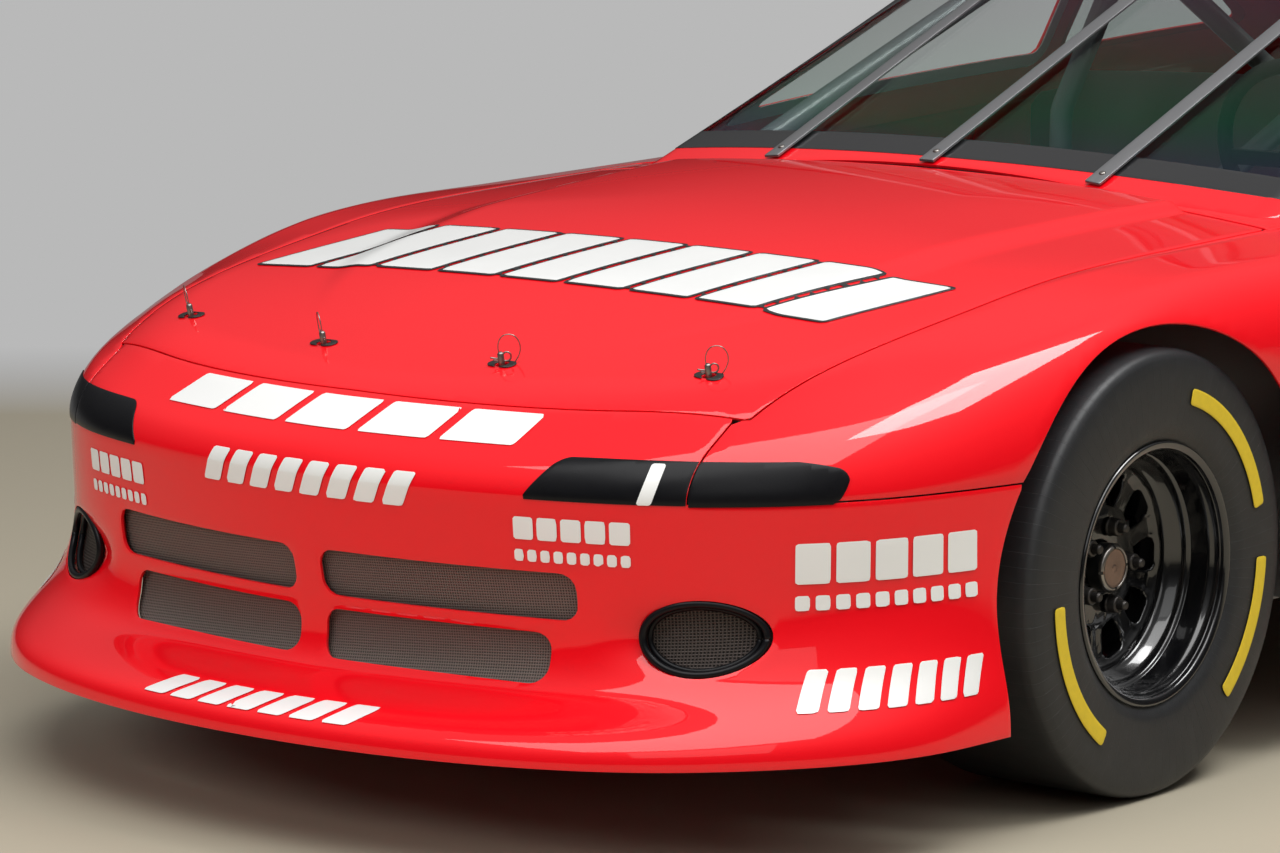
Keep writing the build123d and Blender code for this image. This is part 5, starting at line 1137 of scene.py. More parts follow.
@dataclass(frozen=True)
class Cuts:
    """Outlines of panels and openings, as distances that are below zero inside."""

    hood_front_radius: float = 1.386
    hood_front: float = -0.845
    hood_rear: float = 0.588
    hood_side: tuple[tuple[float, float], ...] = (
        (-0.70, 0.636),
        (-0.49, 0.668),
        (-0.20, 0.690),
        (0.13, 0.700),
        (0.62, 0.705),
    )
    arch_radius: float = 0.405
    arch_height: float = 0.33
    deck_floor: float = 0.755
    nose_split_x: float = 0.62
    grille_rows: tuple[tuple[float, ...], ...] = (
        (0.026, 0.463, 0.352, 0.424),
        (0.026, 0.420, 0.258, 0.332),
    )
    duct: tuple[float, float, float, float] = (0.6315, 0.337, 0.073, 0.046)
    cover: tuple[tuple[float, float], ...] = (
        (0.387, 0.530),
        (0.430, 0.593),
        (0.640, 0.598),
        (0.742, 0.594),
        (0.779, 0.578),
        (0.783, 0.548),
        (0.772, 0.530),
    )

    # station and height of the corners of the two side windows
    door_glass: tuple[tuple[float, float], ...] = (
        (0.955, 0.895),
        (2.005, 0.925),
        (2.005, 1.195),
        (1.672, 1.182),
    )
    quarter_glass: tuple[tuple[float, float], ...] = (
        (2.085, 0.930),
        (2.590, 0.965),
        (2.175, 1.185),
        (2.085, 1.192),
    )
    glass_corner: float = 0.02

    def hood(self, at: Array, grow: float = 0.0) -> Array:
        """Distance from the hood's edge in plan, grown by a gap.

        Args:
            at: Points, with their coordinates in the last axis.
            grow: Growth of the outline.

        Returns:
            The distance of each point, below zero inside.
        """
        x, ahead = np.abs(at[..., 0]), station(at[..., 1])
        front = np.hypot(x, ahead - self.hood_front - self.hood_front_radius) - self.hood_front_radius
        front = np.where(ahead < 0.3, front, -1)
        side = x - spline(self.hood_side, ahead)[0]
        return np.maximum(np.maximum(front, side), ahead - self.hood_rear) - grow

    def deck(self, at: Array, grow: float = 0.0) -> Array:
        """Distance from the deck lid's edge in plan, grown by a gap."""
        x, ahead = at[..., 0], station(at[..., 1]) - 3.406
        return box_distance(x, ahead, 0.69 + grow, 0.444 + grow, 0.06 + grow)

    def arch(self, at: Array, axle_y: float) -> Array:
        """Distance from a wheel arch in side view; its foot goes straight down."""
        y, z = at[..., 1] - axle_y, at[..., 2] - self.arch_height
        return np.where(z > 0, np.hypot(y, z), np.abs(y)) - self.arch_radius

    def grille(self, at: Array, grow: float = 0.0) -> Array:
        """Distance from the nearest of the grille openings in front view.

        Args:
            at: Points, with their coordinates in the last axis.
            grow: Growth of the outline.

        Returns:
            The distance of each point, below zero inside.
        """
        x, z = np.abs(at[..., 0]), at[..., 2]
        rows = []
        for x_from, x_to, z_from, z_to in self.grille_rows:
            half_x, half_z = (x_to - x_from) / 2 + grow, (z_to - z_from) / 2 + grow
            rows.append(
                box_distance(x - (x_from + x_to) / 2, z - (z_from + z_to) / 2, half_x, half_z, 0.026 + grow)
            )
        front = np.where(at[..., 1] < FRONT_AXLE_Y - 0.6, 0, 1)
        return np.minimum(rows[0], rows[1]) + front

    def duct_mouth(self, at: Array, grow: float = 0.0) -> Array:
        """Distance from the brake duct's oval mouth in front view.

        Formula: the point's distance from the middle, in parts of the ellipse's radius
        that way, less one and times the half height.

        Args:
            at: Points, with their coordinates in the last axis.
            grow: Growth of the outline.

        Returns:
            The distance of each point, below zero inside.
        """
        x, z = np.abs(at[..., 0]) - self.duct[0], at[..., 2] - self.duct[1]
        size = np.hypot(x / (self.duct[2] + grow), z / (self.duct[3] + grow))
        front = np.where(at[..., 1] < FRONT_AXLE_Y - 0.4, 0, 1)
        return (size - 1) * self.duct[3] + front

    def headlamp(self, at: Array, grow: float = 0.0) -> Array:
        """Distance from the headlamp cover's edge in front view.

        Args:
            at: Points, with their coordinates in the last axis.
            grow: Growth of the outline.

        Returns:
            The distance of each point, below zero inside.
        """
        x = np.abs(at[..., 0])
        front = np.where(at[..., 1] < FRONT_AXLE_Y - 0.4, 0, 1)
        return polygon_distance(x, at[..., 2], self.cover, 0.012) - grow + front

    def windscreen(self, at: Array, grow: float = 0.0) -> Array:
        """Distance from the windscreen opening in plan.

        Args:
            at: Points, with their coordinates in the last axis.
            grow: Growth of the outline.

        Returns:
            The distance of each point, below zero inside.
        """
        x, ahead = np.abs(at[..., 0]), station(at[..., 1])
        foot = 0.668 + 0.186 * x**2 - ahead
        head = ahead - 1.490 - 0.316 * x**2
        side = (x - 0.642 + (ahead - 0.735) * 0.150) * 0.99
        top = np.maximum(foot, head)
        corner = np.hypot(np.maximum(top + 0.03, 0), np.maximum(side + 0.03, 0)) - 0.03
        return np.maximum(np.maximum(top, side), corner) - grow

    def deck_top(self, at: Array, grow: float) -> Array:
        """Distance from the deck opening, only near the top of the body."""
        return np.maximum(self.deck(at, grow), self.deck_floor - at[..., 2])

    def windscreen_foot(self, at: Array) -> Array:
        """Distance behind the dark band along the windscreen's foot, in plan."""
        return station(at[..., 1]) - 0.712 - 0.186 * at[..., 0] ** 2

    def tail_rise(self, at: Array) -> Array:
        """Height by which a point lies below the rising foot of the tail."""
        return 0.165 + 0.075 * np.clip((station(at[..., 1]) - 3.199) / 0.711, 0, 1) - at[..., 2]

    def rear_window(self, at: Array, grow: float = 0.0) -> Array:
        """Distance from the rear window opening in plan.

        Args:
            at: Points, with their coordinates in the last axis.
            grow: Growth of the outline.

        Returns:
            The distance of each point, below zero inside.
        """
        x, ahead = np.abs(at[..., 0]), station(at[..., 1])
        head = 2.315 - 0.217 * x**2 - ahead
        foot = ahead - 2.830 + 0.301 * x**2
        side = (x - 0.480 - (ahead - 2.265) * 0.174) * 0.985
        top = np.maximum(foot, head)
        corner = np.hypot(np.maximum(top + 0.04, 0), np.maximum(side + 0.04, 0)) - 0.04
        return np.maximum(np.maximum(top, side), corner) - grow

    def side_windows(self, at: Array, grow: float = 0.0) -> Array:
        """Distance from the nearer of the two side window openings in side view.

        Args:
            at: Points, with their coordinates in the last axis.
            grow: Growth of the outline.

        Returns:
            The distance of each point, below zero inside.
        """
        ahead, z = station(at[..., 1]), at[..., 2]
        door = polygon_distance(ahead, z, self.door_glass, self.glass_corner)
        quarter = polygon_distance(ahead, z, self.quarter_glass, self.glass_corner)
        beside = np.where(np.abs(at[..., 0]) > 0.5, 0, 1)
        return np.minimum(door, quarter) - grow + beside

    def quarter_window(self, at: Array, grow: float = 0.0) -> Array:
        """Distance from the quarter window opening in side view.

        Args:
            at: Points, with their coordinates in the last axis.
            grow: Growth of the outline.

        Returns:
            The distance of each point, below zero inside.
        """
        ahead, z = station(at[..., 1]), at[..., 2]
        beside = np.where(np.abs(at[..., 0]) > 0.5, 0, 1)
        return polygon_distance(ahead, z, self.quarter_glass, self.glass_corner) - grow + beside


CUTS = Cuts()


def hood_bulge(x: Array, y: Array) -> Array:
    """Rise of the hood's centre panel.

    Formula: a plateau whose crease runs outwards to the rear, joined to the skin by a
    smooth step between the crease and a foot line.

    Args:
        x: X of the points.
        y: Y of the points.

    Returns:
        The rise of each point.
    """
    ahead = station(y)
    crease, foot, rise = spline(
        (
            (-0.62, 0.270, 0.300, 0.000),
            (-0.50, 0.345, 0.385, 0.002),
            (-0.38, 0.400, 0.458, 0.006),
            (-0.20, 0.435, 0.505, 0.010),
            (0.0, 0.452, 0.530, 0.012),
            (0.32, 0.488, 0.535, 0.013),
            (0.60, 0.520, 0.550, 0.014),
        ),
        ahead,
    )
    share = np.clip((foot - np.abs(x)) / (foot - crease), 0, 1)
    return rise * share**2 * (3 - 2 * share)


def outside_all(*parts: Array) -> Array:
    """Distance from the overlap of several outlines."""
    return np.maximum.reduce(parts)


class Side(Enum):
    """Side of the car, with the sign of its X."""

    LEFT = 1
    RIGHT = -1

    def of(self, shape: Shape) -> Shape:
        """A shape modelled on the left, put on this side."""
        return shape if self is Side.LEFT else shape.mirrored()

    def named(self, rest: str) -> str:
        """Name that starts with the side."""
        return f"{self.name.lower()}_{rest}"


def slab(surface: Field, u: Array, v: Array, outside: Field, lift: float) -> Shape:
    """Trimmed part of a surface, lifted off it along its normals."""
    return trimmed(raised(surface, lift), u, v, outside)


@dataclass(frozen=True)
class Bodywork:
    """Painted panels of the body, cut out of one smooth form."""

    cell: float = 0.021
    rows_low: int = 24
    rows_high: int = 26
    dent: tuple[float, float] = (0.475, 0.575)
    dent_past: float = 0.655
    dent_depth: float = 0.016
    door: tuple[float, float] = (0.730, 2.040)
    tail_split: float = 3.560
    cowl: tuple[float, float] = (0.598, 0.700)
    cowl_half: float = 0.712
    cabin_front: float = 0.621
    deck_half: float = 0.64
    deck_front: float = 2.50

    def flank(self, t_from: float, t_to: float, outside: Field) -> Shape:
        """Part of the side of the body between two running lengths.

        Args:
            t_from: Running length where the part starts.
            t_to: Running length where it ends.
            outside: Distance from the wanted outline, below zero inside it.

        Returns:
            The trimmed mesh.
        """
        low = np.linspace(0, 1, self.rows_low)
        high = 1 + np.linspace(0, 1, self.rows_high)[1:] ** 0.9
        return trimmed(BODY.flank, steps(t_from, t_to, self.cell), np.append(low, high), outside)

    def clear_of_cabin(self, at: Array, grow: float = 0.004) -> Array:
        """Depth of a point within the cabin, above its floor line, so above zero inside it."""
        inside = (grow - CABIN.over(at[..., 0], station(at[..., 1]), at[..., 2])) * 0.5
        return np.minimum(inside, at[..., 2] - 0.68)

    def nose(self) -> Shape:
        """Nose: the whole front below the seam, and its middle above.

        Returns:
            The trimmed mesh.
        """

        def outside(at: Array) -> Array:
            """Distance from the nose."""
            x, ahead, z = np.abs(at[..., 0]), station(at[..., 1]), at[..., 2]
            gap = PANEL_GAP / 2
            band = np.minimum(z - SEAM_HEIGHT, x - CUTS.nose_split_x) + gap
            edge = outside_all(
                band, -CUTS.arch(at, FRONT_AXLE_Y), ahead, -CUTS.hood(at, gap), -CUTS.grille(at)
            )
            return np.maximum(edge, -CUTS.duct_mouth(at, 0.010))

        reach = BODY.at_station(0.0)
        low = np.linspace(0, 1, self.rows_low * 2)
        high = 1 + np.linspace(0, 1, self.rows_high)[1:] ** 0.9
        surface = raised(BODY.flank, self.duct_dent)
        return trimmed(surface, steps(-reach, reach, self.cell / 2), np.append(low, high), outside)

    def duct_dent(self, at: Array) -> Array:
        """Depth of the hollow that leads to each brake duct, as a rise along the normal.

        Formula: a smooth step from the hollow's inner end to its full depth, times a fade
        past the mouth and a bell over the height.

        Args:
            at: Points, with their coordinates in the last axis.

        Returns:
            The rise at each point, below zero in the hollow.
        """
        x, z = np.abs(at[..., 0]), at[..., 2]
        start, end = self.dent
        share = np.clip((x - start) / (end - start), 0, 1)
        fade = np.clip((self.dent_past - x) / 0.05, 0, 1)
        bell = np.exp(-(((z - CUTS.duct[1] + 0.004) / 0.036) ** 2))
        return -self.dent_depth * share**2 * (3 - 2 * share) * fade * bell

    def fender(self) -> Shape:
        """Left fender, over and behind the front wheel.

        Returns:
            The trimmed mesh.
        """

        def outside(at: Array) -> Array:
            """Distance from the fender."""
            x, ahead, z = np.abs(at[..., 0]), station(at[..., 1]), at[..., 2]
            gap = PANEL_GAP / 2
            low = np.minimum(SEAM_HEIGHT + gap - z, -ahead)
            inner = np.where(ahead < 0, CUTS.nose_split_x + gap - x, -1)
            edge = outside_all(low, inner, ahead - self.door[0] + gap, -CUTS.arch(at, FRONT_AXLE_Y))
            edge = outside_all(edge, -CUTS.hood(at, gap), self.clear_of_cabin(at))
            cowl = outside_all(self.cowl[0] - ahead, x - self.cowl_half - gap)
            return np.maximum(edge, -cowl)

        return self.flank(0.5, BODY.at_station(self.door[0]) + 0.03, outside)

    def door_panel(self) -> Shape:
        """Left door panel, from the sill to the cabin.

        Returns:
            The trimmed mesh.
        """

        def outside(at: Array) -> Array:
            """Distance from the door panel."""
            ahead, gap = station(at[..., 1]), PANEL_GAP / 2
            return outside_all(
                self.door[0] + gap - ahead, ahead - self.door[1] + gap, self.clear_of_cabin(at)
            )

        ends = [BODY.at_station(at) for at in self.door]
        return self.flank(ends[0] - 0.03, ends[1] + 0.03, outside)

    def quarter(self) -> Shape:
        """Left quarter panel, over the rear wheel.

        Returns:
            The trimmed mesh.
        """

        def outside(at: Array) -> Array:
            """Distance from the quarter panel."""
            x, ahead, gap = np.abs(at[..., 0]), station(at[..., 1]), PANEL_GAP / 2
            edge = outside_all(
                self.door[1] + gap - ahead, ahead - self.tail_split + gap, self.clear_of_cabin(at)
            )
            edge = outside_all(edge, -CUTS.arch(at, REAR_AXLE_Y), -CUTS.deck_top(at, gap), CUTS.tail_rise(at))
            return np.maximum(edge, self.deck_half + gap - x)

        return self.flank(
            BODY.at_station(self.door[1]) - 0.03, BODY.at_station(self.tail_split) + 0.05, outside
        )

    def tail(self) -> Shape:
        """Tail panel across the back.

        Returns:
            The trimmed mesh.
        """

        def outside(at: Array) -> Array:
            """Distance from the tail panel."""
            gap = PANEL_GAP / 2
            return outside_all(
                self.tail_split + gap - station(at[..., 1]), -CUTS.deck_top(at, gap), CUTS.tail_rise(at)
            )

        start = BODY.at_station(self.tail_split) - 0.03
        return self.flank(start, 2 * BODY.outline.length() - start, outside)

    def hood_surface(self, x: Array, y: Array) -> Array:
        """Point of the hood's outer face."""
        return points(x, y, BODY.height(x, y) + hood_bulge(x, y))

    def pin_holes(self, at: Array) -> Array:
        """Distance from the nearest hood pin's hole in plan.

        Args:
            at: Points, with their coordinates in the last axis.

        Returns:
            The distance of each point, below zero inside.
        """
        holes = [
            np.hypot(at[..., 0] - sign * pin_x, station(at[..., 1]) - ahead) - HOOD_PINS.hole
            for pin_x, ahead in HOOD_PINS.places
            for sign in (1, -1)
        ]
        return np.minimum.reduce(holes)

    def hood(self) -> Shape:
        """Hood with its raised centre and the holes for its pins.

        Returns:
            The trimmed mesh.
        """

        def outside(at: Array) -> Array:
            """Distance from the hood."""
            return np.maximum(CUTS.hood(at, -PANEL_GAP / 2), -self.pin_holes(at))

        x, y = steps(-0.72, 0.72, 0.011), FRONT_AXLE_Y + steps(-0.88, 0.60, 0.011)
        return trimmed(self.hood_surface, x, y, outside)

    def cowl_panel(self) -> Shape:
        """Cowl between the hood and the windscreen.

        Returns:
            The trimmed mesh.
        """

        def outside(at: Array) -> Array:
            """Distance from the cowl."""
            x, ahead = np.abs(at[..., 0]), station(at[..., 1])
            gap = PANEL_GAP / 2
            band = outside_all(self.cowl[0] - ahead, ahead - self.cowl[1], x - self.cowl_half + gap)
            return np.maximum(band, self.clear_of_cabin(at))

        y = FRONT_AXLE_Y + steps(self.cowl[0] - 0.01, self.cowl[1] + 0.02, 0.01)
        return trimmed(BODY.top, steps(-0.73, 0.73, 0.02), y, outside)

    def deck_panel(self) -> Shape:
        """Panel between the rear window and the deck lid.

        Returns:
            The trimmed mesh.
        """

        def outside(at: Array) -> Array:
            """Distance from the deck panel."""
            x, ahead = np.abs(at[..., 0]), station(at[..., 1])
            gap = PANEL_GAP / 2
            edge = outside_all(x - self.deck_half + gap, ahead - self.tail_split, -CUTS.deck(at, gap))
            return np.maximum(edge, self.clear_of_cabin(at))

        y = FRONT_AXLE_Y + steps(self.deck_front, 3.02, 0.015)
        return trimmed(BODY.top, steps(-0.66, 0.66, 0.02), y, outside)

    def deck_lid(self) -> Shape:
        """Deck lid.

        Returns:
            The trimmed mesh.
        """

        def outside(at: Array) -> Array:
            """Distance from the deck lid."""
            return CUTS.deck(at, -PANEL_GAP / 2)

        return trimmed(BODY.top, steps(-0.70, 0.70, 0.02), FRONT_AXLE_Y + steps(2.95, 3.86, 0.02), outside)

    def cabin(self) -> Shape:
        """Skin of the cabin with its window openings.

        Returns:
            The trimmed mesh.
        """

        def outside(at: Array) -> Array:
            """Distance from the cabin's skin."""
            windows = np.minimum(CUTS.windscreen(at), CUTS.rear_window(at))
            edge = np.maximum(-windows, -CUTS.side_windows(at))
            body = BODY.height(at[..., 0], at[..., 1]) - at[..., 2]
            return outside_all(edge, (body - 0.002) * 0.7, self.cabin_front - station(at[..., 1]))

        x, y = steps(-0.86, 0.86, 0.0135), FRONT_AXLE_Y + steps(0.42, 3.34, 0.0135)
        return trimmed(CABIN.skin, x, y, outside)

    def build(self) -> None:
        """Make every painted panel."""
        common = {"slot": "red_paint", "skin": SKIN, "edge": 0.0012}
        piece("nose_panel", self.nose(), PAINT, replaces=("nose",), **common)
        for side in Side:
            for made, node in (
                (self.fender(), "fender"), (self.door_panel(), "door"), (self.quarter(), "quarter")
            ):
                name = side.named(node)
                piece(f"{name}_panel", side.of(made), PAINT, replaces=(name,), **common)
        piece("tail_panel", self.tail(), PAINT, replaces=("tail",), **common)
        piece("hood_skin", self.hood(), PAINT, body="hood", replaces=("hood",), **common)
        piece("cowl_skin", self.cowl_panel(), PAINT, replaces=("cowl_panel",), **common)
        piece("deck_skin", self.deck_panel(), PAINT, replaces=("deck_panel",), **common)
        piece("deck_lid_skin", self.deck_lid(), PAINT, body="deck_lid", replaces=("deck_lid",), **common)
        piece("cabin_skin", self.cabin(), PAINT, replaces=("roof",), **common)


@dataclass(frozen=True)
class HoodPins:
    """Four pins that hold the hood, each with a scuff plate, a clip and a wire."""

    places: tuple[tuple[float, float], ...] = ((0.526, -0.642), (0.181, -0.707))
    hole: float = 0.010
    radius: float = 0.005
    rise: float = 0.020
    plate: tuple[float, float] = (0.024, 0.013)
    across: tuple[float, float, float] = (0.78, 0.63, 0.0)
    # way across the pin and height of the spring wire's points, then of the clip's
    wire: tuple[tuple[float, float], ...] = (
        (0.000, 0.010),
        (-0.002, 0.030),
        (0.008, 0.046),
        (0.022, 0.047),
        (0.031, 0.034),
        (0.028, 0.016),
        (0.020, 0.004),
    )
    clip: tuple[tuple[float, float], ...] = (
        (-0.016, 0.011),
        (0.000, 0.012),
        (0.008, 0.020),
        (0.015, 0.017),
        (0.013, 0.008),
        (0.004, 0.006),
        (-0.012, 0.007),
    )

    def tilt(self, x: float, y: float) -> tuple[Array, Array]:
        """Point on the hood and its normal.

        Args:
            x: X of the point.
            y: Y of the point.

        Returns:
            The point and the unit normal there.
        """
        at = Bodywork().hood_surface
        spot = at(np.array([x]), np.array([y]))[0]
        normal = smooth_normals(at, np.array([x]), np.array([y]))[0]
        return spot, normal

    def plate_shape(self, x: float, y: float) -> Shape:
        """Thin oblong plate round the hole, resting on the hood.

        Args:
            x: X of the hole.
            y: Y of the hole.

        Returns:
            The trimmed mesh.
        """

        def outside(at: Array) -> Array:
            """Distance from the plate, less the hole in it."""
            oblong = box_distance(at[..., 0] - x, at[..., 1] - y, *self.plate, 0.012)
            hole = np.hypot(at[..., 0] - x, at[..., 1] - y) - self.hole * 1.15
            return np.maximum(oblong, -hole)

        half_x, half_y = self.plate[0] + 0.006, self.plate[1] + 0.006
        rows = steps(x - half_x, x + half_x, 0.0025), steps(y - half_y, y + half_y, 0.0025)
        return slab(Bodywork().hood_surface, *rows, outside, 0.0022)

    def bent(self, spot: Array, normal: Array, knots: Sequence[tuple[float, float]], radius: float) -> Shape:
        """Wire bent in the plane of the hood's normal and the way across.

        Args:
            spot: Point on the hood.
            normal: Normal of the hood there.
            knots: Way across and height of the wire's points.
            radius: Radius of the wire.

        Returns:
            The wire's mesh.
        """
        across = np.array(self.across)
        path = smooth_path([spot + across * a + normal * up for a, up in knots], 36)
        return swept(path, radius, 8)

    def build(self) -> None:
        """Make the plates, pins, clips and wires."""
        plates, pins, wires = [], [], []
        for pin_x, ahead in self.places:
            y = FRONT_AXLE_Y + ahead
            spot, normal = self.tilt(pin_x, y)
            plates.append(self.plate_shape(pin_x, y))
            top = spot + normal * self.rise
            stem = np.array([spot - normal * 0.06, spot, spot + normal * (self.rise - 0.003), top])
            pins.append(swept(stem, np.array([1, 1, 1, 0.6]) * self.radius, 14))
            wires.append(self.bent(spot, normal, self.wire, 0.0009))
            pins.append(self.bent(spot, normal, self.clip, 0.0013))
        for shapes, name, finish, body in (
            (plates, "hood_pin_plates", DARK_STEEL, "hood"),
            (pins, "hood_pin_stems", STEEL, "root"),
            (wires, "hood_pin_wires", STEEL, "root"),
        ):
            whole = shapes[0].joined(*shapes[1:])
            whole = whole.joined(whole.mirrored())
            replaces = ("hood_pins",) if name == "hood_pin_stems" else ()
            skin = 0.0015 if name == "hood_pin_plates" else 0
            piece(name, whole, finish, body=body, slot="bare_steel", replaces=replaces, skin=skin)


HOOD_PINS = HoodPins()


def flank_at(x: Array, z: Array) -> tuple[Array, Array]:
    """Parameters of the flank where it passes a point of the front view.

    Formula: Newton's method in the two parameters, with slopes by differences.

    Args:
        x: X of the points.
        z: Height of the points.

    Returns:
        Running length and height parameter.
    """
    x, z = np.broadcast_arrays(np.asarray(x, float), np.asarray(z, float))
    t, w = x * 1.02, np.where(z > SEAM_HEIGHT, 1.1, np.clip((z - 0.165) / 0.37, 0.2, 0.95))
    step = 1e-4
    for _ in range(25):
        at = BODY.flank(t, w)
        along_t, along_w = (BODY.flank(t + step, w) - at) / step, (BODY.flank(t, w + step) - at) / step
        miss_x, miss_z = x - at[..., 0], z - at[..., 2]
        det = along_t[..., 0] * along_w[..., 2] - along_t[..., 2] * along_w[..., 0]
        det = np.where(np.abs(det) < 1e-6, 1e-6, det)
        dt = (miss_x * along_w[..., 2] - miss_z * along_w[..., 0]) / det
        dw = (along_t[..., 0] * miss_z - along_t[..., 2] * miss_x) / det
        t, w = t + np.clip(dt, -0.05, 0.05), np.clip(w + np.clip(dw, -0.1, 0.1), 0.02, 1.9)
    return t, w


@dataclass(frozen=True)
class FrontEnd:
    """Screens, brake ducts and headlamp covers of the nose."""

    screen_depth: float = 0.013
    duct_depth: float = 0.022
    duct_rim: float = 0.006
    cover_lift: float = 0.0015
    cell: float = 0.005

    def patch(self, lift: float, outside: Field, x: tuple[float, float], z: tuple[float, float]) -> Shape:
        """Piece of the flank within a box of the front view, lifted off it.

        Args:
            lift: Distance along the normals.
            outside: Distance from the wanted outline.
            x: Limits of X.
            z: Limits of the height.

        Returns:
            The trimmed mesh.
        """
        t, w = flank_at(np.array([x[0], x[0], x[1], x[1]]), np.array([z[0], z[1], z[0], z[1]]))
        margin = 0.03
        rows = steps(
            w.min() - margin, w.max() + margin, (w.max() - w.min()) / max(6, (z[1] - z[0]) / self.cell)
        )
        return slab(BODY.flank, steps(t.min() - margin, t.max() + margin, self.cell), rows, outside, lift)

    def screens(self) -> Shape:
        """Four cloth screens behind the grille openings.

        Returns:
            The four screens as one mesh.
        """
        made = []
        for x_from, x_to, z_from, z_to in CUTS.grille_rows:
            half_x, half_z = (x_to - x_from) / 2 + 0.007, (z_to - z_from) / 2 + 0.007

            def outside(at: Array) -> Array:
                """Distance from one screen."""
                return box_distance(
                    at[..., 0] - (x_from + x_to) / 2, at[..., 2] - (z_from + z_to) / 2, half_x, half_z, 0.03
                )

            made.append(self.patch(-self.screen_depth, outside, (x_from, x_to), (z_from, z_to)))
        return made[0].joined(made[1], made[0].mirrored(), made[1].mirrored())

    def duct_ring(self, grow: float, lift: float, radius: float) -> Shape:
        """Round bead along the brake duct's oval mouth.

        Args:
            grow: Growth of the mouth's oval.
            lift: Distance off the flank along its normals.
            radius: Radius of the bead.

        Returns:
            The bead's mesh.
        """
        x0, z0, half_x, half_z = CUTS.duct
        angle = np.linspace(0, 2 * np.pi, 73)
        t, w = flank_at(x0 + (half_x + grow) * np.cos(angle), z0 + (half_z + grow) * np.sin(angle))
        return swept(raised(BODY.flank, lift)(t, w), radius, 12)

    def duct_cloth(self) -> Shape:
        """Screen inside a brake duct.

        Returns:
            The trimmed mesh.
        """
        x0, z0, half_x, half_z = CUTS.duct
        limits = (x0 - half_x, x0 + half_x), (z0 - half_z, z0 + half_z)
        return self.patch(-self.duct_depth, lambda at: CUTS.duct_mouth(at, 0.004), *limits)

    def cover(self, inner: bool) -> Shape:
        """Inner or outer part of a headlamp cover.

        Args:
            inner: Whether it is the part on the nose, and not the one on the fender.

        Returns:
            The trimmed mesh.
        """

        def outside(at: Array) -> Array:
            """Distance from this part of the cover."""
            split = np.abs(at[..., 0]) - CUTS.nose_split_x
            return np.maximum(CUTS.headlamp(at), (split if inner else -split) + PANEL_GAP / 2)

        limits = (0.38, 0.64) if inner else (0.60, 0.81)
        return self.patch(self.cover_lift, outside, limits, (0.540, 0.604))

    def build(self) -> None:
        """Make the screens, ducts and covers."""
        piece(
            "grille_cloths", self.screens(), GRILLE_CLOTH, slot="mesh_grey", replaces=("grille_screens",),
            skin=0.002
        )
        cloth = self.duct_cloth()
        piece("duct_cloths", cloth.joined(cloth.mirrored()), DUCT_CLOTH, slot="mesh_grey", skin=0.002)
        ring = self.duct_ring(0.004, -0.005, self.duct_rim)
        inner = self.duct_ring(-0.003, -0.016, self.duct_rim * 0.8)
        rings = ring.joined(inner)
        piece("duct_rims", rings.joined(rings.mirrored()), COVER, slot="cover_black")
        parts = [self.cover(True), self.cover(False)]
        covers = parts[0].joined(parts[1], parts[0].mirrored(), parts[1].mirrored())
        piece(
            "headlamp_shells", covers, COVER, slot="cover_black", replaces=("headlamp_covers",), skin=0.004,
            edge=0.001
        )


@dataclass(frozen=True)
class Glass:
    """Clear sheets in the window openings and the strips that hold them."""

    thickness: float = 0.004
    inset: float = 0.0035
    lap: float = 0.014
    cell: float = 0.018

    def pane(self, outline: Field, x: tuple[float, float], ahead: tuple[float, float]) -> Shape:
        """Sheet on the cabin's skin, a little inside it.

        Args:
            outline: Distance from the window opening, with the growth as its second value.
            x: Limits of X.
            ahead: Limits of the station.

        Returns:
            The pane's mesh.
        """
        y = FRONT_AXLE_Y + steps(*ahead, self.cell)
        return slab(CABIN.skin, steps(*x, self.cell), y, lambda at: outline(at, self.lap), -self.inset)

    def trim(
        self,
        outline: Field,
        grow: float,
        width: float,
        x: tuple[float, float],
        ahead: tuple[float, float],
        lift: float = 0.0008,
        foot: Field | None = None,
    ) -> Shape:
        """Band on the cabin's skin along a window opening.

        Args:
            outline: Distance from the window opening, with the growth as its second value.
            grow: Reach of the band outside the opening.
            width: Width of the band.
            x: Limits of X.
            ahead: Limits of the station.
            lift: Distance off the skin.
            foot: Distance from a wider part of the band, if it has one.

        Returns:
            The band's mesh.
        """
        y = FRONT_AXLE_Y + steps(*ahead, 0.008)

        def outside(at: Array) -> Array:
            """Distance from the band."""
            edge = outline(at, grow)
            inner = -(edge + width)
            return np.maximum(edge, np.minimum(inner, foot(at)) if foot else inner)

        return slab(CABIN.skin, steps(*x, 0.008), y, outside, lift)

    def build(self) -> None:
        """Make the windscreen, the rear window, the quarter windows and their bands."""
        screen = self.pane(CUTS.windscreen, (-0.68, 0.68), (0.60, 1.66))
        glazing = {"slot": "clear_glazing", "skin": self.thickness}
        piece("windscreen_pane", screen, GLAZING, replaces=("windshield",), **glazing)
        rear = self.pane(CUTS.rear_window, (-0.66, 0.66), (2.20, 2.90))
        side = self.pane(CUTS.quarter_window, (0.50, 0.84), (2.04, 2.64))
        panes = rear.joined(side, side.mirrored())
        piece("rear_panes", panes, GLAZING, replaces=("rear_windows",), **glazing)
        front = self.trim(
            CUTS.windscreen, 0.020, 0.032, (-0.70, 0.70), (0.58, 1.70), foot=CUTS.windscreen_foot
        )
        back = self.trim(CUTS.rear_window, 0.016, 0.028, (-0.70, 0.70), (2.18, 2.92))
        piece("window_bands", front.joined(back), DARK_FILM, slot="rubber_black", skin=0.0012)
        strip = self.trim(CUTS.side_windows, 0.026, 0.026, (0.50, 0.86), (0.90, 2.06), lift=-SKIN - 0.001)
        piece(
            "window_strips", strip.joined(strip.mirrored()), STRIP_WHITE, slot="sheet_aluminium", skin=0.002
        )


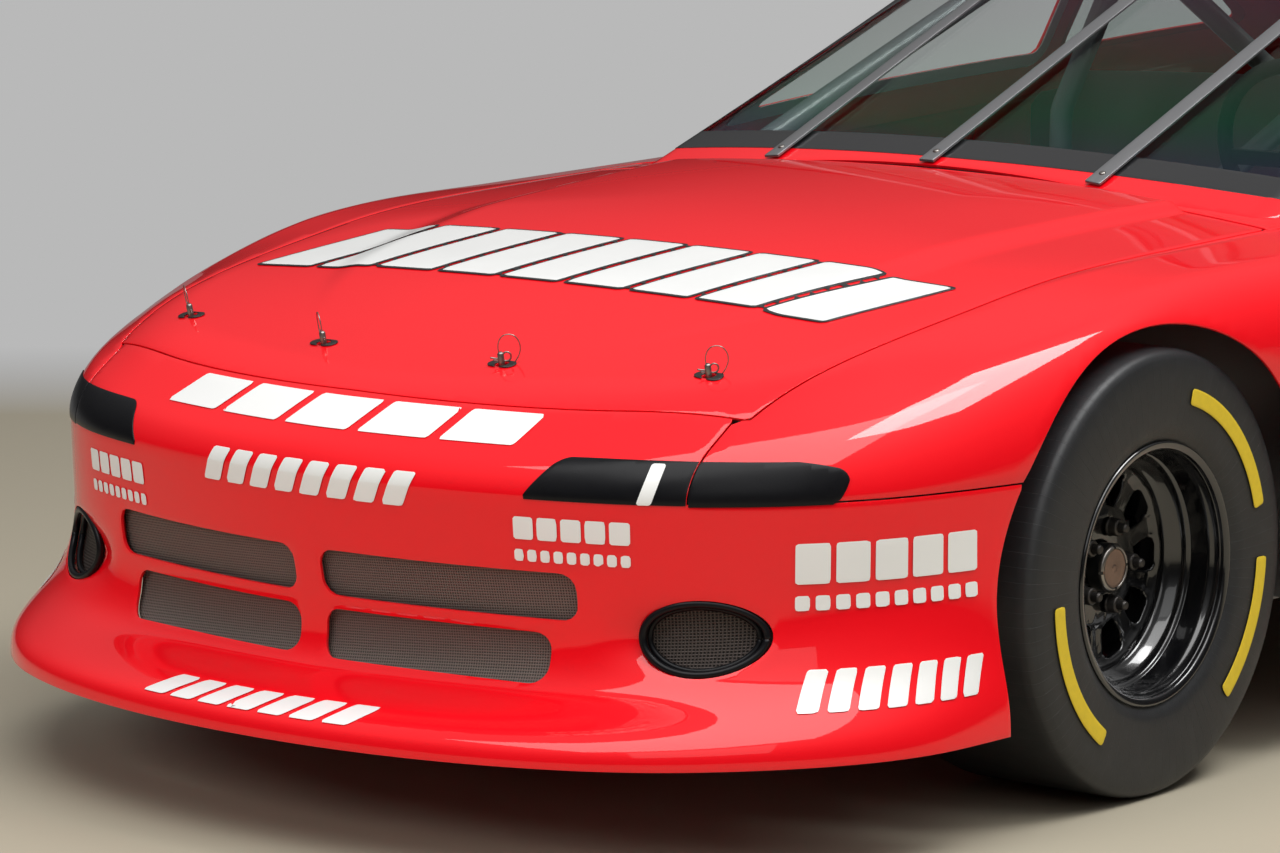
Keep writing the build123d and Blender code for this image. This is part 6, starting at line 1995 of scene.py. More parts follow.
@dataclass(frozen=True)
class Braces:
    """Flat metal straps over the windscreen and the rear window."""

    width: float = 0.030
    thickness: float = 0.005
    lift: float = 0.004
    front: tuple[tuple[float, float, float], ...] = (
        (-0.338, 0.628, 1.60), (0.0, 0.622, 1.585), (0.338, 0.628, 1.60)
    )
    rear: tuple[tuple[float, float, float], ...] = ((-0.24, 2.230, 2.860), (0.24, 2.230, 2.860))
    screw: float = 0.006

    def strap(self, x: float, start: float, end: float) -> Shape:
        """One strap that follows the cabin's skin.

        Args:
            x: X of the strap's middle.
            start: Station of its front end.
            end: Station of its rear end.

        Returns:
            The strap's outer face.
        """

        def place(u: Array, v: Array) -> Array:
            """Point of the strap's face."""
            return CABIN.skin(x + u, FRONT_AXLE_Y + v)

        half = self.width / 2
        return grid(
            raised(place, self.lift + self.thickness), steps(-half, half, 0.01), steps(start, end, 0.03)
        )

    def screws(self, x: float, ends: tuple[float, float]) -> list[Shape]:
        """Domed screw heads near both ends of a strap.

        Args:
            x: X of the strap's middle.
            ends: Stations of the two screws.

        Returns:
            One mesh for each screw.
        """
        made = []
        for at in ends:
            spot = CABIN.skin(np.array([x]), np.array([FRONT_AXLE_Y + at]))[0]
            normal = smooth_normals(CABIN.skin, np.array([x]), np.array([FRONT_AXLE_Y + at]))[0]
            base = spot + normal * (self.lift + self.thickness)
            path = base + np.array([-0.001, 0.001, 0.0025, 0.003])[:, None] * normal
            made.append(swept(path, np.array([1, 1, 0.7, 0.3]) * self.screw, 14))
        return made

    def build(self) -> None:
        """Make the straps and their screws."""
        straps = [self.strap(*row) for row in (*self.front, *self.rear)]
        whole = straps[0].joined(*straps[1:])
        piece(
            "brace_straps", whole, BRACE_GREY, slot="brace_grey", replaces=("window_braces",),
            skin=self.thickness, edge=0.001
        )
        heads = []
        for x, start, end in (*self.front, *self.rear):
            heads += self.screws(x, (start + 0.03, end - 0.03))
        piece("brace_screws", heads[0].joined(*heads[1:]), STEEL, slot="bare_steel")


def ring_of(profile: Array, axle: tuple[float, float], count: int) -> Shape:
    """Closed profile turned about an axle.

    Formula: the profile's rows of x and radius are joined end to end and turned.
    """
    return turned(np.vstack([profile, profile[:1]]), count, axle)


def around(axle: tuple[float, float], radius: float, angle: float) -> tuple[float, float]:
    """Y and Z of a point round an axle."""
    return axle[0] + radius * math.cos(angle), axle[1] + radius * math.sin(angle)


@dataclass(frozen=True)
class Wheel:
    """Slick tyre on a pressed steel wheel with its hub, nuts and brake disc."""

    axle_y: float
    end: str
    middle: float = 0.755
    radius: float = 0.349
    half: float = 0.1485
    disc_x: float = 0.790
    flange_x: float = 0.8962
    inner_x: float = 0.6298
    flange_radius: float = 0.2072
    seat_radius: float = 0.190
    drop_radius: float = 0.164
    wall: float = 0.004
    window_count: int = 10
    window: tuple[tuple[float, float], ...] = ((0.096, 0.0145), (0.136, 0.0275), (0.150, 0.0225))
    bead: float = 0.0028
    snout_radius: float = 0.0385
    snout_end: float = 0.8170
    nut_circle: float = 0.0635
    marks: tuple[tuple[float, float], ...] = ((15.0, 75.0), (-50.0, -2.0), (182.0, 236.0))

    @property
    def axle(self) -> tuple[float, float]:
        """Y and Z of the axle."""
        return self.axle_y, self.radius

    def tyre_profile(self) -> Array:
        """Closed profile of the tyre, as rows of x and radius.

        Returns:
            Rows of x and radius.
        """
        m, h, r = self.middle, self.half, self.radius
        corners = (
            (m + 0.122, 0.192, 0.003),
            (m + 0.134, 0.204, 0.006),
            (m + h - 0.004, 0.222, 0.012),
            (m + h, 0.268, 0.05),
            (m + h - 0.001, 0.322, 0.03),
            (m + h - 0.008, r - 0.006, 0.016),
            (m + h - 0.026, r - 0.0012, 0.008),
            (m, r, 0.1),
            (m - h + 0.026, r - 0.0012, 0.008),
            (m - h + 0.008, r - 0.006, 0.016),
            (m - h + 0.001, 0.322, 0.03),
            (m - h, 0.268, 0.05),
            (m - h + 0.004, 0.222, 0.012),
            (m - 0.134, 0.204, 0.006),
            (m - 0.122, 0.192, 0.003),
            (m - 0.112, 0.215, 0.01),
            (m - 0.12, 0.320, 0.02),
            (m + 0.12, 0.320, 0.02),
            (m + 0.112, 0.215, 0.01),
        )
        return rounded(corners, 5, closed=True)

    def tyre(self) -> Shape:
        """Closed tyre, turned from its profile."""
        return ring_of(self.tyre_profile(), self.axle, 160)

    def sidewall(self, radius: Array) -> Array:
        """X of the outer sidewall at a radius.

        Args:
            radius: Radii from the axle.

        Returns:
            The x at each radius.
        """
        rows = self.tyre_profile()
        outer = rows[(rows[:, 0] > self.middle + 0.125) & (rows[:, 1] < self.radius - 0.004)]
        outer = outer[np.argsort(outer[:, 1])]
        return np.interp(radius, outer[:, 1], outer[:, 0])

    def arcs(self) -> Shape:
        """Plain raised arcs on the sidewall, in place of lettering.

        Returns:
            The arcs as one mesh.
        """

        def place(angle: Array, radius: Array) -> Array:
            """Point of the sidewall."""
            y, z = self.axle[0] + radius * np.cos(angle), self.axle[1] + radius * np.sin(angle)
            return points(self.sidewall(radius) + 0.0016, y, z)

        made = []
        for start, end in self.marks:
            middle, half = math.radians((start + end) / 2), math.radians(end - start) / 2

            def outside(at: Array) -> Array:
                """Distance from one arc, with rounded ends."""
                y, z = at[..., 1] - self.axle[0], at[..., 2] - self.axle[1]
                turn = (np.arctan2(z, y) - middle + np.pi) % (2 * np.pi) - np.pi
                return box_distance(turn * 0.277, np.hypot(y, z) - 0.277, half * 0.277, 0.013, 0.006)

            angles = steps(middle - half - 0.05, middle + half + 0.05, 0.02)
            made.append(trimmed(place, angles, steps(0.255, 0.299, 0.004), outside))
        return made[0].joined(*made[1:])

    def window_distance(self, angle: Array, radius: Array) -> Array:
        """Distance from the nearest of the disc's windows, below zero inside it.

        Args:
            angle: Angles round the axle.
            radius: Radii from the axle.

        Returns:
            The signed distance of each point.
        """
        share = 2 * np.pi / self.window_count
        local = (angle + share / 2) % share - share / 2
        corners = [(r, -w) for r, w in self.window] + [(r, w) for r, w in reversed(self.window)]
        return polygon_distance(radius * np.cos(local), radius * np.sin(local), corners, 0.009)

    def disc_x_at(self, angle: Array, radius: Array) -> Array:
        """X of the disc's outer face.

        Formula: a dished profile, plus two bell-shaped beads along the edge of each window.

        Args:
            angle: Angles round the axle.
            radius: Radii from the axle.

        Returns:
            The x of each point.
        """
        rows = (
            (0.038, self.disc_x),
            (0.082, self.disc_x),
            (0.090, self.disc_x - 0.003),
            (0.100, self.disc_x - 0.0085),
            (0.145, self.disc_x - 0.0075),
            (0.154, self.disc_x - 0.003),
            (0.160, self.disc_x + 0.002),
        )
        base = np.interp(radius, *np.array(rows).T)
        gap = self.window_distance(angle, radius)
        beads = np.exp(-(((gap - 0.0035) / 0.0020) ** 2)) + 0.6 * np.exp(-(((gap - 0.0095) / 0.0022) ** 2))
        return base + self.bead * beads

    def disc(self) -> Shape:
        """Outer face of the wheel disc, with its windows.

        Returns:
            The trimmed mesh.
        """

        def place(angle: Array, radius: Array) -> Array:
            """Point of the disc's outer face."""
            y, z = self.axle[0] + radius * np.cos(angle), self.axle[1] + radius * np.sin(angle)
            return points(self.disc_x_at(angle, radius), y, z)

        def outside(at: Array) -> Array:
            """Distance from the disc's metal."""
            y, z = at[..., 1] - self.axle[0], at[..., 2] - self.axle[1]
            return -self.window_distance(np.arctan2(z, y), np.hypot(y, z))

        start = math.pi / self.window_count
        angles = np.linspace(start, start + 2 * np.pi, 241)
        radii = np.concatenate([np.linspace(0.0388, 0.088, 6), np.linspace(0.091, 0.160, 30)])
        plain = trimmed(
            lambda a, i: place(a, np.interp(i, np.arange(len(radii)), radii)), angles,
            np.arange(len(radii)) * 1.0, outside
        )
        return Shape(plain.verts, plain.faces[:, ::-1])

    def barrel(self) -> Shape:
        """Stepped barrel with its two rolled flanges.

        Returns:
            The closed barrel.
        """
        out, inn, s, d = self.flange_x, self.inner_x, self.seat_radius, self.drop_radius
        f, w = self.flange_radius, self.wall
        outer = (
            (out - 0.001, f - 0.004, 0.002),
            (out - 0.006, f, 0.003),
            (out - 0.010, f - 0.006, 0.003),
            (out - 0.011, s + 0.001, 0.003),
            (self.disc_x + 0.032, s - 0.001, 0.004),
            (self.disc_x + 0.004, d + 0.002, 0.006),
            (inn + 0.080, d, 0.006),
            (inn + 0.060, s - 0.001, 0.006),
            (inn + 0.011, s + 0.001, 0.003),
            (inn + 0.010, f - 0.006, 0.003),
            (inn + 0.006, f, 0.003),
            (inn + 0.001, f - 0.004, 0.002),
        )
        inner = (
            (inn, s - w + 0.002, 0.004),
            (inn + 0.058, s - w - 0.001, 0.006),
            (inn + 0.078, d - w, 0.006),
            (self.disc_x - 0.004, d - w, 0.003),
            (self.disc_x + 0.010, d - w + 0.001, 0.004),
            (self.disc_x + 0.016, d + 0.004, 0.003),
            (self.disc_x + 0.030, s - w - 0.008, 0.004),
            (self.disc_x + 0.040, s - w - 0.006, 0.003),
            (self.disc_x + 0.043, s - w - 0.001, 0.002),
            (out - 0.030, s - w + 0.000, 0.004),
            (out - 0.022, s - w + 0.004, 0.004),
            (out - 0.004, s - w + 0.007, 0.003),
        )
        return ring_of(rounded(outer + inner, 4, closed=True), self.axle, 160)

    def hub(self) -> Shape:
        """Hub flange and snout with a chamfered edge.

        Returns:
            The flange and the snout as one mesh.
        """
        s, end = self.snout_radius, self.snout_end
        flange = (
            (self.disc_x - 0.020, 0.030, 0.001),
            (self.disc_x - 0.0065, 0.030, 0.001),
            (self.disc_x - 0.0065, 0.077, 0.002),
            (self.disc_x - 0.020, 0.077, 0.002),
        )
        barrel = (
            (self.disc_x - 0.0065, 0.030, 0.001),
            (end - 0.003, 0.030, 0.001),
            (end - 0.0005, 0.0335, 0.001),
            (end - 0.0005, s - 0.0055, 0.0008),
            (end - 0.0055, s, 0.001),
            (self.disc_x - 0.0065, s, 0.001),
        )
        return ring_of(rounded(flange, 3, closed=True), self.axle, 72).joined(
            ring_of(rounded(barrel, 3, closed=True), self.axle, 96)
        )

    def chamfer(self) -> Shape:
        """Bright chamfer round the end of the snout, cut by four small notches.

        Returns:
            The four parts of the chamfer as one mesh.
        """
        s, end = self.snout_radius, self.snout_end
        made = []
        for index in range(4):
            start = math.tau * (index + 0.09) / 4
            angles = np.linspace(start, start + math.tau * 0.91 / 4, 22)

            def place(i: Array, angle: Array) -> Array:
                """Point of the chamfer's closed profile."""
                face, back = end + 0.0002, end - 0.0060
                corners = ((face, s - 0.0085), (face, s - 0.0050), (back, s + 0.0003), (back, s - 0.0060))
                row = np.array(corners)[i.astype(int)]
                y, z = self.axle[0] + row[..., 1] * np.cos(angle), self.axle[1] + row[..., 1] * np.sin(angle)
                return points(row[..., 0], y, z)

            made.append(grid(lambda i, a: place(i % 4, a), np.arange(5), angles))
        return made[0].joined(*made[1:])

    def cap(self) -> Shape:
        """Flat plug in the end of the snout, with a raised rim and a centre pip.

        Returns:
            The plug's mesh.
        """
        end = self.snout_end
        profile = rounded(
            (
                (end - 0.010, 0.0, 0),
                (end - 0.010, 0.0305, 0.001),
                (end - 0.0015, 0.0305, 0.001),
                (end - 0.0022, 0.027, 0.001),
                (end - 0.0022, 0.006, 0.001),
                (end - 0.001, 0.0045, 0.001),
                (end - 0.001, 0.0, 0),
            ),
            3,
        )
        return turned(profile[::-1], 64, self.axle)

    def nuts(self) -> tuple[Shape, Shape]:
        """Five lug nuts and the studs that stick out of them.

        Returns:
            The nuts and the studs, each as one mesh.
        """
        nuts, studs = [], []
        for index in range(5):
            centre = around(self.axle, self.nut_circle, math.tau * index / 5)
            x = self.disc_x
            body = rounded(
                (
                    (x + 0.022, 0.0082, 0.0005),
                    (x + 0.022, 0.0118, 0.001),
                    (x + 0.0195, 0.0138, 0.001),
                    (x + 0.007, 0.0138, 0.001),
                    (x + 0.006, 0.0152, 0.0006),
                    (x + 0.003, 0.0152, 0.0006),
                    (x + 0.0005, 0.0110, 0.0005),
                    (x + 0.0005, 0.0082, 0.0005),
                ),
                2,
                closed=True,
            )
            nuts.append(ring_of(body, centre, 24))
            tip = rounded(
                (
                    (x + 0.0355, 0.0, 0), (x + 0.0355, 0.0055, 0.001), (x + 0.032, 0.0078, 0.001),
                    (x - 0.02, 0.0078, 0.001), (x - 0.02, 0.0, 0)
                ),
                3,
            )
            studs.append(turned(tip, 20, centre))
        return nuts[0].joined(*nuts[1:]), studs[0].joined(*studs[1:])

    def rotor(self) -> Shape:
        """Ventilated brake disc: two faces, a hat and curved vanes.

        Returns:
            The brake disc as one mesh.
        """
        made = []
        for x_from, x_to, r_from, r_to in (
            (0.700, 0.709, 0.075, 0.132), (0.719, 0.728, 0.058, 0.132), (0.7005, 0.770, 0.050, 0.060)
        ):
            profile = rounded(
                (
                    (x_from, r_from, 0.001), (x_to, r_from, 0.001), (x_to, r_to, 0.001), (x_from, r_to, 0.001)
                ), 2, closed=True
            )
            made.append(ring_of(profile, self.axle, 72))
        count = 24
        for index in range(count):
            angle = math.tau * index / count
            path = np.array(
                [(0.714, *around(self.axle, r, angle + (0.13 - r) * 4)) for r in (0.070, 0.09, 0.11, 0.128)]
            )
            made.append(swept(path, 0.0052, 6))
        return made[0].joined(*made[1:])

    def build(self) -> None:
        """Make the tyre, the rim and the hub on both sides."""
        rubber = Sidewall(f"tyre_rubber_{self.end}", linear(34, 35, 37), 0.46, axle=self.axle)
        nuts, studs = self.nuts()
        rows = (
            ("tyre_slick", self.tyre(), rubber, "tyre_rubber", "tyre"),
            ("tyre_marks", self.arcs(), YELLOW, "tyre_rubber", None),
            ("rim_barrel", self.barrel(), WHEEL_BLACK, "wheel_black", "rim"),
            ("rim_disc", self.disc(), WHEEL_BLACK, "wheel_black", None),
            ("hub_snout", self.hub(), HUB_BLACK, "bare_steel", "hub"),
            ("hub_chamfer", self.chamfer(), STEEL, "bare_steel", None),
            ("hub_cap", self.cap(), CAP_BRONZE, "bare_steel", None),
            ("lug_nuts", nuts, DARK_STEEL, "bare_steel", None),
            ("wheel_studs", studs, DARK_STEEL, "bare_steel", None),
            ("brake_rotor", self.rotor(), CAST_GREY, "bare_steel", None),
        )
        for side in Side:
            body = side.named(f"{self.end}_wheel")
            for name, shape, finish, slot, node in rows:
                replaced = (side.named(f"{self.end}_{node}"),) if node else ()
                skin = {"tyre_marks": 0.0012, "rim_disc": 0.005}.get(name, 0.0)
                title = side.named(f"{self.end}_{name}")
                piece(title, side.of(shape), finish, body=body, slot=slot, replaces=replaced, skin=skin)


@dataclass(frozen=True)
class Bars:
    """Row of slanted bars: where it runs, its height, its slant and its number of bars."""

    start: float
    end: float
    middle: float
    height: float
    count: int
    slant: float = 0.35
    fill: float = 0.8

    def distance(self, a: Array, b: Array, grow: float = 0.0) -> Array:
        """Distance from the nearest bar, below zero inside it.

        Formula: the row is sheared upright and folded into one pitch, where a bar is a
        rounded rectangle.

        Args:
            a: Way along the row.
            b: Way across the row.
            grow: Growth of each bar.

        Returns:
            The distance of each point.
        """
        pitch = (self.end - self.start) / self.count
        run = a - self.start - self.slant * (b - self.middle)
        index = np.clip(np.floor(run / pitch), 0, self.count - 1)
        along = run - (index + 0.5) * pitch
        return box_distance(
            along, b - self.middle, pitch * self.fill / 2 + grow, self.height / 2 + grow, 0.004 + grow
        )


@dataclass(frozen=True)
class Markings:
    """Plain white film on the paint, in rows of slanted bars."""

    film: float = 0.0004
    lift: float = 0.0016
    cover_lift: float = 0.0024
    over: float = 0.0005
    border: float = 0.006
    cell: float = 0.007
    row_cell: float = 0.012
    hood_cell: float = 0.009
    hood: Bars = Bars(-0.60, 0.58, -1.655, 0.235, 9, 0.30, 0.84)
    # row by running length and height, limits of the flank's height parameter, whether it is mirrored
    nose: tuple[tuple[Bars, float, float, bool], ...] = (
        (Bars(-0.375, 0.385, 0.622, 0.040, 5, 0.8, 0.86), 1.30, 1.72, False),
        (Bars(-0.205, 0.215, 0.532, 0.052, 8, 0.45, 0.72), 0.90, 1.34, False),
        (Bars(0.378, 0.566, 0.489, 0.034, 5, 0.0, 0.84), 0.82, 1.00, True),
        (Bars(0.378, 0.566, 0.448, 0.018, 9, 0.0, 0.72), 0.80, 0.96, True),
        (Bars(0.800, 1.108, 0.446, 0.060, 5, 0.0, 0.86), 0.60, 0.98, True),
        (Bars(0.800, 1.108, 0.388, 0.022, 10, 0.0, 0.72), 0.52, 0.82, True),
        (Bars(0.800, 1.100, 0.266, 0.056, 7, 0.45, 0.72), 0.12, 0.66, True),
        (Bars(-0.185, 0.205, 0.2105, 0.020, 7, 1.4, 0.78), 0.10, 0.40, False),
    )
    cover: Bars = Bars(0.580, 0.606, 0.562, 0.058, 1, 0.35, 0.84)

    def on_flank(self, row: Bars, low: float, high: float, lift: float) -> Shape:
        """One row of bars on the flank.

        Args:
            row: Row of bars, by running length and height.
            low: Lower limit of the height parameter.
            high: Upper limit of the height parameter.
            lift: Distance off the paint.

        Returns:
            The trimmed mesh.
        """

        def outside(at: Array) -> Array:
            """Distance from the row, by running length and height."""
            t, _ = BODY.outline.nearest(at[..., 0], at[..., 1])
            return row.distance(np.where(at[..., 0] < 0, -t, t), at[..., 2])

        margin = 0.012 + abs(row.slant) * row.height / 2
        gap = (row.end - row.start) / row.count * (1 - row.fill)
        rows = steps(
            row.start - margin, row.end + margin, min(self.cell, gap * 0.6)
        ), steps(low, high, self.row_cell)
        return slab(BODY.flank, *rows, outside, lift)

    def on_hood(self, grow: float, lift: float) -> Shape:
        """The hood's row of bars, grown by a border.

        Args:
            grow: Growth of each bar.
            lift: Distance off the paint.

        Returns:
            The trimmed mesh.
        """

        def outside(at: Array) -> Array:
            """Distance from the row, in plan."""
            return self.hood.distance(at[..., 0], at[..., 1], grow)

        half = self.hood.height / 2 + 0.015
        x = steps(self.hood.start - 0.06, self.hood.end + 0.06, self.hood_cell)
        y = steps(self.hood.middle - half, self.hood.middle + half, self.hood_cell)
        return slab(Bodywork().hood_surface, x, y, outside, lift)

    def build(self) -> None:
        """Make the film on the nose, on the covers and on the hood."""
        made = []
        for row, low, high, both in self.nose:
            shape = self.on_flank(row, low, high, self.lift)
            made += [shape, shape.mirrored()] if both else [shape]
        piece("nose_film", made[0].joined(*made[1:]), WHITE, slot="red_paint", skin=self.film)
        bar = self.on_flank(self.cover, 0.95, 1.34, self.cover_lift)
        piece("cover_film", bar, WHITE, slot="cover_black", skin=self.film)
        on_hood = {"body": "hood", "slot": "red_paint", "skin": self.film}
        piece("hood_film_border", self.on_hood(self.border, self.lift), DARK_FILM, **on_hood)
        piece("hood_film", self.on_hood(0.0, self.lift + self.over), WHITE, **on_hood)


@dataclass(frozen=True)
class SeatPads:
    """Sewn cushions in the seat's shell, and its belts."""

    x: float = 0.34
    half: float = 0.176
    # station and height of the two ends, half-width share, thickness and number of channels
    pads: tuple[tuple[str, tuple[float, float], tuple[float, float], float, int], ...] = (
        ("seat_base_pad", (1.452, 0.374), (1.700, 0.352), 0.046, 4),
        ("seat_back_pad", (1.768, 0.420), (1.838, 0.930), 0.036, 7),
    )

    def pad(self, start: tuple[float, float], end: tuple[float, float], thick: float, channels: int) -> Shape:
        """Crowned closed pad between two ends.

        Formula: over a flat back, the front rises by the thickness times a rounded step
        at every edge, and dips by a bell along each sewn channel. The outline draws in
        between its corners by a parabola.

        Args:
            start: Station and height of the front or lower end.
            end: Station and height of the rear or upper end.
            thick: Thickness at the middle.
            channels: Number of panels between the sewn channels.

        Returns:
            The closed pad.
        """
        low = np.array([self.x, FRONT_AXLE_Y + start[0], start[1]])
        high = np.array([self.x, FRONT_AXLE_Y + end[0], end[1]])
        along = (high - low) / 2
        up = np.cross((1.0, 0.0, 0.0), along)
        up /= np.linalg.norm(up)

        def face(u: Array, v: Array, share: float) -> Array:
            """Point of the front face, or of the back face at no share of the rise."""
            edge = np.clip((1 - np.abs(u) ** 5) * (1 - np.abs(v) ** 7), 0, 1) ** 0.45
            seam = np.abs(np.sin((v + 1) / 2 * np.pi * channels)) ** 0.4
            rise = share * edge * (thick * (0.9 + 0.1 * (1 - u**2)) - 0.010 * (1 - seam))
            wide = self.half * (1 - 0.03 * (1 - v**2))
            length = v[..., None] * along * (1 - 0.02 * (1 - u[..., None] ** 2))
            return (low + high) / 2 + length + up * (rise[..., None] + 0.001) + points(u * wide, 0, 0)

        u, v = np.sin(np.linspace(-1, 1, 45) * np.pi / 2), np.linspace(-1, 1, 14 * channels + 1)
        front = grid(lambda a, b: face(a, b, 1.0), u, v)
        back = grid(lambda a, b: face(a, b, 0.0), u, v)
        return front.joined(Shape(back.verts, back.faces[:, ::-1])).welded()

    def belt(self, knots: Sequence[tuple[float, float, float]], wide: tuple[float, float, float]) -> Shape:
        """Flat strap along a smooth path, with its width in a given direction.

        Args:
            knots: X, station and height of the points that it passes.
            wide: Half of the strap's width, as a direction.

        Returns:
            The strap's face.
        """
        path = smooth_path([(x, FRONT_AXLE_Y + ahead, z) for x, ahead, z in knots], 40)

        def place(i: Array, v: Array) -> Array:
            """Point of the strap."""
            return path[i.astype(int)] + v[..., None] * np.array(wide)

        return grid(place, np.arange(40), np.linspace(-1, 1, 5))

    def build(self) -> None:
        """Make the pads and the straps."""
        for name, start, end, thick, channels in self.pads:
            made = piece(name, self.pad(start, end, thick, channels), SEAT_BLACK, slot="seat_black")
        straps = []
        for side in (-1, 1):
            x = self.x + side * 0.075
            buckle = (self.x + side * 0.03, 1.655, 0.470)
            shoulder = ((x, 1.90, 0.800), (x, 1.800, 0.806), (x, 1.765, 0.770), (x, 1.730, 0.600), buckle)
            straps.append(self.belt(shoulder, (0.024, 0, 0)))
            hip, thigh = (self.x + side * 0.170, 1.70, 0.420), (self.x + side * 0.12, 1.665, 0.462)
            lap = (hip, thigh, (self.x + side * 0.03, 1.645, 0.466))
            straps.append(self.belt(lap, (0, 0.010, 0.022)))
        piece("seat_belts", straps[0].joined(*straps[1:]), WEBBING, slot="seat_black", skin=0.0025)


@dataclass(frozen=True)
class CarriedOver:
    """Finishes of the construction nodes that are shown as they are."""

    rows: tuple[tuple[Finish, tuple[str, ...]], ...] = (
        (
            FRAME_GREY,
            ("chassis_frame", "main_hoop", "halo_bars", "door_bars", "rear_stays", "front_arms", "fuel_cell")
        ),
        (ALUMINIUM, ("floor", "dashboard", "radiator", "rear_spoiler")),
        (CAST_GREY, ("rear_axle", "engine", "gearbox_and_shaft", "left_knuckle", "right_knuckle")),
        (STEEL, ("steering_column", "gear_lever", "exhaust_pipes", "tie_rod")),
        (SEAT_SHELL, ("seat",)),
        (RUBBER, ("steering_wheel",)),
    )

    def build(self) -> None:
        """Give each node its finish."""
        for finish, names in self.rows:
            for name in names:
                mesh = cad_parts[name].data
                mesh.materials.clear()
                mesh.materials.append(finish.build())
        log.info("finishes put on %d construction nodes", sum(len(names) for _, names in self.rows))


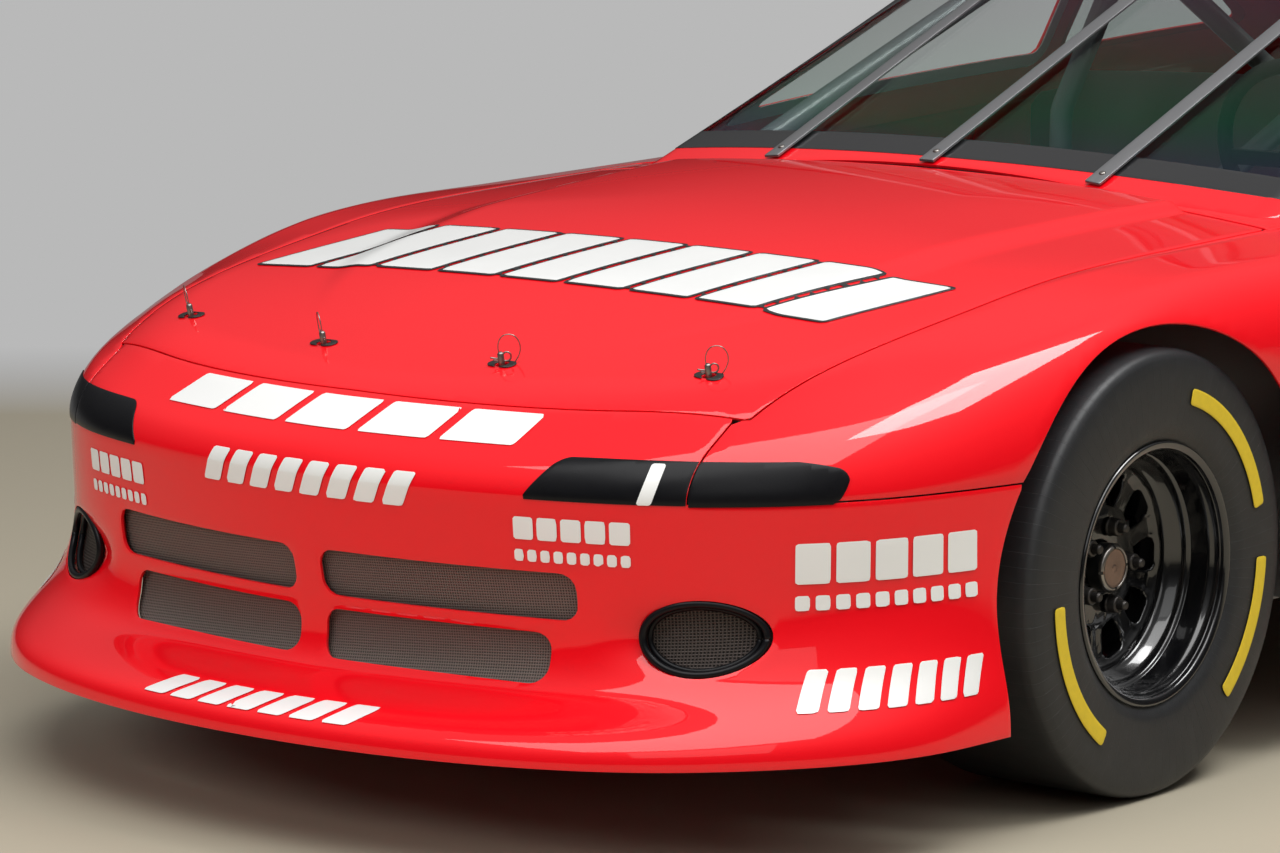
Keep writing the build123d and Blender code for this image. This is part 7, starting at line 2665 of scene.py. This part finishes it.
@dataclass(frozen=True)
class Studio:
    """Camera, plain floor that fades into a grey backdrop, and soft lamps."""

    camera_at: tuple[float, float, float] = (5.367, -8.156, 1.846)
    camera_turn: tuple[float, float, float] = (81.066, 0.0, 39.102)
    lens: float = 150.7
    floor_colour: tuple[float, float, float] = linear(170, 162, 143)
    wall_colour: tuple[float, float, float] = linear(185, 185, 185)
    floor_half: float = 60.0
    floor_cell: float = 4.0
    floor_drop: float = 0.0005
    # distances behind the middle of the car between which the floor fades into the backdrop
    fade: tuple[float, float] = (2.2, 3.3)
    # sine of the elevation, then brightness of the plain surroundings
    sky: tuple[tuple[float, float], ...] = ((0.0, 0.02), (0.14, 0.04), (0.40, 0.14), (0.75, 0.36))

    def camera(self) -> None:
        """Put the camera where the photo was taken from."""
        data = bpy.data.cameras.new("camera")
        data.lens, data.sensor_width, data.clip_end = self.lens, 36, 200
        obj = bpy.data.objects.new("camera", data)
        obj.location = self.camera_at
        obj.rotation_euler = [math.radians(a) for a in self.camera_turn]
        bpy.context.scene.collection.objects.link(obj)
        bpy.context.scene.camera = obj

    def sweep(self) -> None:
        """Wide plain floor, whose colour fades into the wall's behind the car."""
        rows = steps(-self.floor_half, self.floor_half, self.floor_cell)
        shape = grid(lambda x, y: points(x, y, -self.floor_drop), rows, rows)
        graph = Graph("studio_sweep")
        angle = math.radians(self.camera_turn[2])
        split = {"Vector": graph.place()}
        x = graph.node("ShaderNodeSeparateXYZ", sockets=split, out=0)
        y = graph.node("ShaderNodeSeparateXYZ", sockets=split, out=1)
        share = graph.ramp(y * math.cos(angle) - x * math.sin(angle), *self.fade)
        speckle = graph.noise(0.02, 4) * 0.12 + graph.noise(1.2, 3) * 0.10 - 0.11
        dark, light = (tuple(c * k for c in self.floor_colour) for k in (0.9, 1.1))
        floor = graph.mix(speckle + 0.5, dark, light)
        graph.set(Base_Color=graph.mix(share, floor, self.wall_colour), Roughness=0.55)
        seen = graph.node("ShaderNodeLightPath", out="Is Camera Ray")
        glow = graph.tree.nodes.new("ShaderNodeEmission")
        glow.inputs[0].default_value = (*self.wall_colour, 1)
        blend = graph.tree.nodes.new("ShaderNodeMixShader")
        graph.feed(blend.inputs[0], seen * share)
        graph.tree.links.new(graph.shader.outputs[0], blend.inputs[1])
        graph.tree.links.new(glow.outputs[0], blend.inputs[2])
        graph.tree.links.new(blend.outputs[0], graph.output.inputs["Surface"])
        mesh = bpy.data.meshes.new("sweep")
        mesh.from_pydata(shape.verts.tolist(), [], shape.faces.tolist())
        mesh.polygons.foreach_set("use_smooth", np.ones(len(mesh.polygons), bool))
        mesh.materials.append(graph.material)
        obj = bpy.data.objects.new("sweep", mesh)
        bpy.context.scene.collection.objects.link(obj)

    def lamp(
        self, name: str, at: tuple[float, float, float], aim: tuple[float, float, float],
        size: tuple[float, float], power: float
    ) -> bpy.types.Object:
        """Soft oblong lamp.

        Args:
            name: Name of the lamp.
            at: Its place.
            aim: Point that it faces.
            size: Its width and height.
            power: Its power in watts.

        Returns:
            The lamp's object.
        """
        data = bpy.data.lights.new(name, "AREA")
        data.shape, data.size, data.size_y, data.energy = "RECTANGLE", *size, power
        obj = bpy.data.objects.new(name, data)
        obj.location = at
        away = np.subtract(aim, at)
        flat = math.hypot(away[0], away[1])
        obj.rotation_euler = (math.atan2(flat, -away[2]), 0, math.atan2(away[1], away[0]) - math.pi / 2)
        bpy.context.scene.collection.objects.link(obj)
        return obj

    def build(self) -> None:
        """Set up the camera, the sweep, the lamps and the plain surroundings."""
        self.camera()
        self.sweep()
        self.lamp("crest", (3.3, 0.6, 6.5), (3.2, 0.5, 0), (3.4, 2.6), 290)
        self.lamp("ceiling", (2.5, -4.0, 7.0), (2.4, -3.9, 0), (8, 6), 500)
        self.lamp("camera_side", (6.0, -7.0, 5.0), (0.3, -1.4, 0.5), (5, 4), 55)
        self.lamp("front_floor", (-1.5, -8.0, 3.6), (-0.4, -2.8, 0), (3, 2), 110).visible_glossy = False
        world = bpy.data.worlds.new("surroundings")
        world.use_nodes = True
        tree = world.node_tree
        at = tree.nodes.new("ShaderNodeTexCoord")
        split = tree.nodes.new("ShaderNodeSeparateXYZ")
        ramp = tree.nodes.new("ShaderNodeValToRGB")
        for index, (place, level) in enumerate(self.sky):
            stop = ramp.color_ramp.elements[index] if index < 2 else ramp.color_ramp.elements.new(place)
            stop.position, stop.color = place, (level, level, level, 1)
        pale = tree.nodes.new("ShaderNodeMix")
        pale.data_type = "RGBA"
        pale.inputs[7].default_value = (*self.wall_colour, 1)
        tree.links.new(at.outputs["Generated"], split.inputs[0])
        tree.links.new(split.outputs[2], ramp.inputs[0])
        tree.links.new(ramp.outputs[0], pale.inputs[6])
        tree.links.new(tree.nodes.new("ShaderNodeLightPath").outputs["Is Camera Ray"], pale.inputs[0])
        tree.links.new(pale.outputs[2], tree.nodes["Background"].inputs[0])
        bpy.context.scene.world = world
        bpy.context.scene.view_settings.view_transform = "Standard"
        bpy.context.scene.view_settings.look = "None"


def main() -> None:
    """Build the car's looks, one sub-assembly after the other."""
    logging.basicConfig(level=logging.INFO, format="%(message)s")
    CarriedOver().build()
    Bodywork().build()
    HOOD_PINS.build()
    FrontEnd().build()
    Glass().build()
    Braces().build()
    Markings().build()
    SeatPads().build()
    Wheel(FRONT_AXLE_Y, "front").build()
    Wheel(REAR_AXLE_Y, "rear").build()
    Studio().build()
    bpy.context.view_layer.update()


if __name__ == "__main__":
    main()
